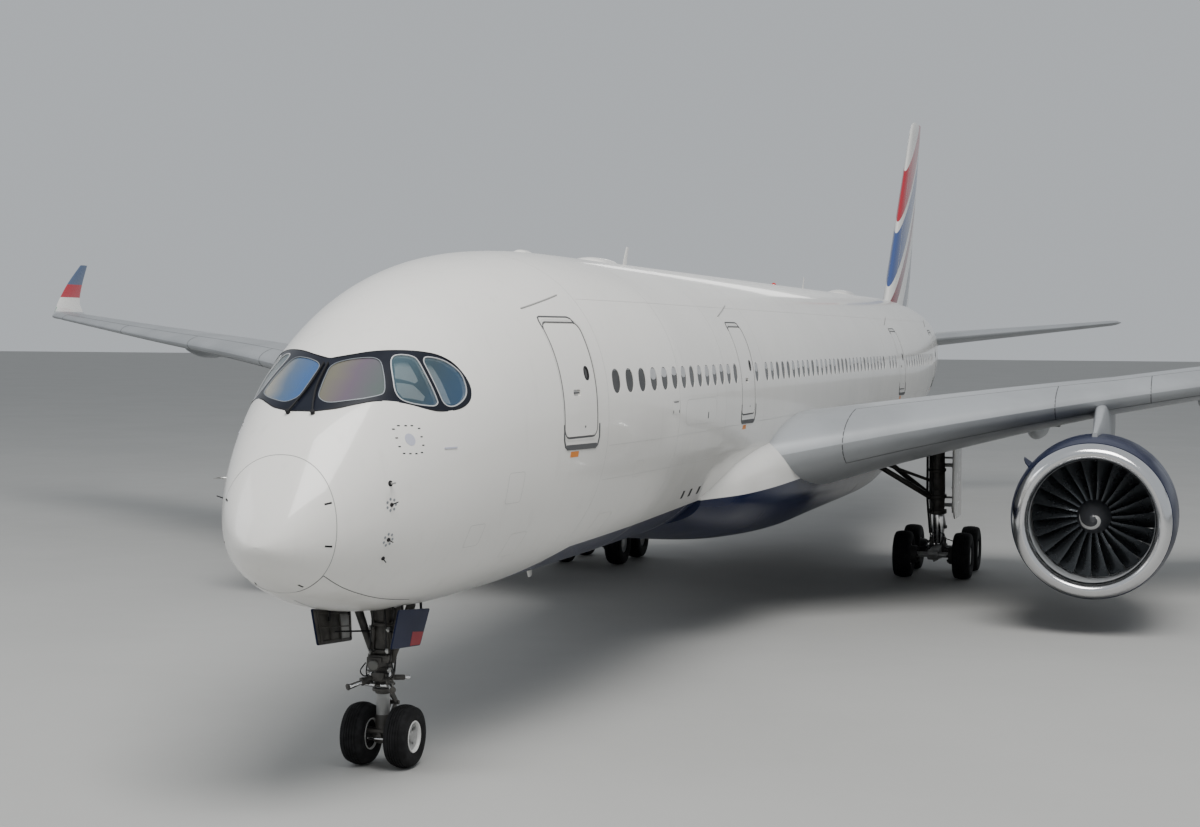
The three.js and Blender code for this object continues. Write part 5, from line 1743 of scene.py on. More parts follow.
@dataclass
class PassengerDoors(Assembly):
    """Plug doors in their doorways, with windows, handles, gutters and scuff plates."""

    fuselage: Fuselage
    fronts: tuple[float, ...] = (6.35, 17.2, 40.6, 51.6)
    width: float = 1.26
    sill: float = 5.33
    head: float = 7.29
    corner: float = 0.16
    depth: float = 0.12
    gap: float = 0.014
    hood: Pairs = ((-0.03, 7.18), (-0.02, 7.31), (0.01, 7.37), (0.065, 7.388), (0.99, 7.39), (1.09, 7.365),
                   (1.15, 7.28))
    step: Pairs = ((-0.045, 5.56), (-0.03, 5.3), (0.03, 5.18), (0.127, 5.135), (0.5, 5.13), (1.2, 5.12),
                   (1.31, 5.17), (1.355, 5.3), (1.34, 5.54))
    scuff: Pairs = ((0.1, 5.12), (1.22, 5.105), (1.31, 5.16), (1.25, 5.2), (0.07, 5.21), (0.04, 5.17))
    drip: Pairs = ((-0.284, 7.517), (1.228, 7.776))
    window: tuple[float, float] = (0.17, 0.22)
    window_at: tuple[float, float] = (0.96, 6.42)
    handle: tuple[float, float, float] = (0.26, 0.11, 0.03)
    grip: tuple[float, float, float] = (0.2, 0.03, 0.012)
    handle_at: tuple[float, float] = (0.5, 6.09)
    lock: tuple[float, float] = (0.05, 0.04)
    lock_at: tuple[float, float] = (0.776, 5.5)
    placard: tuple[float, float, float] = (0.32, 0.1, 0.01)
    placard_at: tuple[float, float] = (0.41, 5.04)

    def build(self) -> None:
        """Cuts the doorways and hangs the doors in them."""
        for number, front in enumerate(self.fronts, 1):
            for side in Side:
                self.door(number, front, side)

    def door(self, number: int, front: float, side: Side) -> None:
        """One door with its fittings.

        Args:
            number: Its number from the front.
            front: The station of its front edge.
            side: The side of the aircraft.
        """
        form = self.fuselage.form
        way = Doorway(f"{number}_{side.word}", front, front + self.width, self.sill, self.head, self.corner)

        def slab(name: str, outline: Sequence, low: float, high: float) -> Piece:
            """A slab that lies on this side of the hull."""
            return form.lie(Bench.slab(name, outline, 0.12, low, high), side.value)

        def at(outline: Sequence, spot: tuple[float, float]) -> Array:
            """An outline moved to its place on the door."""
            return np.array(outline) + [front + spot[0], spot[1]]

        def on_skin(outline: Array) -> Array:
            """An outline laid on the skin."""
            line = dense(outline, 0.08)
            return form.beside(line[:, 0], line[:, 1], side.value)

        Bench.carve(self.fuselage.barrel_at(front), slab("doorway", way.outline(), -self.depth, 0.05))
        leaf = slab("door_leaf_" + way.name, way.outline(self.gap), -0.1, -0.001)
        window = at(oval(*self.window), self.window_at)
        handle = at(rounded_box(*self.handle), self.handle_at)
        Bench.carve(leaf, slab("window_well", window, -0.03, 0.05))
        Bench.carve(leaf, slab("handle_well", handle, -0.03, 0.05))
        self.add(form.polish(leaf), Shop.fuselage, nodes=("passenger_door_" + way.name,), smooth=None)
        self.add(slab("door_glass_" + way.name, window, -0.02, -0.01), Shop.cabin_glass)
        self.add(form.band("door_window_ring_" + way.name, on_skin(window), 0.03, 0.003), Shop.ink)
        fittings = [slab("grip", at(rounded_box(*self.grip), self.handle_at), -0.03, -0.004),
                    slab("lock", at(oval(*self.lock), self.lock_at), -0.003, 0.002)]
        self.add(Bench.join("door_fittings_" + way.name, fittings), Shop.seam)
        lines = [(way.outline(-0.01), 0.026, 0.0015, True),
                 (self.hood, 0.026, 0.01, False), (self.step, 0.034, 0.012, False)]
        bands = []
        for table, width, rise, looped in lines:
            table = np.array(table) + ([0, 0] if looped else [front, 0])
            line = dense(table, 0.06, looped)
            bands.append(form.band("line", form.beside(line[:, 0], line[:, 1], side.value), width, rise,
                                   looped))
        self.add(Bench.join("door_frame_" + way.name, bands), Shop.seam)
        inner = way.outline(-0.05)
        self.add(form.band("door_margin_" + way.name, on_skin(inner), 0.03, 0.003), Shop.inlay)
        gutter = dense(np.array(self.drip) + [front, 0], 0.08, False)
        gutter_line = form.beside(gutter[:, 0], gutter[:, 1], side.value)
        self.add(form.band("door_gutter_" + way.name, gutter_line, 0.022, 0.014, False), Shop.gutter)
        scuff = np.array(self.scuff) + [front, 0]
        self.add(slab("door_scuff_plate_" + way.name, scuff, -0.003, 0.009), Shop.seam)
        placard = at(rounded_box(*self.placard), self.placard_at)
        self.add(slab("door_placard_" + way.name, placard, -0.003, 0.002), Shop.orange)


@dataclass
class CabinWindows(Assembly):
    """Rows of tall cabin windows, recessed, some with their shades half drawn."""

    fuselage: Fuselage
    centre: float = 6.262
    size: tuple[float, float] = (0.36, 0.44)
    pitch: float = 0.628
    runs: tuple[tuple[str, float, int], ...] = (
        ("forward_fuselage", 8.515, 14), ("centre_fuselage", 19.834, 29), ("aft_fuselage", 42.442, 14),
    )
    more: tuple[tuple[str, float, int], ...] = (("forward_fuselage", 18.78, 1), ("aft_fuselage", 38.67, 3))
    pocket: tuple[float, float] = (-0.016, 0.05)
    glass: tuple[float, float] = (-0.016, -0.009)
    shade: tuple[float, float] = (-0.01, -0.0065)
    margin: float = 0.03
    drawn: tuple[float, ...] = (0.02, 0.02, 0.02, 0.52, 0.44, 0.38, 0.5, 0.02, 0.42, 0.55, 0.47, 0.36, 0.5)

    def row(self, name: str, start: float, count: int, size: tuple[float, float], side: Side,
            lifts: tuple[float, float]) -> Piece:
        """A run of equal rounded slabs, modelled once and repeated by an array, not yet on the skin.

        Args:
            name: The row's name.
            start: Station of the first.
            count: How many.
            size: Their width and height.
            side: The side of the aircraft.
            lifts: Their underside and top.

        Returns:
            The row.
        """
        shape = oval(*size, steps=26) + [start, self.centre]
        slab = Bench.slab(f"{name}_{side.word}", shape, 0.11, *lifts)
        array = slab.modifiers.new("row", "ARRAY")
        array.count = count
        array.use_relative_offset = False
        array.use_constant_offset = True
        array.constant_offset_displace = (self.pitch, 0, 0)
        Bench.pick(slab)
        bpy.ops.object.modifier_apply(modifier="row")
        return slab

    def build(self) -> None:
        """Cuts the pockets and sets the panes, shades and frames."""
        form = self.fuselage.form
        frame = tuple(size - self.margin for size in self.size)
        for barrel, start, count in self.runs + self.more:
            name = f"{barrel}_{int(start)}"
            for side in Side:
                pocket = self.row("pockets", start, count, self.size, side, self.pocket)
                Bench.carve(self.fuselage.pieces[barrel], form.lie(pocket, side.value))
                glass = self.row("windows_" + name, start, count, self.size, side, self.glass)
                self.add(form.lie(glass, side.value), Shop.cabin_glass)
                shade = self.row("shades_" + name, start, count, frame, side, self.shade)
                self.draw(shade, start)
                self.add(form.lie(shade, side.value), Shop.shade)

    def draw(self, shades: Piece, start: float) -> None:
        """Pulls each shade of a row down to its own height.

        Args:
            shades: The row of shades.
            start: Its place in the order of heights.
        """
        points = Bench.points(shades)
        number = np.round((points[:, 0] - start) / self.pitch).astype(int) + int(start)
        share = np.array(self.drawn)[(number - 8) % len(self.drawn)]
        top = self.centre + self.size[1] / 2 - self.margin / 2
        points[:, 1] = top - (top - points[:, 1]) * share
        Bench.move(shades, points)


@dataclass(frozen=True)
class Foil:
    """A lifting surface by rows [span, leading edge s, trailing edge s, level, thickness, twist].

    Its span runs along y and its level is z, or the other way about where it stands upright.
    """

    rows: tuple
    camber: float = 0.0
    upright: bool = False
    edge: float = 0.022
    points: int = 26

    def rows_at(self, spans: Array) -> Array:
        """Rows at span positions: straight edges, the rest along smooth curves.

        Args:
            spans: Span positions.

        Returns:
            The rows.
        """
        table = np.asarray(self.rows, float)
        smooth = curve_at(table, spans)
        for column in (1, 2):
            smooth[:, column] = np.interp(spans, table[:, 0], table[:, column])
        return smooth

    def profile(self, x: Array, chord: Array, thickness: Array) -> tuple[Array, Array]:
        """Half thickness and height of the middle line at shares of the chord.

        Args:
            x: Shares of the chord.
            chord: The chord.
            thickness: Greatest thickness as a share of it.

        Returns:
            The half thickness and the height.
        """
        half = chord * 5 * thickness * (0.2969 * np.sqrt(x) - 0.126 * x - 0.3516 * x ** 2
                                        + 0.2843 * x ** 3 - 0.1036 * x ** 4) + x * self.edge / 2
        return half, chord * self.camber * 4 * x * (1 - x)

    def skin(self, spans: Array, x: Array, face: Array | float, lift: float = 0.0) -> Array:
        """Points on the surface.

        Args:
            spans: Span positions.
            x: Shares of the chord, as many.
            face: 1 on the upper or port face, -1 on the other.
            lift: How far outside they lie.

        Returns:
            The points as s, y, z.
        """
        spans, x, face = (a.astype(float) for a in np.broadcast_arrays(spans, x, face))
        span, leading, trailing, level, thickness, twist = self.rows_at(spans.reshape(-1)).T.reshape(
            6, *spans.shape)
        turn = np.radians(twist)
        chord = (trailing - leading) / np.cos(turn)
        half, middle = self.profile(x, chord, thickness)
        up = face * (half + lift) + middle
        s = leading + chord * x * np.cos(turn) + up * np.sin(turn)
        height = level - chord * x * np.sin(turn) + up * np.cos(turn)
        return np.stack([s, height, span] if self.upright else [s, span, height], -1)

    def shares(self) -> tuple[Array, Array]:
        """Shares of the chord round a section from the trailing edge over the top, with their faces."""
        x = (1 - np.cos(np.linspace(0, math.pi, self.points))) / 2
        return np.concatenate([x[::-1], x[1:]]), np.repeat([1.0, -1.0], [self.points, self.points - 1])

    def solid(self, name: str, spans: Sequence) -> Piece:
        """The closed body of the surface through span positions."""
        x, face = self.shares()
        return Bench.loft(name, place(self.skin(np.asarray(spans, float)[:, None], x[None, :], face)))

    def line(self, name: str, spans: Array, x: Array, face: int, width: float, rise: float = 0.002) -> Piece:
        """A thin band on the skin along span positions and shares of the chord.

        Args:
            name: Its name.
            spans: Span positions.
            x: Shares of the chord.
            face: 1 above and -1 below.
            width: Its width.
            rise: How far it stands out.

        Returns:
            The band.
        """
        inner = place(self.skin(spans, x, face))
        ups = unit(place(self.skin(spans, x, face, 0.01)) - inner)
        half, up = width / 2 * SCALE, rise * SCALE
        section = [(-half, -up), (half, -up), (half * 0.9, up), (-half * 0.9, up)]
        return Bench.sweep(name, inner, ups, section)


@dataclass(frozen=True)
class HingeLine:
    """A hinge of the frame with the round space about it.

    The ends are points of the model on the port side; the radii there are in full-size metres.
    """

    ends: tuple[tuple[float, float, float], tuple[float, float, float]]
    radii: tuple[float, float]
    up: float
    down: float
    upright: bool = False
    run: float = 0.013
    reach: float = 4.0
    steps: int = 20

    def frame(self) -> tuple[Array, Array, Array, Array]:
        """The first end and the directions along the hinge, aft across it and up from it.

        Returns:
            The end and the three directions.
        """
        start, end = (np.array(p) for p in self.ends)
        along = unit(end - start)
        aft = unit(np.array([0.0, 1.0, 0.0]) - along * along[1])
        up = np.cross(aft, along)
        wanted = np.array([1.0, 0, 0]) if self.upright else np.array([0, 0, 1.0])
        return start, along, aft, up if up @ wanted > 0 else -up

    def space(self, name: str, first: float, last: float, clearance: float, past: float) -> Piece:
        """The space about the hinge, round ahead of it between two angles and open aft.

        Args:
            name: The piece's name.
            first: Angle at which its round front starts, in degrees.
            last: Angle at which it ends.
            clearance: Added to the radii.
            past: How far the space goes past the hinge's ends.

        Returns:
            The space as a closed piece.
        """
        start, along, aft, up = self.frame()
        length = np.linalg.norm(np.array(self.ends[1]) - start) / SCALE
        angles = np.radians(np.linspace(first, last, self.steps + 1))
        rings = []
        for distance in (-past, length + past):
            share = distance / length
            radius = self.radii[0] + share * (self.radii[1] - self.radii[0]) + clearance
            rim = np.column_stack([radius * np.cos(angles), radius * np.sin(angles)])
            tail_over = rim[0] + self.reach * np.array([math.sin(angles[0]), -math.cos(angles[0])])
            tail_under = rim[-1] + self.reach * np.array([-math.sin(angles[-1]), math.cos(angles[-1])])
            flat = np.vstack([tail_over, rim, tail_under]) * SCALE
            rings.append(start + along * distance * SCALE + flat[:, :1] * aft + flat[:, 1:] * up)
        return Bench.loft(name, rings)

    def split(self, whole: Piece, name: str, fixed_up: float | None = None) -> Piece:
        """Cuts the hinged surface out of a whole, which keeps the rest.

        Args:
            whole: The body of the whole surface.
            name: The name of the part that moves.
            fixed_up: Angle that the opening is widened by above, where it isn't the hinge's own.

        Returns:
            The part that moves.
        """
        over = self.up if fixed_up is None else fixed_up
        moving = Bench.copy(whole, name)
        Bench.carve(moving, self.space("space", 90, 270, 0, -self.run), Cut.KEEP)
        Bench.carve(whole, self.space("space", 90 + over, 270 - self.down, self.run, 0))
        return moving


@dataclass(frozen=True)
class Track:
    """The sizes of a flap track's canoe and of the lug inside it."""

    ahead: float = 2.9
    behind: float = 0.75
    half_width: float = 0.24
    below: float = 0.26
    seated: float = 0.06
    least: float = 0.08
    ahead_of_edge: float = 0.35
    rows: Pairs = ((0, 0.03), (0.03, 0.28), (0.08, 0.5), (0.3, 0.95), (0.5, 1.0), (0.7, 1), (0.9, 0.55),
                   (1, 0.04))
    lug: float = 0.035
    slot: float = 0.11
    eye: float = 0.09
    pin: float = 0.035
    eye_room: float = 1.6
    slot_depth: float = 1.0
    lug_root: float = 0.3


WING_FOIL = Foil((
    (2.0, 20.07, 35.5, 4.0, 0.145, 3.2), (6, 22.98, 35.1, 4.78, 0.13, 2.6),
    (10.5, 26.25, 34.75, 5.52, 0.118, 1.6), (16.9, 30.9, 37.49, 6.38, 0.11, 0.6),
    (23.5, 35.7, 40.31, 7.02, 0.104, -0.2), (30.5, 40.79, 43.3, 7.75, 0.1, -1.0),
), camber=0.014)


@dataclass
class Wing(MirroredAssembly):
    """A wing with its flaps, aileron, track canoes and curved tip."""

    foil: Foil = WING_FOIL
    root: float = 2.2
    tip: float = 30.5
    tip_seam: float = 0.0006
    aileron: HingeLine = HingeLine(((12, 2.98188, 3.56608), (14.75, 4.37091, 3.85317)),
                                   (0.13435, 0.08539), 25, 25)
    flaps: tuple = (
        ("inboard", HingeLine(((1.975, 0.2425, 1.66766), (5.075, -0.02139, 2.43023)),
                              (0.77723, 0.70596), 0, 35), (8.2,)),
        ("outboard", HingeLine(((5.5, 0.03203, 2.51745), (11.725, 2.94432, 3.35621)),
                               (0.69742, 0.51243), 0, 35), (12.9, 17.3, 21.6)),
    )
    track: Track = Track()
    tip_rows: Rows = (
        (0.0, 40.79, 30.5, 7.75, 2.51, 6), (0.25, 41.9, 31.12, 7.98, 1.98, 22),
        (0.5, 42.9, 31.6, 8.42, 1.5, 46), (0.78, 44.3, 32.05, 9.2, 1.02, 62),
        (1.0, 45.62, 32.34, 9.94, 0.5, 68),
    )
    tip_thickness: float = 0.1
    slats: tuple[float, ...] = (4.4, 9.2, 11.5, 15.8, 20.2, 24.9, 29.6)
    slat_shares: tuple[float, float] = (0.135, 0.045)
    spoilers: tuple[float, ...] = (4.2, 7.1, 10.2, 11.2, 13.6, 16.2, 18.8, 21.2, 23.4)
    least_spoiler: float = 1.5
    spoiler_shares: Pairs = ((0.62, 0.77), (0.58, 0.73))
    kink: float = 10.0
    jack: tuple[float, float, float] = (29.2, 9.0, 0.09)

    def build(self) -> None:
        """Builds the port wing, mirrored where it is the starboard one."""
        spans = np.concatenate([np.linspace(self.root, 10.5, 22), np.linspace(10.9, self.tip, 46)])
        wing = self.foil.solid("wing_skin_" + self.side.word, spans)
        canoes = {}
        for _, hinge, tracks in self.flaps:
            for y in tracks:
                canoes[y] = self.canoe(hinge, y)
        for name, hinge, tracks in self.flaps:
            self.flap(wing, canoes, name, hinge, tracks)
        aileron = self.aileron.split(wing, "aileron_skin_" + self.side.word)
        word = self.side.word
        body = Bench.join("wing_skin_" + word, [wing, *canoes.values()])
        self.put(body, Shop.wing, nodes=("wing_" + word,), smooth=28)
        self.put(aileron, Shop.wing, "aileron_" + word, ("aileron_" + word,), smooth=28)
        self.put(self.wingtip(), Shop.winglet, nodes=("wingtip_" + word,), smooth=40)
        self.lines()
        self.lamp()
        self.jack_pad()

    def hinge_point(self, hinge: HingeLine, y: float) -> tuple[float, float, float]:
        """Station, height and radius of a hinge at a span position.

        Args:
            hinge: The hinge line.
            y: The span position.

        Returns:
            The three measures.
        """
        start, end = (np.array(p) / SCALE for p in hinge.ends)
        share = (y - start[0]) / (end[0] - start[0])
        spot = start + share * (end - start)
        return spot[1] + MID_STATION, spot[2], hinge.radii[0] + share * (hinge.radii[1] - hinge.radii[0])

    def under(self, y: float, stations: Array) -> Array:
        """Height of the wing's underside at a span position and stations.

        Args:
            y: The span position.
            stations: Stations.

        Returns:
            The heights.
        """
        x = np.linspace(0, 1, 200)
        skin = self.foil.skin(np.full(200, y), x, -1.0)
        return np.interp(stations, skin[:, 0], skin[:, 2])

    def canoe(self, hinge: HingeLine, y: float) -> Piece:
        """The fairing over a flap track.

        Args:
            hinge: The hinge line.
            y: The span position.

        Returns:
            The fairing.
        """
        s, z, _ = self.hinge_point(hinge, y)
        trailing = float(self.foil.rows_at(np.array([y]))[0, 2])
        length = trailing + self.track.behind - (s - self.track.ahead)
        rows = through(self.track.rows, 36)
        stations = s - self.track.ahead + rows[:, 0] * length
        roof = self.under(y, np.minimum(stations, trailing - self.track.ahead_of_edge)) + self.track.seated
        low = np.minimum(roof - self.track.least, roof + rows[:, 1] * (z - self.track.below - roof))
        low[0], low[-1] = roof[0] - 0.02, roof[-1] - 0.02
        angles = turns(28)
        half, middle = self.track.half_width * rows[:, 1:2], ((roof + low) / 2)[:, None]
        across = y + half * np.cos(angles)
        up = middle + ((roof - low) / 2)[:, None] * np.sin(angles)
        along = np.broadcast_to(stations[:, None], across.shape)
        return Bench.loft("canoe", place(np.stack([along, across, up], -1)))

    def flap(self, wing: Piece, canoes: dict, name: str, hinge: HingeLine, tracks: Sequence) -> None:
        """Cuts a flap with the ends of its canoes out of the wing, and hangs it on lugs.

        Args:
            wing: The wing.
            canoes: Its track fairings.
            name: The flap's name.
            hinge: The hinge line.
            tracks: Span positions of its tracks.
        """
        word = self.side.word
        parts = [hinge.split(wing, f"flap_{name}_skin_{word}")]
        for y in tracks:
            tail = hinge.split(canoes[y], "canoe_tail")
            s, z, radius = self.hinge_point(hinge, y)
            t = self.track
            room = t.eye * t.eye_room
            slot = place([(s - t.ahead, y - t.slot, z - t.slot_depth), (s + room, y + t.slot, z + room)])
            Bench.carve(parts[0], Bench.block("slot", *slot))
            Bench.carve(tail, Bench.block("slot", *slot))
            parts.append(tail)
            lug = place([(s - radius - t.lug_root, y - t.lug, z - t.eye), (s + t.eye, y + t.lug, z + t.eye)])
            canoes[f"lug_{y}"] = Bench.block("lug", *lug, 0.004)
            pin = place([(s, y - t.slot - 0.03, z), (s, y + t.slot + 0.03, z)])
            parts.append(Bench.rod("pin", *pin, t.pin * SCALE))
        node = f"flap_{name}_{word}"
        self.put(Bench.join(f"flap_{name}_skin_{word}", parts), Shop.wing, node, (node,), smooth=28)

    def tip_points(self, shares: Array, x: Array, face: Array, lift: float = 0.0) -> Array:
        """Points on the curved tip.

        Args:
            shares: Shares of the way to the tip.
            x: Shares of the chord.
            face: 1 above and -1 below.
            lift: Distance outside the skin.

        Returns:
            The points.
        """
        rows = curve_at(np.array(self.tip_rows), shares.reshape(-1))
        _, s, y, z, chord, cant = rows.T.reshape(6, *shares.shape)
        foil = Foil((), camber=self.foil.camber / 2)
        half, middle = foil.profile(x, chord, np.full_like(chord, self.tip_thickness))
        up = face * (half + lift) + middle
        cant = np.radians(cant)
        return np.stack([s + chord * x, y - up * np.sin(cant), z + up * np.cos(cant)], -1)

    def wingtip(self) -> Piece:
        """The curved tip, from the end of the wing to its swept point.

        Returns:
            The tip.
        """
        x, face = self.foil.shares()
        shares = np.linspace(0, 1, 44)[:, None]
        x, face, shares = np.broadcast_arrays(x[None, :], face[None, :], shares)
        points = self.tip_points(shares, x, face)
        points[0, :, 1] = self.tip + self.tip_seam
        points[1:, :, 1] = np.maximum(points[1:, :, 1], self.tip + self.tip_seam)
        return Bench.loft("wingtip_skin_" + self.side.word, place(points))

    def lines(self) -> None:
        """Thin gaps round the slats and spoilers, and the ends of the slats."""
        foil, parts = self.foil, []
        spans = np.linspace(self.slats[0], self.slats[-1], 60)
        faces = tuple(zip((1, -1), self.slat_shares))
        for face, share in faces:
            parts.append(foil.line("slat_line", spans, np.full(60, share), face, 0.03))
        x = np.linspace(0, 1, 9)
        for y in self.slats:
            for face, share in faces:
                parts.append(foil.line("slat_end", np.full(9, y), share * x ** 2 + 1e-4, face, 0.026))
        for first, last in zip(self.spoilers, self.spoilers[1:]):
            if last - first < self.least_spoiler:
                continue
            inner, outer = self.spoiler_shares[0 if first < self.kink else 1]
            for share in (inner, outer):
                band = foil.line("spoiler", np.linspace(first, last, 8), np.full(8, share), 1, 0.018)
                parts.append(band)
            for y in (first, last):
                parts.append(foil.line("spoiler", np.full(4, y), np.linspace(inner, outer, 4), 1, 0.018))
        self.put(Bench.join("wing_gaps_" + self.side.word, parts), Shop.seam)

    def jack_pad(self) -> None:
        """The round foot for a jack under the wing."""
        s, y, radius = self.jack
        z = float(self.under(y, np.array(s)))
        pad = bar((s, y, z - 0.06), (s, y, z + 0.06), radius)
        pad.name = "wing_jack_pad_" + self.side.word
        self.put(pad, Shop.steel)

    def lamp(self) -> None:
        """The side light in the front of the curved tip: red to port, green to starboard."""
        parts = []
        shares = np.linspace(0.16, 0.34, 12)
        for face in (1.0, -1.0):
            for x in (0.004, 0.016, 0.03):
                points = self.tip_points(shares, np.full(12, x), np.full(12, face), 0.004)
                parts.append(points)
        order = [parts[k] for k in (2, 1, 0, 3, 4, 5)]
        skin = Bench.loft("side_light_" + self.side.word, place(np.stack(order, 1)))
        self.put(skin, Shop.lamp_red if self.side is Side.LEFT else Shop.lamp_green)


@dataclass
class Tail(Assembly):
    """Fin with its rudder and both stabilisers with their elevators."""

    fin: Foil = Foil(((7.5, 55.4, 62.3, 0, 0.1, 0), (9.65, 57.2, 63.09, 0, 0.1, 0),
                      (16.55, 62.972, 65.85, 0, 0.09, 0), (16.85, 63.36, 65.97, 0, 0.075, 0),
                      (16.98, 63.75, 66.02, 0, 0.05, 0), (17.05, 64.2, 65.98, 0, 0.015, 0)), upright=True)
    stabiliser: Foil = Foil(((0.5, 56.3, 63.0, 6.9, 0.1, 0), (1.4, 57, 62.9, 7.0, 0.1, 0),
                             (8.95, 62.72, 65.188, 7.791, 0.09, 0), (9.2, 63.05, 65.26, 7.82, 0.07, 0),
                             (9.32, 63.6, 65.2, 7.83, 0.02, 0)))
    rudder_hinge: HingeLine = HingeLine(((0, 13.89357, 4.75), (0, 15.75009, 8.275)), (0.19459, 0.0937),
                                        30, 30, upright=True)
    elevator_hinge: HingeLine = HingeLine(((1.25, 14.13367, 3.55764), (4.45, 15.50027, 3.89299)),
                                          (0.16616, 0.07852), 30, 15)
    fin_root: float = 7.95
    stabiliser_root: float = 1.0

    def build(self) -> None:
        """Builds the fin and the stabilisers with round tips."""
        fin = self.fin.solid("fin_skin", np.concatenate([np.linspace(self.fin_root, 9.65, 8),
                                                         np.linspace(9.9, 16.55, 26),
                                                         np.linspace(16.6, 17.05, 8)]))
        rudder = self.rudder_hinge.split(fin, "rudder_skin")
        self.add(fin, Shop.fin, nodes=("fin",), smooth=28)
        self.add(rudder, Shop.fin, "rudder", ("rudder",), smooth=28)
        lines = [self.fin.line("edge", np.linspace(9.0, 16.9, 20), np.full(20, 0.09), face, 0.02)
                 for face in (1, -1)]
        self.add(Bench.join("fin_gaps", lines), Shop.faint)
        for side in Side:
            self.half(side)

    def half(self, side: Side) -> None:
        """One stabiliser with its elevator.

        Args:
            side: The side of the aircraft.
        """
        word = side.word
        spans = np.concatenate([np.linspace(self.stabiliser_root, 8.95, 30), np.linspace(9.0, 9.32, 6)])
        body = self.stabiliser.solid("stabiliser_skin_" + word, spans)
        moving = self.elevator_hinge.split(body, "elevator_skin_" + word)
        if side is Side.RIGHT:
            Bench.mirror(body)
            Bench.mirror(moving)
        self.add(body, Shop.wing, nodes=("stabiliser_" + word,), smooth=28)
        self.add(moving, Shop.wing, "elevator_" + word, ("elevator_" + word,), smooth=28)


def smooth_run(points: Sequence, steps: int, looped: bool = False) -> list:
    """A line through points, rounded between them by a Catmull-Rom spline.

    Args:
        points: The points as pairs or triples.
        steps: Stretches between two points.
        looped: Whether the line closes on itself.

    Returns:
        The finer line.
    """
    table = np.asarray(points, float)
    if looped:
        table = np.vstack([table[-1], table, table[:2]])
    else:
        table = np.vstack([2 * table[0] - table[1], table, 2 * table[-1] - table[-2]])
    line = []
    for a, b, c, d in zip(table, table[1:], table[2:], table[3:]):
        for t in np.arange(steps) / steps:
            line.append(0.5 * (2 * b + (c - a) * t + (2 * a - 5 * b + 4 * c - d) * t ** 2
                               + (3 * b - a - 3 * c + d) * t ** 3))
    if not looped:
        line.append(table[-2])
    return [tuple(p) for p in line]


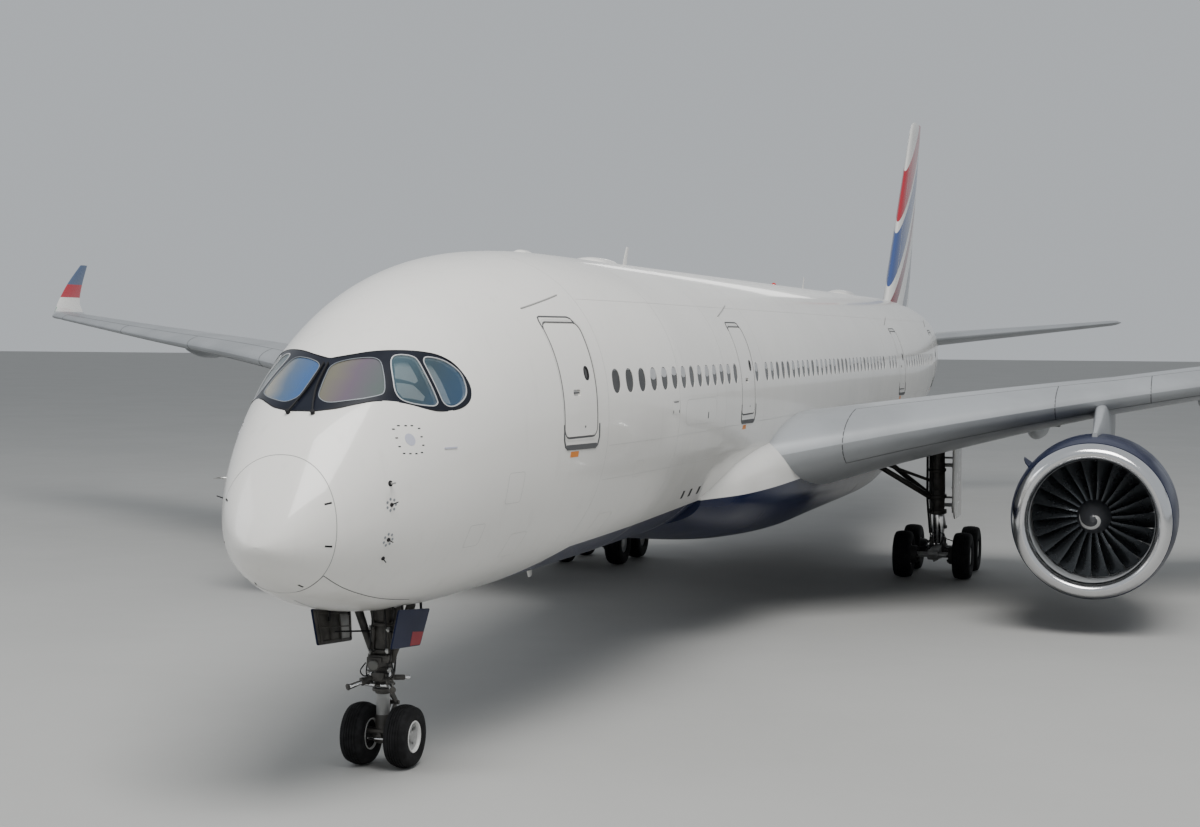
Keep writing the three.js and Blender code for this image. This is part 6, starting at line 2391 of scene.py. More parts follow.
@dataclass
class Engine(Assembly):
    """An engine: nacelle, fan, outlet vanes, core with its plug, and pylon.

    Profiles are pairs of distance aft of the inlet lip and radius, in full-size metres.
    """

    side: Side
    y: float = 10.3
    inlet: float = 21.9
    z: float = 2.75
    steps: int = 96
    lip_end: float = 0.34
    outside: Pairs = ((0.0, 1.62), (0.015, 1.68), (0.06, 1.74), (0.16, 1.80), (0.35, 1.86), (0.75, 1.92),
                      (1.2, 1.955), (1.9, 1.975), (2.6, 1.975), (3.4, 1.93), (4.3, 1.83), (5.1, 1.68),
                      (5.95, 1.47))
    inside: Pairs = ((5.93, 1.44), (5.2, 1.49), (4.6, 1.52), (3.0, 1.53), (1.4, 1.535), (0.9, 1.49),
                     (0.5, 1.45), (0.22, 1.47), (0.1, 1.5), (0.02, 1.56), (0.0, 1.62))
    core: Pairs = ((2.05, 0.55), (3.0, 0.84), (4.4, 0.98), (5.6, 0.95), (6.7, 0.68))
    plug: Pairs = ((6.3, 0.52), (6.7, 0.5), (7.2, 0.36), (7.5, 0.2), (7.7, 0.06))
    spinner: Pairs = ((0.98, 0.0), (0.99, 0.05), (1.03, 0.11), (1.12, 0.19), (1.25, 0.29), (1.5, 0.4),
                      (1.94, 0.46))
    blades: int = 22
    blade_rows: Rows = ((0.36, 24, 0.17, 0.0), (0.7, 36, 0.19, 0.03), (1.1, 50, 0.225, 0.085),
                        (1.35, 58, 0.235, 0.13), (1.49, 62, 0.22, 0.16))
    fan_middle: float = 1.71
    blade_thickness: float = 0.044
    vanes: int = 40
    vane: tuple[float, float, float, float] = (2.75, 3.2, 0.7, 1.54)
    vane_thickness: float = 0.024
    disc: Pairs = ((1.5, 0.02), (1.5, 0.38), (1.94, 0.455), (1.94, 0.13), (2.5, 0.13), (2.5, 0.02))
    cowl_inside: Pairs = ((5.7, 1.53), (1.4, 1.6), (0.4, 1.56))
    duct_outside: Pairs = ((0.36, 1.53), (1.4, 1.57), (5.6, 1.55))
    lip_wall: tuple[float, float] = (1.8, 1.52)
    skin: float = 0.05
    shaft_bore: Pairs = ((2.7, 0.02), (2.6, 0.16), (2.05, 0.16))
    core_inside: Pairs = ((6.68, 0.64), (5.6, 0.6), (3.2, 0.02))
    pylon: Rows = ((23.1, 4.55, 4.8, 0.06), (24.6, 4.3, 5.03, 0.12), (26.2, 4.0, 5.38, 0.18),
                   (28.6, 3.6, 5.6, 0.22), (30.2, 4.05, 5.6, 0.2), (32.2, 4.9, 5.5, 0.08))
    pylon_power: float = 3.4
    seams: tuple[float, float] = (1.62, 3.35)
    strake: Pairs = ((1.0, 0.0), (1.35, 0.12), (1.8, 0.2), (2.25, 0.23), (2.38, 0.0))
    strake_angle: float = 38.0
    strake_half: float = 0.018

    @property
    def middle(self) -> Vector:
        """The inlet's middle on the model."""
        return Vector(place((self.inlet, self.side.value * self.y, self.z)))

    def turned(self, name: str, profile: Sequence) -> Piece:
        """A body of revolution about the engine's axis."""
        return Bench.turn(name, scaled(profile), self.middle, (0, 1, 0), self.steps)

    def build(self) -> None:
        """Makes every piece of the engine."""
        word = self.side.word
        outside, inside = smooth_run(self.outside, 4), smooth_run(self.inside, 4)
        front = [p for p in outside if p[0] <= self.lip_end]
        back = [p for p in outside if p[0] > self.lip_end]
        lining = [p for p in inside if p[0] > self.lip_end]
        lip_back = [p for p in inside if 0 < p[0] <= self.lip_end]
        cowl = [*back, *((d, r + self.skin) for d, r in lining[:1]), *self.cowl_inside]
        self.add(self.turned("cowl_" + word, cowl), Shop.navy, nodes=("nacelle_" + word,), smooth=40)
        self.add(self.turned("duct_" + word, [*lining, *self.duct_outside]), Shop.duct, smooth=40)
        ring = [*front, *((self.lip_end, r) for r in self.lip_wall), *lip_back]
        self.add(self.turned("inlet_lip_" + word, ring), Shop.lip, smooth=50)
        core = [*self.shaft_bore, *smooth_run(self.core, 5), *self.core_inside]
        self.add(self.turned("core_" + word, core), Shop.exhaust, nodes=("engine_core_" + word,), smooth=40)
        plug = [(6.0, 0.02), (6.0, 0.45), *smooth_run(self.plug, 5), (7.7, 0.003)]
        self.add(self.turned("plug_" + word, plug), Shop.exhaust, smooth=40)
        self.fan()
        self.outlet_vanes()
        self.pylon_body()
        self.details()

    def blade(self) -> Piece:
        """One wide twisted blade with a curved leading edge.

        Returns:
            The blade.
        """
        rows = through(self.blade_rows, 18)
        x = np.concatenate([np.linspace(1, -1, 13), np.linspace(-1, 1, 13)[1:-1]])
        face = np.repeat([1.0, -1.0], [13, 11])
        rings = []
        for radius, twist, half, lean in rows:
            turn = math.radians(twist)
            share = (radius - self.blade_rows[0][0]) / (self.blade_rows[-1][0] - self.blade_rows[0][0])
            thick = self.blade_thickness * (1.15 - 0.75 * share) / 2
            bulge = thick * np.sqrt(np.clip(1 - x ** 2, 0, 1)) * face + 0.05 * (1 - x ** 2) * (1 - share)
            sweep = half * x
            along = self.fan_middle + sweep * math.cos(turn) - bulge * math.sin(turn) + lean * 0.25
            around = sweep * math.sin(turn) + bulge * math.cos(turn) - lean
            angle = around / radius
            rings.append(np.stack([along, radius * np.sin(angle), radius * np.cos(angle)], -1))
        rings = np.array(rings)
        spots = np.stack([self.side.value * self.y + rings[..., 1], rings[..., 0] + self.inlet - MID_STATION,
                          self.z + rings[..., 2]], -1) * SCALE
        return Bench.loft("blade", spots)

    def around(self, first: Piece, name: str, start: int, count: int) -> list[Piece]:
        """Copies of a piece turned about the engine's axis.

        Args:
            first: What is copied.
            name: The copies' name.
            start: The first of the places in the ring that are filled.
            count: How many places the ring has.

        Returns:
            The copies.
        """
        centre = np.array(self.middle)
        ring = []
        for k in range(start, count):
            turn = math.tau * k / count
            cos, sin = math.cos(turn), math.sin(turn)
            matrix = np.array([[cos, 0, sin], [0, 1, 0], [-sin, 0, cos]])
            ring.append(Bench.copy(first, name, lambda p, m=matrix: (p - centre) @ m.T + centre))
        return ring

    def fan(self) -> None:
        """The fan with its spinner, in one with its disc and shaft."""
        word = self.side.word
        body = "fan_" + word
        first = self.blade()
        blades = [first, *self.around(first, "blade", 1, self.blades), self.turned("disc", self.disc)]
        self.add(Bench.join("fan_blades_" + word, blades), Shop.blade, body, (body,), smooth=40)
        spinner = [*smooth_run(self.spinner, 4), (1.9, 0.02)]
        spinner[0] = (0.98, 0.0015)
        paint = SpinnerPaint("spinner_" + word + "_paint", "fan_metal", (0.05, 0.052, 0.058),
                             roughness=0.3, coat=0.4, centre=tuple(self.middle))
        self.add(self.turned("spinner_" + word, spinner), paint, body, smooth=40)

    def outlet_vanes(self) -> None:
        """Guide vanes behind the fan."""
        front, back, root, tip = self.vane
        centre = np.array(self.middle)
        half = self.vane_thickness / 2
        low = centre + np.array([-half, front, root]) * SCALE
        high = centre + np.array([half, back, tip]) * SCALE
        first = Bench.block("vane", low, high, 0.002)
        vanes = self.around(first, "vane", 0, self.vanes)
        Bench.scrap(first)
        self.add(Bench.join("outlet_vanes_" + self.side.word, vanes), Shop.duct)

    def pylon_body(self) -> None:
        """The pylon, slim ahead and wedged under the wing."""
        rows = through(self.pylon, 40)
        angles = turns(40)
        middle, height = (rows[:, 1:2] + rows[:, 2:3]) / 2, (rows[:, 2:3] - rows[:, 1:2]) / 2
        across = rows[:, 3:4] * fuller(np.cos(angles), self.pylon_power)
        up = middle + height * fuller(np.sin(angles), self.pylon_power)
        along = np.broadcast_to(rows[:, :1], across.shape)
        points = np.stack([along, self.side.value * self.y + across, up], -1)
        body = Bench.loft("pylon_skin_" + self.side.word, place(points))
        self.add(body, Shop.wing, nodes=("pylon_" + self.side.word,), smooth=40)

    def details(self) -> None:
        """The seams of the cowl, about it and along its underside, and the strake."""
        parts = []
        table = np.array(self.outside)
        for d in self.seams:
            radius = float(np.interp(d, *table.T))
            ring = [(d - 0.01, radius - 0.01), (d - 0.01, radius + 0.003), (d + 0.01, radius + 0.003),
                    (d + 0.01, radius - 0.01)]
            parts.append(self.turned("seam", ring))
        angle = math.radians(-90)
        d = np.linspace(*self.seams, 20)
        r = np.interp(d, *table.T)
        line = np.stack([self.inlet + d, self.side.value * self.y + r * math.cos(angle),
                         self.z + r * math.sin(angle)], -1)
        ups = np.tile([math.cos(angle), 0, math.sin(angle)], (20, 1))
        section = [(-0.005, -0.002), (0.005, -0.002), (0.005, 0.0015), (-0.005, 0.0015)]
        parts.append(Bench.sweep("seam", place(line), ups, section))
        self.add(Bench.join("cowl_seams_" + self.side.word, parts), Shop.ink)
        inward = -self.side.value
        angle = math.radians(self.strake_angle)
        base = []
        for d, rise in self.strake:
            r = float(np.interp(d, *table.T)) - 0.02
            base.append([(self.inlet + d, self.side.value * self.y + inward * (r + up) * math.cos(angle),
                          self.z + (r + up) * math.sin(angle)) for up in (0, rise + 0.02)])
        inner = np.array([row[0] for row in base])
        outer = np.array([row[1] for row in base])
        thick = np.array([0, 0, self.strake_half])
        rings = np.stack([inner + thick, outer + thick, outer - thick, inner - thick], 1)
        self.add(Bench.loft("cowl_strake_" + self.side.word, place(rings)), Shop.navy)


@dataclass
class BellyFairing(Assembly):
    """The smooth bulge between the wings, with the panel gaps across it."""

    fuselage: Fuselage
    rows: Rows = (
        (16.6, 2.2, 2.8, 4.3), (18.2, 2.88, 2.45, 4.75), (20.5, 3.22, 2.12, 5.0), (24, 3.42, 1.98, 5.12),
        (33, 3.42, 1.98, 4.95), (37, 3.2, 2.12, 4.75), (40, 2.8, 2.4, 4.5), (42.6, 2.1, 2.8, 4.2),
    )
    power: float = 2.6
    hull_run: tuple[float, float] = (15.5, 43.5)
    bed: float = 0.004
    gaps: tuple[float, ...] = (19.6, 24.2, 30.8, 34.6, 38.4)
    gap_angles: tuple[float, float] = (200.0, 340.0)

    def points(self, s: Array, angle: Array, lift: float = 0.0) -> Array:
        """Points of the fairing by station and angle.

        Args:
            s: Stations.
            angle: Angles round the section.
            lift: Distance outside the skin.

        Returns:
            The points.
        """
        s, angle = np.broadcast_arrays(s, angle)
        rows = curve_at(np.array(self.rows), s.reshape(-1)).T.reshape(4, *s.shape)
        _, half, bottom, top = rows
        y = (half + lift) * fuller(np.cos(angle), self.power)
        z = (top + bottom) / 2 + ((top - bottom) / 2 + lift) * fuller(np.sin(angle), self.power)
        return np.stack([s, y, z], -1)

    def build(self) -> None:
        """Lofts the fairing and takes the hull out of it."""
        stations = np.linspace(self.rows[0][0], self.rows[-1][0], 90)[:, None]
        angles = turns(120)[None, :]
        body = Bench.loft("belly_fairing_skin", place(self.points(stations, angles)))
        inner = self.fuselage.form
        rows = np.linspace(*self.hull_run, 40)[:, None]
        Bench.carve(body, Bench.loft("hull", place(inner.at(rows, angles, -self.bed))))
        self.add(body, Shop.fuselage, nodes=("belly_fairing",), smooth=35)
        lines = []
        for s in self.gaps:
            angles = np.linspace(*(math.radians(a) for a in self.gap_angles), 50)
            onto = self.points(np.full(50, s), angles)
            ups = unit(self.points(np.full(50, s), angles, 0.01) - onto)[:, [1, 0, 2]]
            section = [(-0.004, -0.002), (0.004, -0.002), (0.004, 0.0012), (-0.004, 0.0012)]
            lines.append(Bench.sweep("line", place(onto), ups, section))
        self.add(Bench.join("fairing_gaps", lines), Shop.seam)


def bar(start: Sequence, end: Sequence, radius: float, end_radius: float | None = None, sides: int = 20,
        bevel: float = 0.12) -> Piece:
    """A rod between two points in full-size metres."""
    other = None if end_radius is None else end_radius * SCALE
    return Bench.rod("bar", *place([start, end]), radius * SCALE, other, sides, bevel)


def bars(rows: Sequence, foot: float, side: int = 1) -> list[Piece]:
    """Rods between points that are given from a station.

    Args:
        rows: Start, end, radius, radius at the end or None, and sides of each.
        foot: The station that the points are given from.
        side: 1 as given, -1 on the other side of the aircraft.

    Returns:
        The rods.
    """
    turned = np.array([1, side, 1])
    shift = np.array([foot, 0, 0])
    return [bar(turned * start + shift, turned * end + shift, *sizes) for start, end, *sizes in rows]


def hose(points: Sequence, radius: float, sides: int = 8) -> Piece:
    """A round hose through points in full-size metres.

    Args:
        points: Points in full-size metres.
        radius: Its radius.
        sides: Number of its sides.

    Returns:
        The hose.
    """
    line = place(smooth_run(points, 6))
    ahead = unit(np.gradient(line, axis=0))
    ups = np.cross(ahead, [0.31, 0.17, 0.93])
    section = [(radius * SCALE * math.cos(a), radius * SCALE * math.sin(a)) for a in turns(sides)]
    return Bench.sweep("hose", line, ups, section)


def brick(low: Sequence, high: Sequence, bevel: float = 0.01) -> Piece:
    """A bevelled box between two corners in full-size metres."""
    return Bench.block("brick", *place([low, high]), bevel * SCALE)


def plate(outline: Sequence, y: float, thickness: float, bevel: float = 0.008) -> Piece:
    """An upright plate along the aircraft inside an outline of stations and heights.

    Args:
        outline: Its outline as pairs.
        y: Its middle's distance to port.
        thickness: Its thickness.
        bevel: Its bevel.

    Returns:
        The plate.
    """
    piece = Bench.slab("plate", outline, 9.0, y - thickness / 2, y + thickness / 2)
    along, up, across = Bench.points(piece).T
    Bench.move(piece, place(np.column_stack([along, across, up])))
    Bench.close(piece, False)
    if bevel:
        Bench.edit(
            piece,
            lambda: bpy.ops.mesh.select_all(action="DESELECT"),
            lambda: bpy.ops.mesh.edges_select_sharp(sharpness=math.radians(60)),
            lambda: bpy.ops.mesh.bevel(offset=bevel * SCALE, segments=2),
            whole=False,
        )
    return piece


def spun(profile: Sequence, centre: Sequence, steps: int = 64, sense: int = 1) -> Piece:
    """A body of revolution about an axle across the aircraft.

    Args:
        profile: Pairs of distance along the axle and radius, in full-size metres.
        centre: The middle of the axle as s, y, z.
        steps: Facets round it.
        sense: Which way the distances count, 1 to port.

    Returns:
        The piece.
    """
    return Bench.turn("spun", scaled(profile), place(centre), (sense, 0, 0), steps)


@dataclass(frozen=True)
class Tyre:
    """The section of a tyre with round shoulders and grooves about its tread."""

    radius: float
    half_width: float
    rim: float
    grooves: tuple[float, ...]
    groove: tuple[float, float] = (0.016, 0.012)
    crown: float = 0.03

    def profile(self) -> list:
        """The closed section as pairs of distance and radius.

        Returns:
            The section's corners.
        """
        tread = self.half_width * 0.66
        side = [(self.half_width * 0.7, self.rim), (self.half_width * 0.86, self.rim + 0.02),
                (self.half_width * 0.985, self.rim + 0.38 * (self.radius - self.rim)),
                (self.half_width, self.rim + 0.52 * (self.radius - self.rim)),
                (self.half_width * 0.965, self.rim + 0.72 * (self.radius - self.rim)),
                (self.half_width * 0.86, self.radius - 0.045), (tread, self.radius - self.crown)]
        port = smooth_run(side, 5)
        width, depth = self.groove
        top = []
        for middle in sorted(self.grooves, reverse=True):
            for offset, drop in ((width * 0.6, 0), (width * 0.45, depth), (-width * 0.45, depth),
                                 (-width * 0.6, 0)):
                d = middle + offset
                top.append((d, self.radius - self.crown * (d / tread) ** 2 - drop))
        starboard = [(-d, r) for d, r in reversed(port)]
        hollow = [(-self.half_width * 0.5, self.rim - 0.01), (self.half_width * 0.5, self.rim - 0.01)]
        return [*port, *top, *starboard, *hollow]


@dataclass
class NoseGear(Assembly):
    """The nose gear: leg with stays and steering, fork, wheels and doors."""

    s: float = 4.385
    axle_z: float = 0.5149
    wheel_y: float = 0.382
    tyre: Tyre = Tyre(0.5149, 0.2, 0.248, (-0.09, -0.045, 0.0, 0.045, 0.09))
    strut_foot: float = 1.32
    door_y: float = 0.66
    flange: Pairs = ((0.135, 0.234), (0.15, 0.249), (0.172, 0.262), (0.181, 0.254), (0.176, 0.236),
                     (0.15, 0.222), (0.13, 0.22))
    cone: Pairs = ((0.14, 0.24), (0.132, 0.222), (0.118, 0.205), (0.092, 0.165), (0.082, 0.13),
                   (0.084, 0.1), (0.1, 0.088), (0.125, 0.075), (0.135, 0.05), (0.135, 0.002),
                   (-0.02, 0.002), (-0.02, 0.2), (0.05, 0.24))
    inner: Pairs = ((-0.01, 0.24), (-0.01, 0.066), (-0.2, 0.066), (-0.2, 0.11), (-0.08, 0.13),
                    (-0.06, 0.19), (-0.12, 0.222), (-0.15, 0.238))
    bright: Pairs = ((-0.15, 0.234), (-0.165, 0.236), (-0.18, 0.248), (-0.18, 0.258), (-0.16, 0.255))
    casting: tuple = (
        ((0, 0, 1.32), (0, 0, 1.86), 0.125, 0.135, 32), ((0, 0, 1.84), (0, 0, 2.35), 0.135, 0.14, 32),
        ((0, 0, 2.3), (0, 0, 3.34), 0.14, 0.12, 32),
        ((0, -0.5994, 3.05), (0, 0.5994, 3.05), 0.08, None, 28),
        ((0.715, -0.5994, 3.1), (0.715, 0.5994, 3.1), 0.05, None, 24),
        ((0.02, 0, 1.95), (0.715, 0, 3.1), 0.05, 0.06, 20),
        ((-0.1, 0.1, 2.1), (-0.1, 0.1, 3.0), 0.045, None, 20),
        ((-0.1, -0.13, 2.05), (-0.1, -0.13, 3.1), 0.035, None, 20),
    )
    stays: tuple = (
        ((0, 0.14, 1.72), (0, 0.5, 2.7), 0.055, 0.075, 20),
        ((0.03, 0.1, 2.0), (0.1, 0.3, 2.9), 0.04, 0.05, 18),
        ((0, 0.36, 2.82), (0, 0.57, 3.05), 0.09, 0.1, 20),
        ((0.06, 0.05, 2.5), (0.615, 0.3, 3.1), 0.03, None, 14),
        ((0.715, 0.5, 3.1), (0.715, 0.58, 3.1), 0.09, None, 24),
    )
    web: Pairs = ((-0.1, 1.86), (0.12, 1.9), (0.16, 2.3), (-0.12, 2.3))
    web_at: tuple[float, float] = (0.13, 0.035)
    bay_walls: tuple[float, ...] = (-0.585, 0.585)
    bay_frames: tuple[float, ...] = (3.7, 4.0, 4.7, 4.95)
    cylinder: Triples = ((4.3, 0.12, 1.47), (3.86, 0.4, 1.36))
    steering_dark: tuple = (((4.44, 0.16, 1.46), (4.6, 0.28, 1.44), 0.045, None, 20),)
    steering_bright: tuple = (
        ((4.26, 0.16, 1.38), (4.26, 0.16, 1.58), 0.035, None, 20),
        ((4.18, 0.05, 1.36), (4.2, 0.26, 1.37), 0.032, None, 20),
        ((4.6, 0.28, 1.44), (4.68, 0.34, 1.43), 0.03, None, 20),
    )
    fork_rods: tuple = (
        ((0, 0, 1.24), (0, 0, 1.3), 0.18, None, 40), ((0, 0, 1.2), (0, 0, 1.25), 0.13, None, 40),
        ((0, 0, 0.3949), (0, 0, 0.8549), 0.14, 0.125, 36),
        ((0, -0.17, 0.5149), (0, 0.17, 0.5149), 0.115, None, 36),
        ((-0.165, -0.05, 0.5149), (-0.165, 0.05, 0.5149), 0.022, None, 18),
        ((-0.13, -0.26, 0.5849), (-0.13, 0.26, 0.5849), 0.036, None, 20),
        ((0.395, -0.11, 0.98), (0.395, 0.11, 0.98), 0.035, None, 20),
        ((0.12, -0.1, 1.23), (0.12, 0.1, 1.23), 0.04, None, 20),
        ((0.1, -0.1, 0.67), (0.1, 0.1, 0.67), 0.04, None, 20),
    )
    axle_rods: tuple = (((0, -0.3, 0.5149), (0, 0.3, 0.5149), 0.055, None, 32),
                        ((-0.21, -0.185, 0.4849), (-0.21, 0.185, 0.4849), 0.019, None, 20))
    tow_lug: Pairs = ((-0.19, 0.4649), (-0.1, 0.4349), (-0.05, 0.6049), (-0.17, 0.5649))
    collars: Triples = ((1.33, 0.17, 0.05), (1.42, 0.19, 0.14), (1.6, 0.155, 0.05), (1.75, 0.15, 0.04),
                        (1.86, 0.175, 0.08), (2.32, 0.19, 0.06))
    boxes: tuple = (((-0.2, -0.1, 1.46), (0.18, 0.1, 1.57), 0.02),
                    ((-0.24, -0.17, 1.74), (-0.06, 0.19, 1.86), 0.02),
                    ((-0.16, -0.09, 2.42), (-0.05, 0.08, 2.66), 0.015))
    upper_link: Pairs = ((0.08, 1.28), (0.17, 1.27), (0.43, 1.0), (0.41, 0.94), (0.33, 0.97), (0.08, 1.18))
    lower_link: Pairs = ((0.05, 0.62), (0.13, 0.6), (0.43, 0.95), (0.42, 1.02), (0.35, 1.0), (0.05, 0.73))
    hose_runs: tuple = (
        (0.014, ((-0.16, 0.08, 2.7), (-0.2, 0.14, 2.3), (-0.17, 0.12, 1.95), (-0.18, 0.17, 1.6),
                 (-0.14, 0.13, 1.45))),
        (0.013, ((-0.18, -0.05, 2.8), (-0.24, -0.1, 2.3), (-0.2, -0.16, 1.9), (-0.22, -0.2, 1.55),
                 (-0.1, -0.16, 1.42))),
        (0.016, ((0.14, 0.12, 2.9), (0.2, 0.15, 2.2), (0.17, 0.14, 1.7), (0.15, 0.12, 1.45))),
        (0.012, ((0.14, -0.12, 2.9), (0.22, -0.14, 2.3), (0.17, -0.16, 1.75), (0.13, -0.14, 1.5))),
        (0.01, ((-0.12, 0.2, 2.6), (-0.1, 0.22, 2.2), (-0.12, 0.19, 1.9), (-0.2, 0.2, 1.72))),
        (0.011, ((-0.2, -0.22, 1.72), (-0.28, -0.28, 1.6), (-0.2, -0.25, 1.5), (-0.08, -0.18, 1.52))),
        (0.011, ((-0.2, 0.24, 1.74), (-0.27, 0.3, 1.6), (-0.2, 0.25, 1.5), (-0.08, 0.18, 1.52))),
    )
    unions: Pairs = ((0.17, 2.28), (-0.14, 2.3), (0.15, 1.93), (-0.16, 1.9), (0.19, 1.62), (-0.19, 1.58))
    door_corners: tuple = (((3.12, 2.15), (4.27, 2.04), (4.68, 2.59), (3.42, 2.73)),
                           ((3.36, 2.1), (4.64, 1.99), (4.59, 2.49), (3.14, 2.72)))
    door_ribs: tuple[float, ...] = (0.08, 0.36, 0.64, 0.92)
    door_stringers: tuple[float, ...] = (0.1, 0.5, 0.9)
    lamp: tuple[float, float, float] = (-0.04, 1.7, 0.1)
    hole_ring: float = 0.172
    hole_radii: tuple[float, ...] = (0.036, 0.02, 0.036, 0.02)
    bolts: tuple[int, float] = (10, 0.115)

    def build(self) -> None:
        """Makes the fixed leg, what steers, what spins and the doors."""
        self.leg()
        self.steering()
        self.lamps()
        self.hoses()
        self.fork()
        self.wheels()
        self.doors()

    def leg(self) -> None:
        """The outer cylinder with its casting, stays and pintle."""
        s = self.s
        parts = bars(self.casting, s)
        y, thickness = self.web_at
        for side in Side:
            parts += bars(self.stays, s, side.value)
            parts.append(plate(np.array(self.web) + [s, 0], y * side.value, thickness))
        for z, radius, height in self.collars:
            parts.append(bar((s, 0, z), (s, 0, z + height), radius, sides=36))
        for low, high, bevel in self.boxes:
            parts.append(brick(np.array(low) + [s, 0, 0], np.array(high) + [s, 0, 0], bevel))
        self.add(Bench.join("nose_leg", parts), Shop.gear_dark, nodes=("nose_gear_leg",), smooth=40)
        bay = [brick((3.52, y - 0.015, 2.75), (5.33, y + 0.015, 3.33), 0.004) for y in self.bay_walls]
        bay += [brick((start, -0.58, 3.24), (start + 0.05, 0.58, 3.34), 0.004) for start in self.bay_frames]
        self.add(Bench.join("nose_bay_frames", bay), Shop.gear_grey)

    def steering(self) -> None:
        """Two steering cylinders with bright rods, and the clamps about the collar."""
        dark, bright = [], []
        for side in Side:
            y = side.value
            start, end = np.array(self.cylinder) * [1, y, 1]
            along = unit(end - start)
            dark.append(bar(start, start + along * 0.22, 0.055, sides=24))
            dark.append(bar(start + along * 0.2, start + along * 0.26, 0.068, sides=24))
            bright.append(bar(start + along * 0.25, end - along * 0.02, 0.046, sides=24))
            dark.append(bar(end - along * 0.03, end, 0.055, sides=24))
            dark.append(brick((4.22, 0.1 * y - 0.05, 1.41), (4.4, 0.1 * y + 0.05, 1.55), 0.012))
            dark += bars(self.steering_dark, 0, y)
            bright += bars(self.steering_bright, 0, y)
        dark.append(bar((self.s, 0, 1.335), (self.s, 0, 1.37), 0.2, sides=40))
        self.add(Bench.join("steering_bodies", dark), Shop.gear_dark, smooth=40)
        self.add(Bench.join("steering_rods", bright), Shop.chrome, smooth=40)

    def lamps(self) -> None:
        """The taxi lamp on its bracket, with a dull lens."""
        y, z, radius = self.lamp
        shells = [bar((4.21, y, z), (4.1, y, z), radius * 0.7, radius, 32),
                  bar((4.1, y, z), (4.075, y, z), radius, radius, 32),
                  brick((4.1, y - 0.13, z - 0.03), (4.3, y + 0.13, z + 0.13), 0.01)]
        self.add(Bench.join("nose_lamp_shell", shells), Shop.gear_dark, smooth=40)
        lens = bar((4.08, y, z), (4.066, y, z), radius * 0.86, radius * 0.8, 32)
        lens.name = "nose_lamp_lens"
        self.add(lens, Shop.lamp, smooth=40)

    def hoses(self) -> None:
        """Hoses and cable runs down the leg, with brackets and unions."""
        s = self.s
        runs = [hose(np.array(points) + [s, 0, 0], radius) for radius, points in self.hose_runs]
        self.add(Bench.join("nose_leg_hoses", runs), Shop.hose, smooth=60)
        unions = []
        for y, z in self.unions:
            unions.append(bar((s - 0.23, y, z), (s - 0.13, y * 0.7, z), 0.02, sides=12))
            unions.append(bar((s - 0.19, y, z - 0.04), (s - 0.19, y, z + 0.04), 0.024, sides=6))
        self.add(Bench.join("nose_leg_unions", unions), Shop.steel, smooth=40)

    def fork(self) -> None:
        """The sliding piston, the collar, the torque link, the axle and the tow fitting."""
        s, z = self.s, self.axle_z
        body = "steered_fork"
        chrome = [bar((s, 0, z + 0.1), (s, 0, self.strut_foot - 0.0006), 0.112, sides=48, bevel=0.03)]
        self.add(Bench.join("nose_piston", chrome), Shop.gear_grey, body, ("nose_gear_fork",), smooth=40)
        parts = [*bars(self.fork_rods, s), plate(np.array(self.tow_lug) + [s, 0], 0, 0.06)]
        for y in (-0.07, 0.07):
            parts.append(plate(np.array(self.upper_link) + [s, 0], y, 0.03))
            parts.append(plate(np.array(self.lower_link) + [s, 0], y * 0.75, 0.03))
        self.add(Bench.join("nose_fork", parts), Shop.gear_dark, body, smooth=40)
        self.add(Bench.join("nose_axle", bars(self.axle_rods, s)), Shop.chrome, body, smooth=40)

    def wheels(self) -> None:
        """Two deep-dished white wheels with grooved tyres."""
        tyres, flanges, cones, inners, caps = [], [], [], [], []
        for side in Side:
            sign = side.value
            centre = np.array((self.s, sign * self.wheel_y, self.axle_z))
            tyres.append(spun(self.tyre.profile(), centre, 112, sign))
            flanges.append(spun(self.flange, centre, 64, sign))
            flanges.append(spun(self.bright, centre, 64, sign))
            inners.append(spun(self.inner, centre, 64, sign))
            disc = spun(self.cone, centre, 64, sign)
            holes = []
            for k, radius in enumerate(self.hole_radii):
                angle = math.radians(37 + 90 * k)
                spot = centre + [self.hole_ring * math.cos(angle), 0, self.hole_ring * math.sin(angle)]
                holes.append(bar(spot, spot + [0, sign * 0.2, 0], radius, sides=24, bevel=0))
            Bench.carve(disc, Bench.join("holes", holes))
            cones.append(disc)
            count, ring = self.bolts
            for angle in turns(count):
                spot = centre + [ring * math.cos(angle), sign * 0.08, ring * math.sin(angle)]
                caps.append(bar(spot - [0, sign * 0.03, 0], spot + [0, sign * 0.015, 0], 0.01, sides=6))
        body = "nose_wheel_pair"
        self.add(Bench.join("nose_tyres", tyres), Shop.tyre, body, ("nose_tyre_left", "nose_tyre_right"),
                 smooth=50)
        self.add(Bench.join("nose_rims", flanges), Shop.wheel_white, body, ("nose_wheels",), smooth=40)
        self.add(Bench.join("nose_discs", cones), Shop.wheel_grey, body, smooth=40)
        self.add(Bench.join("nose_wheel_insides", inners), Shop.brake, body, smooth=40)
        self.add(Bench.join("nose_wheel_bolts", caps), Shop.steel, body, smooth=40)

    def doors(self) -> None:
        """The two rear doors, which stay open: outer skin, lining with ribs, hangers and a stay."""
        for side, outline in zip(Side, self.door_corners):
            sign, word = side.value, side.word
            y = sign * (self.door_y + 0.03)
            low_front, low_back, high_back, high_front = np.array(outline)

            def inside(u: float, v: float) -> Array:
                """A point on the door's inner face."""
                low, high = low_front + u * (low_back - low_front), high_front + u * (high_back - high_front)
                return low + v * (high - low)

            def corners(left: float, right: float, low: float, high: float) -> list[Array]:
                """The corners of a field on the door's inner face."""
                return [inside(left, low), inside(right, low), inside(right, high), inside(left, high)]

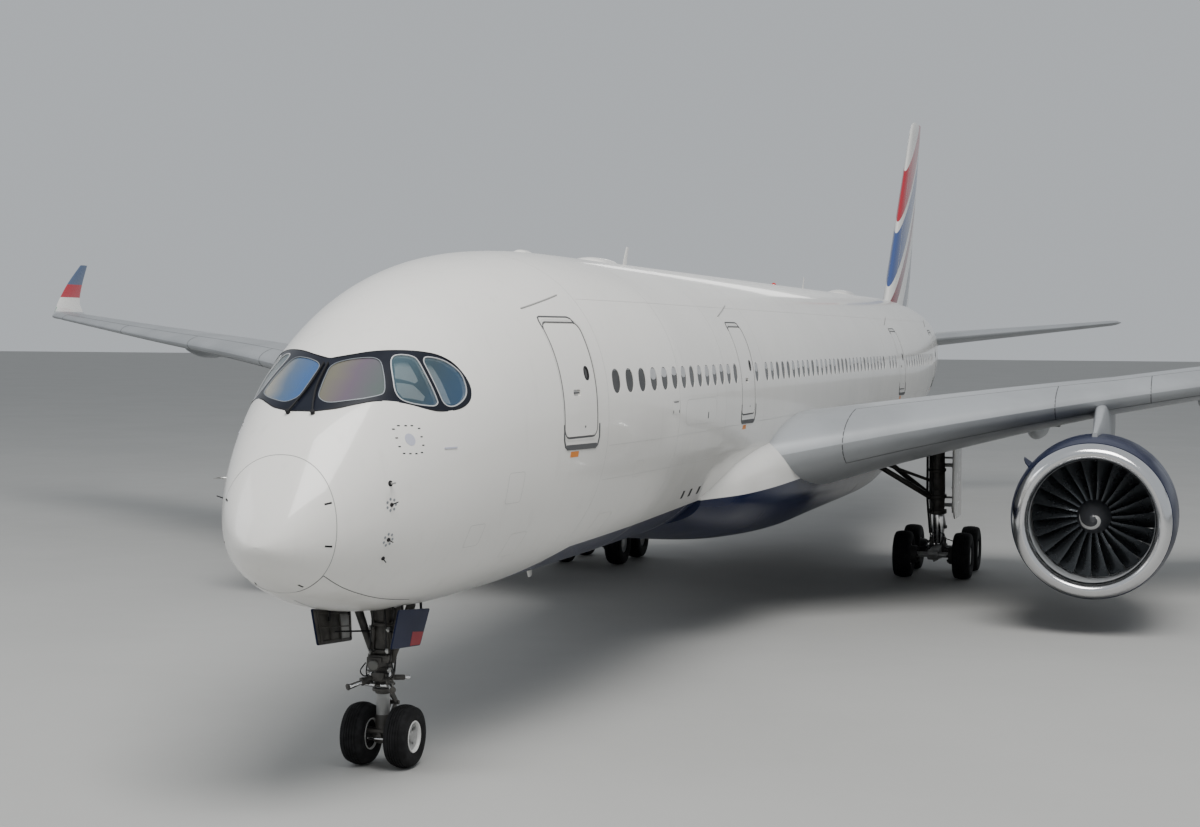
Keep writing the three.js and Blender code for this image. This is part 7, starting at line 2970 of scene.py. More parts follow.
            outline = rounded_outline(outline, 0.04, 3)
            skin = plate(outline, y, 0.028)
            skin.name = "nose_door_skin_" + word
            self.add(skin, Shop.navy, nodes=("nose_gear_door_" + word,), smooth=20)
            middle = outline.mean(0)
            lining = [plate(middle + (outline - middle) * 0.965, y - sign * 0.02, 0.02)]
            for u in self.door_ribs:
                rib = corners(u - 0.012, u + 0.012, 0.06, 0.94)
                lining.append(plate(rib, y - sign * 0.04, 0.026, 0.004))
            for v in self.door_stringers:
                rib = corners(0.06, 0.94, v - 0.02, v + 0.02)
                lining.append(plate(rib, y - sign * 0.038, 0.022, 0.004))
            self.add(Bench.join("nose_door_lining_" + word, lining), Shop.gear_dark)
            inset = plate(corners(0.66, 0.9, 0.12, 0.88), y - sign * 0.034, 0.012)
            inset.name = "nose_door_panel_" + word
            self.add(inset, Shop.gear_grey)
            inboard = y - sign * 0.045
            hangers = [bar((s, inboard, 2.45), (s, inboard - sign * 0.03, 3.2), 0.022, sides=16)
                       for s in (3.7, 4.45)]
            hangers.append(bar((3.9, y - sign * 0.05, 2.25), (self.s - 0.02, sign * 0.13, 2.22), 0.014,
                               sides=12))
            hangers.append(bar((self.s - 0.02, sign * 0.13, 2.26), (self.s - 0.02, sign * 0.13, 2.1), 0.02,
                               sides=12))
            self.add(Bench.join("nose_door_hangers_" + word, hangers), Shop.ink, smooth=40)
            patch = [inside(0.62, 0.03), inside(0.97, 0.03), inside(0.98, 0.37), inside(0.6, 0.4)]
            mark = plate(patch, y + sign * 0.0145, 0.004, bevel=0)
            mark.name = "nose_door_patch_" + word
            self.add(mark, Shop.red)


@dataclass
class MainGear(MirroredAssembly):
    """One main gear: raked leg, stays, bogie, four wheels with brakes and the door on the leg."""

    crease: float = 40.0
    s: float = 33.05
    y: float = 5.3
    axle_z: float = 0.6866
    axle_offset: float = 1.02
    wheel_y: float = 0.865
    top: tuple[float, float, float] = (32.62, 5.3, 4.35)
    tyre: Tyre = Tyre(0.6866, 0.265, 0.305, (-0.12, -0.06, 0.0, 0.06, 0.12), (0.02, 0.015), 0.02)
    hub: Pairs = ((0.205, 0.325), (0.212, 0.315), (0.195, 0.3), (0.14, 0.285), (0.09, 0.25), (0.075, 0.18),
                  (0.11, 0.14), (0.19, 0.12), (0.205, 0.09), (0.205, 0.002), (-0.05, 0.002), (-0.05, 0.09),
                  (-0.2, 0.09), (-0.2, 0.28), (-0.212, 0.315), (-0.205, 0.325), (-0.18, 0.306),
                  (0.18, 0.306))
    brake: Pairs = ((-0.12, 0.1), (-0.12, 0.27), (-0.4, 0.25), (-0.4, 0.1))
    upper_link: Pairs = ((33.0, 1.9), (33.35, 1.82), (33.92, 1.4), (33.88, 1.28), (33.72, 1.33),
                         (33.05, 1.68))
    lower_link: Pairs = ((33.1, 0.84), (33.25, 0.8), (33.92, 1.3), (33.9, 1.42), (33.76, 1.38),
                         (33.1, 1.06))
    yoke: Pairs = ((-0.17, -0.14), (0.17, -0.14), (0.16, 0.42), (-0.16, 0.42))
    beam: Pairs = ((-1.18, -0.06), (-0.92, -0.14), (0, -0.22), (0.92, -0.14), (1.18, -0.06), (1.18, 0.12),
                   (0.92, 0.15), (0, 0.2), (-0.92, 0.15), (-1.18, 0.12))
    hand_holes: tuple[int, float] = (9, 0.215)
    brake_studs: tuple[int, float] = (8, 0.19)
    door_outline: Pairs = ((31.75, 2.05), (32.1, 1.75), (33.55, 1.75), (33.55, 4.2), (31.75, 4.2))
    door_y: float = 5.9
    frames: tuple[float, ...] = (31.95, 32.6, 33.4)
    stringers: tuple[float, ...] = (2.1, 2.7, 3.3, 3.9)
    arms: tuple[float, float] = (2.1, 3.3)

    def point(self, z: float, y: float = 0.0, s: float = 0.0) -> Array:
        """A point of the leg's axis at a height, shifted.

        Args:
            z: The height.
            y: The shift to port.
            s: The shift aft.

        Returns:
            The point.
        """
        foot = np.array([self.s, self.y, self.axle_z])
        share = (z - self.axle_z) / (self.top[2] - self.axle_z)
        return foot + (np.array(self.top) - foot) * share + [s, y, 0]

    def build(self) -> None:
        """Makes the leg, the bogie, the wheels and the door."""
        self.leg()
        self.bogie()
        self.wheels()
        self.door()

    def leg(self) -> None:
        """Outer cylinder, piston, yoke, torque links, stays and hoses."""
        p, s, y, z = self.point, self.s, self.y, self.axle_z
        word = self.side.word
        parts = [
            bar(p(1.85), p(2.6), 0.2, 0.23, 40), bar(p(2.55), p(4.35), 0.23, 0.22, 40),
            bar(p(1.83), p(1.95), 0.25, sides=40), bar(p(2.3), p(2.42), 0.27, sides=40),
            bar(p(3.1), p(3.2), 0.26, sides=40),
            bar(p(2.2), (31.4, 3.6, 3.4), 0.085, 0.075, 24), bar(p(2.2), (34.0, 3.6, 3.3), 0.085, 0.075, 24),
            bar(p(2.75), (32.1, 3.75, 3.35), 0.045, sides=18),
            bar(p(2.9, 0, 0.2), (34.1, 5.2, 3.5), 0.05, sides=18),
            bar(p(1.9, 0, 0.05) - [0, 0.26, 0], p(1.9, 0, 0.05) + [0, 0.26, 0], 0.07, sides=24),
        ]
        for side in (-1, 1):
            parts.append(plate(self.upper_link, y + side * 0.11, 0.05))
            parts.append(plate(self.lower_link, y + side * 0.07, 0.05))
            parts.append(plate(np.array(self.yoke) + [s, z], y + side * 0.185, 0.1, 0.02))
        parts.append(bar((33.83, y - 0.17, 1.35), (33.83, y + 0.17, 1.35), 0.05, sides=20))
        parts.append(bar((s, y - 0.3, z), (s, y + 0.3, z), 0.115, sides=32))
        parts.append(brick((s - 0.16, y - 0.235, z + 0.25), (s + 0.16, y + 0.235, z + 0.42), 0.03))
        self.put(Bench.join("main_leg_" + word, parts), Shop.gear_dark, nodes=("main_gear_leg_" + word,))
        piston = bar(p(z + 0.3), p(1.9), 0.165, sides=48, bevel=0.03)
        piston.name = "main_piston_" + word
        self.put(piston, Shop.chrome)
        runs = []
        for k in range(5):
            angle = math.radians(150 + 25 * k)
            out, across = -0.25 * math.sin(angle / 2), 0.27 * math.cos(angle)
            runs.append(hose([p(3.9, across, out), p(3.0, across * 1.04, out), p(2.3, across * 1.06, out),
                              p(1.75, across * 0.9, out - 0.02), p(1.25, across * 0.8, out + 0.06)], 0.018))
        for end in (-1, 1):
            for across in (-0.2, 0.2):
                runs.append(hose([p(1.25, across, -0.15), (s + end * 0.3, y + across, 1.05),
                                  (s + end * 0.8, y + across * 1.3, 0.95),
                                  (s + end * 1.0, y + across * 2.2, 0.86)], 0.016))
        self.put(Bench.join("main_leg_hoses_" + word, runs), Shop.hose, smooth=60)

    def bogie(self) -> None:
        """The beam with its axles and brake rods."""
        s, y, z, reach = self.s, self.y, self.axle_z, self.axle_offset
        parts = [plate(rounded_outline(np.array(self.beam) + [s, z], 0.06, 3), y, 0.26, 0.03)]
        for end in (-1, 1):
            parts.append(bar((s + end * reach, y - 0.16, z), (s + end * reach, y + 0.16, z), 0.15, sides=32))
            parts.append(bar((s + end * reach, y - 0.6, z), (s + end * reach, y + 0.6, z), 0.078, sides=28))
            parts.append(bar((s + end * 0.1, y, z - 0.24), (s + end * 0.85, y, z - 0.2), 0.03, sides=14))
        word = self.side.word
        self.put(Bench.join("bogie_beam_" + word, parts), Shop.gear_grey, nodes=("bogie_" + word,))

    def wheels(self) -> None:
        """Four wheels on two axles, each pair a body of its own."""
        tyres, rims, brakes = [], [], []
        front = self.s - self.axle_offset
        for sign in (-1, 1):
            centre = (front, self.y + sign * self.wheel_y, self.axle_z)
            tyres.append(spun(self.tyre.profile(), centre, 104, sign))
            rim = spun(self.hub, centre, 64, sign)
            holes = []
            count, ring = self.hand_holes
            for angle in turns(count):
                spot = np.array(centre) + [ring * math.cos(angle), 0, ring * math.sin(angle)]
                holes.append(bar(spot, spot + [0, sign * 0.2, 0], 0.03, sides=20, bevel=0))
            Bench.carve(rim, Bench.join("holes", holes))
            rims.append(rim)
            brakes.append(spun(self.brake, centre, 48, sign))
            count, ring = self.brake_studs
            for angle in turns(count):
                spot = np.array(centre) + [ring * math.cos(angle), -sign * 0.4, ring * math.sin(angle)]
                brakes.append(bar(spot, spot - [0, sign * 0.05, 0], 0.03, sides=12))
        word = self.side.word
        made = {
            "tyres": (Bench.join("tyres", tyres), Shop.tyre),
            "rims": (Bench.join("rims", rims), Shop.wheel_white),
            "brakes": (Bench.join("brakes", brakes), Shop.brake),
        }
        for row, shift in (("front", 0.0), ("rear", 2 * self.axle_offset * SCALE)):
            body = f"wheels_{word}_{row}"
            for kind, (piece, finish) in made.items():
                nodes = (f"main_wheels_{word}_{row}",) if kind == "tyres" else ()
                name = f"main_{kind}_{word}_{row}"
                twin = Bench.copy(piece, name, lambda points, d=shift: points + np.array([0, d, 0]))
                self.put(twin, finish, body, nodes, 50)
        Bench.scrap(*(piece for piece, _ in made.values()))

    def door(self) -> None:
        """The curved door panel carried on the leg by two arms."""
        word = self.side.word
        skin = plate(rounded_outline(self.door_outline, 0.12, 4), self.door_y, 0.045, 0.012)
        skin.name = "main_door_skin_" + word
        self.put(skin, Shop.white, nodes=("main_gear_door_" + word,))
        ribs = [brick((31.85, 5.83, z - 0.02), (33.45, 5.87, z + 0.02), 0.006) for z in self.stringers]
        ribs += [brick((s - 0.02, 5.84, 1.95), (s + 0.02, 5.87, 4.1), 0.006) for s in self.frames]
        for z in self.arms:
            start = self.point(z)
            ribs.append(bar(start, (start[0], 5.87, start[2]), 0.055, sides=20))
            ribs.append(bar(start + [0.3, 0.05, 0.2], (start[0] + 0.3, 5.87, start[2] + 0.2), 0.03,
                            sides=16))
        self.put(Bench.join("main_door_frames_" + word, ribs), Shop.gear_grey)


@dataclass
class CargoDoors(Assembly):
    """The starboard cargo doors on their hinge rods, with the holds behind them."""

    fuselage: Fuselage
    doors: tuple[Doorway, ...] = (Doorway("forward", 12.6, 15.3, 3.05, 4.75, 0.14),
                                  Doorway("aft", 42.7, 45.4, 3.3, 4.85, 0.14))
    hinges: tuple[tuple[float, float], ...] = ((-2.885966, 4.8), (-2.909358, 4.9))
    depth: float = 0.12
    run: float = 0.013
    hold: tuple[float, float] = (0.75, 0.1)
    rod: float = 0.03
    knuckle: float = 0.06
    gutter: float = 0.1
    end_block: float = 0.12
    lugs: tuple[float, ...] = (0.12, 0.5, 0.88)
    lug: float = 0.22
    strap: tuple[float, float] = (0.1, 0.2)
    strap_space: tuple[float, float, float] = (0.3, 0.12, 0.25)
    latches: tuple[int, float, float] = (6, 0.3, 0.12)
    latch_well: tuple[float, float, float] = (0.16, 0.1, 0.02)
    latch_grip: tuple[float, float, float] = (0.12, 0.03, 0.01)
    hold_side: float = 3.4
    wall: float = 0.02
    wall_gap: float = 0.004
    tracks: tuple[float, ...] = (0.16, 0.38, 0.62, 0.84)
    track: tuple[float, float] = (0.13, 0.03)
    roller: tuple[float, float, float] = (0.045, 0.022, 0.13)

    def build(self) -> None:
        """Opens the hull at each door and hangs the door there."""
        for door, (y, z) in zip(self.doors, self.hinges):
            self.door(door, y, z)

    def door(self, door: Doorway, y: float, z: float) -> None:
        """One cargo door with its hinge, straps, latches and hold.

        Args:
            door: The door's opening.
            y: The hinge's distance to port.
            z: The hinge's height.
        """
        form, name, run = self.fuselage.form, "cargo_door_" + door.name, self.run
        hull = self.fuselage.barrel_at(door.front)

        def slab(word: str, gap: float, low: float, high: float) -> Piece:
            """A slab with the doorway's outline."""
            return form.lie(Bench.slab(word, door.outline(gap), 0.1, low, high), -1)

        def rod(start: float, end: float, radius: float) -> Piece:
            """A rod along the hinge."""
            return bar((start, y, z), (end, y, z), radius, sides=32, bevel=0)

        Bench.carve(hull, slab("doorway", 0, -self.depth - run, 0.08))
        depth, inset = self.hold
        inner = float(form.beside(np.array(14.0), np.array(door.sill), -1)[1]) + depth
        pocket = np.array([(door.front + inset, -self.hold_side, door.sill + inset),
                           (door.back - inset, inner, door.head - inset)])
        Bench.carve(hull, brick(*pocket, 0))
        self.line_hold(door, pocket)
        ends = (door.front + self.end_block, door.back - self.end_block)
        Bench.carve(hull, rod(*ends, self.gutter))
        leaf, joints = slab(name + "_leaf", run, -self.depth, -0.0005), []
        count, aside, rise = self.latches
        for s in np.linspace(door.front + aside, door.back - aside, count):
            well = np.array(rounded_box(*self.latch_well)) + [s, door.sill + rise]
            Bench.carve(leaf, form.lie(Bench.slab("well", well, 0.2, -0.02, 0.05), -1))
            grip = np.array(rounded_box(*self.latch_grip)) + [s, door.sill + rise]
            joints.append(form.lie(Bench.slab("grip", grip, 0.2, -0.02, -0.003), -1))
        for share in self.lugs:
            middle = door.front + share * (door.back - door.front)
            low, high = middle - self.lug / 2, middle + self.lug / 2
            outside, inside, below = self.strap_space
            Bench.carve(hull, brick((low - run, y - outside, door.head - below),
                                    (high + run, y + inside, z + 0.005), 0))
            joints.append(rod(low, high, self.knuckle))
            strap = brick((low, y - 0.02, door.head - self.strap[1]), (high, y + self.strap[0], z), 0)
            Bench.carve(strap, form.lie(Bench.slab("skin", door.outline(-0.4), 0.1, -0.4, -0.004), -1),
                        Cut.KEEP)
            joints.append(strap)
        self.add(form.polish(leaf), Shop.fuselage, "cargo_door_" + door.name, (name,), smooth=None)
        self.add(Bench.join(name + "_fittings", joints), Shop.steel, "cargo_door_" + door.name)
        fixed = [rod(door.front - 0.02, door.back + 0.02, self.rod),
                 rod(door.front - 0.02, ends[0], self.knuckle), rod(ends[1], door.back + 0.02, self.knuckle)]
        self.add(Bench.join(name + "_hinge", fixed), Shop.steel)
        outline = dense(door.outline(-0.07), 0.1)
        onto = form.beside(outline[:, 0], outline[:, 1], -1)
        self.add(form.band(name + "_frame", onto, 0.016, 0.0025), Shop.faint)

    def line_hold(self, door: Doorway, pocket: Array) -> None:
        """Lines a hold behind its door and lays its floor with rollers.

        Args:
            door: The door's opening.
            pocket: Lowest and highest corner of the space behind it.
        """
        form, low, high = self.fuselage.form, pocket[0], pocket[1]

        def behind_door(piece: Piece) -> Piece:
            """What of a piece stays clear of the closed door."""
            way = Bench.slab("doorway", door.outline(-0.05), 0.1, -self.depth - 2 * self.run, 1.2)
            return Bench.carve(piece, form.lie(way, -1))

        shell = brick(low + self.wall_gap, high - self.wall_gap, 0)
        room = np.array([low + self.wall, high - self.wall])
        Bench.carve(shell, brick(room[0] - [0, 1, 0], room[1], 0))
        shell.name = "hold_lining_" + door.name
        self.add(behind_door(shell), Shop.hold, smooth=20)
        top = room[0][2] + self.track[1]
        floor = [behind_door(brick(room[0], (room[1][0], room[1][1], top), 0))]
        rollers, (radius, rise, pitch) = [], self.roller
        for share in self.tracks:
            s = room[0][0] + share * (room[1][0] - room[0][0])
            edge = float(form.beside(np.array(s), np.array(door.sill), -1)[1]) + self.depth + 0.1
            for y in np.arange(edge, room[1][1] - radius, pitch):
                rollers.append(bar((s - self.track[0] / 2, y, top), (s + self.track[0] / 2, y, top), rise,
                                   sides=12, bevel=0))
        self.add(Bench.join("hold_floor_" + door.name, floor), Shop.deck, smooth=20)
        self.add(Bench.join("hold_rollers_" + door.name, rollers), Shop.steel)


@dataclass
class Trim(Assembly):
    """Seams, probes, latches, panels, aerials and lights on the hull."""

    fuselage: Fuselage
    seams: tuple[float, ...] = (8.1, 11.9, 15.7, 19.5, 38.0, 42.11, 48.4, 54.0, 58.6, 62.6)
    radome_seam: tuple[float, float, float] = (0.8, 0.013, 0.0015)
    seam: tuple[float, float] = (0.011, 0.0012)
    laps: tuple[float, ...] = (4.5, 5.12, 7.72)
    lap: tuple[float, float] = (0.009, 0.0009)
    lap_pitch: float = 0.38
    lap_gap: float = 0.09
    lap_ends: tuple[float, float] = (8.2, 53.0)
    probe: tuple[float, float] = (1.626, 4.878)
    probe_reach: float = 0.11
    probe_tip: float = 0.16
    pins: Rows = ((1.628, 4.564, 0.14, 0.05), (1.653, 4.045, 0.1, -0.01), (1.679, 3.762, 0.07, -0.03))
    pin_foot: tuple[float, float] = (0.035, 0.028)
    studs: tuple[int, float, float] = (7, 0.085, 0.022)
    dash: tuple[float, float, float] = (0.045, 0.018, 0.006)
    plate: tuple[float, float, float] = (2.15, 5.5, 0.09)
    dashes: Pairs = ((1.943, 5.661), (2.045, 5.709), (2.161, 5.705), (2.264, 5.702), (2.375, 5.658),
                     (2.373, 5.532), (2.366, 5.407), (2.311, 5.3), (2.198, 5.289), (2.084, 5.294),
                     (1.971, 5.302), (1.926, 5.405), (1.93, 5.532))
    latches: tuple = (((0.604, 0.773, 4.634), (0.693, 0.847, 4.655)),
                      ((0.56, 0.801, 4.04), (0.666, 0.864, 4.028)),
                      ((0.631, 0.344, 3.46), (0.728, 0.374, 3.417)))
    strip: tuple[float, float, float, float] = (2.947, 5.341, 0.29, 0.024)
    gear_line: Triples = ((0.78, 0.67, 3.59), (1.31, 0.73, 3.35), (1.91, 0.78, 3.17), (2.44, 0.81, 3.05),
                          (3.45, 0.86, 2.9))
    chin_line: Triples = ((0.775, 0.674, 3.587), (0.776, 0.562, 3.493), (0.793, 0.431, 3.407),
                          (0.812, 0.231, 3.33))
    chin_band: tuple[float, float] = (0.014, 0.002)
    middle_run: tuple[float, float] = (1.2, 3.5)
    middle_band: tuple[float, float] = (0.012, 0.002)
    slots: tuple[float, ...] = (14.39, 14.99, 15.68)
    jack: float = 8.8
    marks: Rows = ((14.16, 5.44, 0.06, 0.13), (11.48, 5.6, 0.04, 0.06), (11.86, 5.6, 0.04, 0.06),
                   (11.66, 5.79, 0.3, 0.02))
    slot: Pairs = ((-0.06, 3.665), (0.1, 3.665), (-0.12, 3.846), (-0.27, 3.846))
    boxes: Rows = ((11.66, 5.68, 0.54, 0.26), (13.6, 5.55, 2.5, 0.52), (9.9, 4.6, 0.4, 0.3),
                   (4.8, 4.6, 0.5, 0.5), (5.5, 3.6, 0.6, 0.4), (9.2, 3.6, 0.7, 0.45),
                   (3.9, 3.9, 0.45, 0.35), (46.9, 4.3, 0.6, 0.4), (49.6, 4.9, 0.4, 0.3),
                   (57.2, 6.2, 0.6, 0.4), (60.4, 6.8, 0.5, 0.3))
    blades: tuple = ((17.7, True, 0.34, 0.46, 0.34), (38.4, True, 0.34, 0.42, 0.26),
                     (11.2, False, 0.4, 0.32, 0.2), (15.2, False, 0.3, 0.22, 0.15),
                     (45.8, False, 0.4, 0.34, 0.2), (49.2, False, 0.25, 0.28, 0.2))
    blade_rows: tuple[float, ...] = (-0.15, 0.4, 0.8, 0.97, 1.0)
    domes: tuple = (("roof_aerial", 10.65, 0.64, 0.2, 0.07), ("satellite_dome", 14.75, 1.65, 0.46, 0.11),
                    ("data_dome", 44.3, 2.3, 0.5, 0.16))
    dome_foot: float = 0.1
    beacons: tuple[float, float] = (34.0, 1.98)
    beacon: Pairs = ((-0.03, 0.09), (0.02, 0.09), (0.06, 0.075), (0.09, 0.04), (0.1, 0.003), (-0.03, 0.003))

    def ring(self, name: str, s: float, width: float, rise: float) -> Piece:
        """A thin band round the hull at a station.

        Args:
            name: Its name.
            s: Its station.
            width: Its width.
            rise: How far it stands out.

        Returns:
            The band.
        """
        angles = turns(140)
        stations = self.fuselage.bend(np.full(len(angles), s), angles)
        return self.fuselage.form.band(name, self.fuselage.form.at(stations, angles), width, rise)

    def patch(self, name: str, outline: Sequence, side: int, rise: float, low: float = -0.003) -> Piece:
        """A small plate on the side of the hull."""
        return self.fuselage.form.lie(Bench.slab(name, outline, 0.1, low, rise), side)

    def on(self, points: Sequence, lift: float = 0.0) -> Array:
        """Points moved onto the skin along their angle.

        Args:
            points: Points in full-size metres.
            lift: Distance outside the skin.

        Returns:
            The points on the skin.
        """
        table = np.asarray(points, float)
        form = self.fuselage.form
        return form.at(table[..., 0], form.angle_of(table), lift)

    def build(self) -> None:
        """Makes the trim of the whole hull."""
        form = self.fuselage.form
        self.add(self.ring("radome_seam", *self.radome_seam), Shop.gutter)
        seams = [self.ring("seam", s, *self.seam) for s in self.seams]
        self.add(Bench.join("hull_seams", seams), Shop.faint)
        laps, around = [], [self.lap_ends[0]]
        for door in CargoDoors.doors:
            around += [door.front - self.lap_gap, door.back + self.lap_gap]
        around.append(self.lap_ends[1])
        for side in Side:
            for z in self.laps:
                crossed = side is Side.RIGHT and z < CargoDoors.doors[0].head
                stops = around if crossed else self.lap_ends
                for start, end in zip(stops[::2], stops[1::2]):
                    count = round((end - start) / self.lap_pitch)
                    line = form.beside(np.linspace(start, end, count), np.full(count, z), side.value)
                    laps.append(form.band("lap", line, *self.lap, False))
        self.add(Bench.join("lap_seams", laps), Shop.faint)
        self.chin()
        self.sensors()
        self.panels()
        self.aerials()
        self.lights()

    def chin(self) -> None:
        """The closed front gear doors' outline under the nose."""
        lines = []
        for side in Side:
            for table in (self.gear_line, self.chin_line):
                line = np.array(smooth_run(np.array(table) * [1, side.value, 1], 8))
                lines.append(self.fuselage.form.band("line", self.on(line), *self.chin_band, False))
        middle = np.column_stack([np.linspace(*self.middle_run, 30), np.zeros(30), np.full(30, 2.0)])
        lines.append(self.fuselage.form.band("line", self.on(middle), *self.middle_band, False))
        self.add(Bench.join("front_gear_door_gaps", lines), Shop.seam)

    def sensors(self) -> None:
        """Probes, the pressure plates in their dashes and the radome latches."""
        form = self.fuselage.form
        dark, steel, rings, plates = [], [], [], []
        for side in Side:
            def root_of(s: float, z: float) -> tuple[Array, Array]:
                """A point of the skin and the way out from it."""
                spot = form.beside(np.array(s), np.array(z), side.value)
                return spot, form.normal(*spot)

            root, out = root_of(*self.probe)
            reach = self.probe_reach
            steel.append(bar(root, root + out * reach, 0.02, 0.014, 14))
            bend, tip = root + out * (reach - 0.005), root + out * (reach + 0.005) - [self.probe_tip, 0, 0]
            steel.append(bar(bend, tip, 0.014, 0.007, 12))
            dark.append(bar(root - out * 0.01, root + out * 0.004, 0.045, sides=24, bevel=0))
            for s, z, reach, lift in self.pins:
                root, out = root_of(s, z)
                dark.append(bar(root - out * 0.01, root + out * 0.02, *self.pin_foot, 20))
                dark.append(bar(root, root + out * reach + [0, 0, lift], 0.011, 0.008, 10, 0))
            count, ring, radius = self.studs
            for s, z, *_ in self.pins[:2]:
                for angle in turns(count):
                    spot, out = root_of(s + ring * math.cos(angle), z + ring * math.sin(angle))
                    rings.append(bar(spot - out * 0.01, spot + out * 0.002, radius, sides=12, bevel=0))
            for s, z in self.dashes:
                spot = np.array(rounded_box(*self.dash)) + [s, z]
                dark.append(self.patch("dash", spot, side.value, 0.002))
            s, z, radius = self.plate
            plates.append(self.patch("plate", oval(2 * radius, 2 * radius, 2.0) + [s, z], side.value, 0.003))
            s, z, width, height = self.strip
            plates.append(self.patch("strip", np.array(rounded_box(width, height, 0.008)) + [s, z],
                                     side.value, 0.012))
            for latch in self.latches:
                line = self.on(np.array(latch) * [1, side.value, 1])
                dark.append(form.band("latch", line, 0.03, 0.003, False))
            for s in self.slots if side is Side.LEFT else ():
                slot = np.array(self.slot) + [s, 0]
                dark.append(self.patch("slot", slot, side.value, 0.003))
        self.add(Bench.join("probe_bases", dark), Shop.ink)
        self.add(Bench.join("probes", steel), Shop.steel)
        self.add(Bench.join("probe_rings", rings), Shop.rim_dull)
        self.add(Bench.join("pressure_plates", plates), Shop.sensor_plate)
        keel = float(form.section(np.array(self.jack))[1])
        pad = bar((self.jack, 0, keel - 0.06), (self.jack, 0, keel + 0.06), 0.09)
        pad.name = "nose_jack_pad"
        self.add(pad, Shop.steel)

    def panels(self) -> None:
        """Faint outlines of access panels along the sides."""
        form = self.fuselage.form
        bands = []
        for side in Side:
            for s, z, width, height in self.boxes:
                line = dense(np.array(rounded_box(width, height, min(0.24, 0.09 * width + 0.01))) + [s, z],
                             0.08)
                onto = form.beside(line[:, 0], line[:, 1], side.value)
                bands.append(form.band("panel", onto, 0.009, 0.001))
        self.add(Bench.join("access_panels", bands), Shop.faint)
        marks = [self.patch("mark", np.array(rounded_box(width, height, 0.01)) + [s, z], side.value, 0.002)
                 for side in Side for s, z, width, height in self.marks]
        self.add(Bench.join("panel_marks", marks), Shop.seam)

    def blade(self, s: float, top: bool, chord: float, height: float, lean: float) -> Piece:
        """A blade aerial on the crown or the keel.

        Args:
            s: Station of its front.
            top: Whether it stands on the crown.
            chord: Its length at the root.
            height: Its height.
            lean: How far it leans aft.

        Returns:
            The blade.
        """
        crown, keel, *_ = self.fuselage.form.section(np.array(s))
        base, sign = (float(crown), 1) if top else (float(keel), -1)
        x = np.linspace(0, 1, 10)
        half = 0.09 * chord * np.sqrt(x) * (1 - x)
        section = np.concatenate([np.column_stack([x, half]), np.column_stack([x, -half])[::-1][1:-1]])
        rings = []
        for share in self.blade_rows:
            width = chord * (1 - 0.45 * max(share, 0)) * (0.6 if share == 1 else 1)
            rings.append(np.column_stack([s + lean * max(share, 0) + section[:, 0] * width, section[:, 1],
                                          np.full(len(section), base + sign * height * share)]))
        return Bench.loft("blade", place(rings))

    def aerials(self) -> None:
        """Blade aerials above and below, and the domes on the crown."""
        blades = [self.blade(*blade) for blade in self.blades]
        self.add(Bench.join("blade_aerials", blades), Shop.white, smooth=50)
        stations, angles = np.linspace(0, 1, 30)[:, None], turns(40)[None, :]
        for name, start, length, half, height in self.domes:
            swell = np.clip(1 - np.abs(2 * stations - 1) ** 4, 0, 1) ** 0.5
            crown = self.fuselage.form.section(start + length * stations)[0]
            across = half * swell * np.cos(angles)
            rise = (height + self.dome_foot) * swell * np.clip(np.sin(angles), -0.4, 1)
            up = crown - self.dome_foot + rise
            along = np.broadcast_to(start + length * stations, across.shape)
            dome = Bench.loft(name, place(np.stack([along, across, up], -1)))
            self.add(dome, Shop.white, smooth=50)

    def lights(self) -> None:
        """Red beacons above and below, and the tail cone's outlet."""
        s, low = self.beacons
        crown = self.fuselage.form.section(np.array(s))[0]
        for name, z, sign in (("beacon_upper", float(crown), 1), ("beacon_lower", low, -1)):
            lamp = Bench.turn(name, scaled(self.beacon), place((s, 0, z)), (0, 0, sign), 28)
            self.add(lamp, Shop.lamp_red)
        top, bottom, *_ = self.fuselage.form.section(np.array(LENGTH))
        middle = float(top + bottom) / 2
        radius, depth = self.fuselage.outlet
        liner = [(-depth, 0.003), (-depth, radius - 0.01), (-0.02, radius - 0.012), (-0.02, radius - 0.002),
                 (-depth - 0.02, radius - 0.002), (-depth - 0.02, 0.003)]
        outlet = Bench.turn("tail_outlet", scaled(liner), place((LENGTH, 0, middle)), (0, 1, 0), 40)
        self.add(outlet, Shop.exhaust)


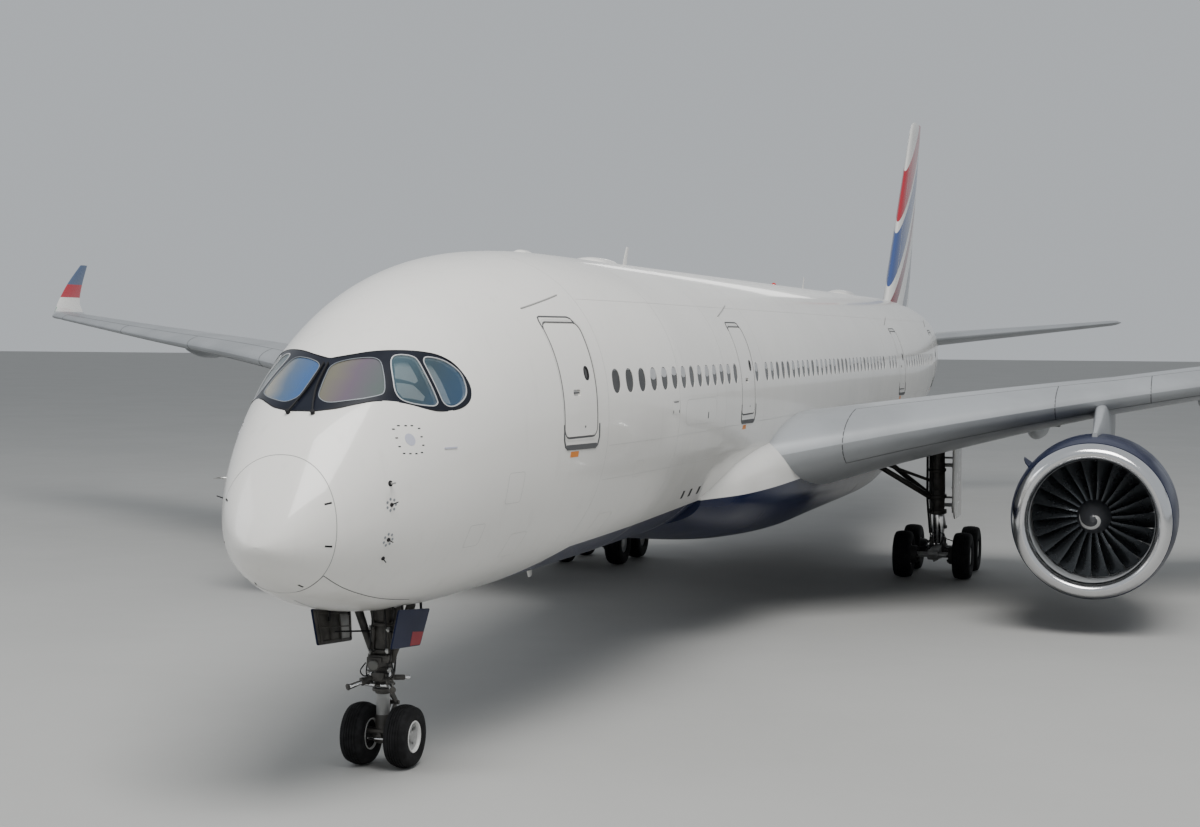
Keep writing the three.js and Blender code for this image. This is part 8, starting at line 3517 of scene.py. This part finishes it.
@dataclass(frozen=True)
class Shot:
    """Camera, light and floor of the picture."""

    position: tuple[float, float, float] = (6.305, -28.62, 3.5225)
    yaw: float = 17.525
    pitch: float = 2.318
    roll: float = 0.325
    focal_share: float = 1887.5 / 1200
    sensor: float = 36.0
    far_end: float = 400.0
    floor_size: float = 600.0
    sky: tuple[float, float, float, float] = (0.80, 0.84, 0.88, 1)
    sky_power: float = 0.62
    lamps: tuple = (
        ("key", (10, -26, 34), (0, -8, 2), (22, 22), 17000, (1.0, 0.985, 0.96)),
        ("fill", (-30, -26, 18), (0, -8, 2), (20, 20), 3000, (0.94, 0.97, 1.0)),
        ("rim", (-15.8, 79.5, 19.4), (0, -9, 4), (17, 3.0), 450, (1.0, 0.99, 0.96)),
    )

    def camera(self) -> None:
        """Stands the camera where the photo was taken."""
        yaw, pitch, roll = (math.radians(a) for a in (self.yaw, self.pitch, self.roll))
        forward = Vector((-math.sin(yaw) * math.cos(pitch), math.cos(yaw) * math.cos(pitch),
                          -math.sin(pitch)))
        right = Vector((math.cos(yaw), math.sin(yaw), 0))
        above = right.cross(forward)
        across = right * math.cos(roll) + above * math.sin(roll)
        up = -right * math.sin(roll) + above * math.cos(roll)
        matrix = Matrix((across, up, -forward)).transposed().to_4x4()
        matrix.translation = Vector(self.position)
        data = bpy.data.cameras.new("camera")
        data.sensor_width = self.sensor
        data.lens = self.focal_share * self.sensor
        data.clip_end = self.far_end
        camera = bpy.data.objects.new("camera", data)
        bpy.context.scene.collection.objects.link(camera)
        camera.matrix_world = matrix
        bpy.context.scene.camera = camera

    def light(self, name: str, place_at: Sequence, target: Sequence, size: tuple[float, float],
              power: float, tint: Colour) -> None:
        """One large soft lamp, which the camera itself doesn't see.

        Args:
            name: The lamp's name.
            place_at: Where it stands.
            target: What it is turned to.
            size: Its width and height.
            power: Its power in watts.
            tint: Its colour.
        """
        data = bpy.data.lights.new(name, "AREA")
        data.shape = "RECTANGLE"
        data.size, data.size_y = size
        data.energy = power
        data.color = tint
        lamp = bpy.data.objects.new(name, data)
        bpy.context.scene.collection.objects.link(lamp)
        lamp.location = place_at
        lamp.rotation_euler = (Vector(target) - Vector(place_at)).to_track_quat("-Z", "Y").to_euler()
        lamp.visible_camera = False

    def studio(self) -> None:
        """A plain pale floor under soft light."""
        Bench.clear()
        bpy.ops.mesh.primitive_plane_add(size=self.floor_size)
        floor = Bench.newest("floor")
        floor.data.materials.append(Shop.floor.material())
        world = bpy.data.worlds.new("studio")
        world.use_nodes = True
        background = world.node_tree.nodes["Background"]
        background.inputs[0].default_value = self.sky
        background.inputs[1].default_value = self.sky_power
        bpy.context.scene.world = world
        for lamp in self.lamps:
            self.light(*lamp)


def main() -> None:
    """Builds the aircraft, dresses it and sets the picture up."""
    logging.basicConfig(level=logging.INFO, format="%(name)s: %(message)s")
    fuselage = Fuselage()
    assemblies = [fuselage, FlightDeck(fuselage), PassengerDoors(fuselage), CabinWindows(fuselage),
                  *(Wing(side) for side in Side), Tail(), BellyFairing(fuselage),
                  *(Engine(side) for side in Side), NoseGear(), *(MainGear(side) for side in Side),
                  CargoDoors(fuselage), Trim(fuselage)]
    for assembly in assemblies:
        assembly.build()
        LOG.info("built %s", type(assembly).__name__)
    fuselage.finish()
    for assembly in assemblies:
        assembly.dress()
    shot = Shot()
    shot.camera()
    shot.studio()


if __name__ == "__main__":
    main()
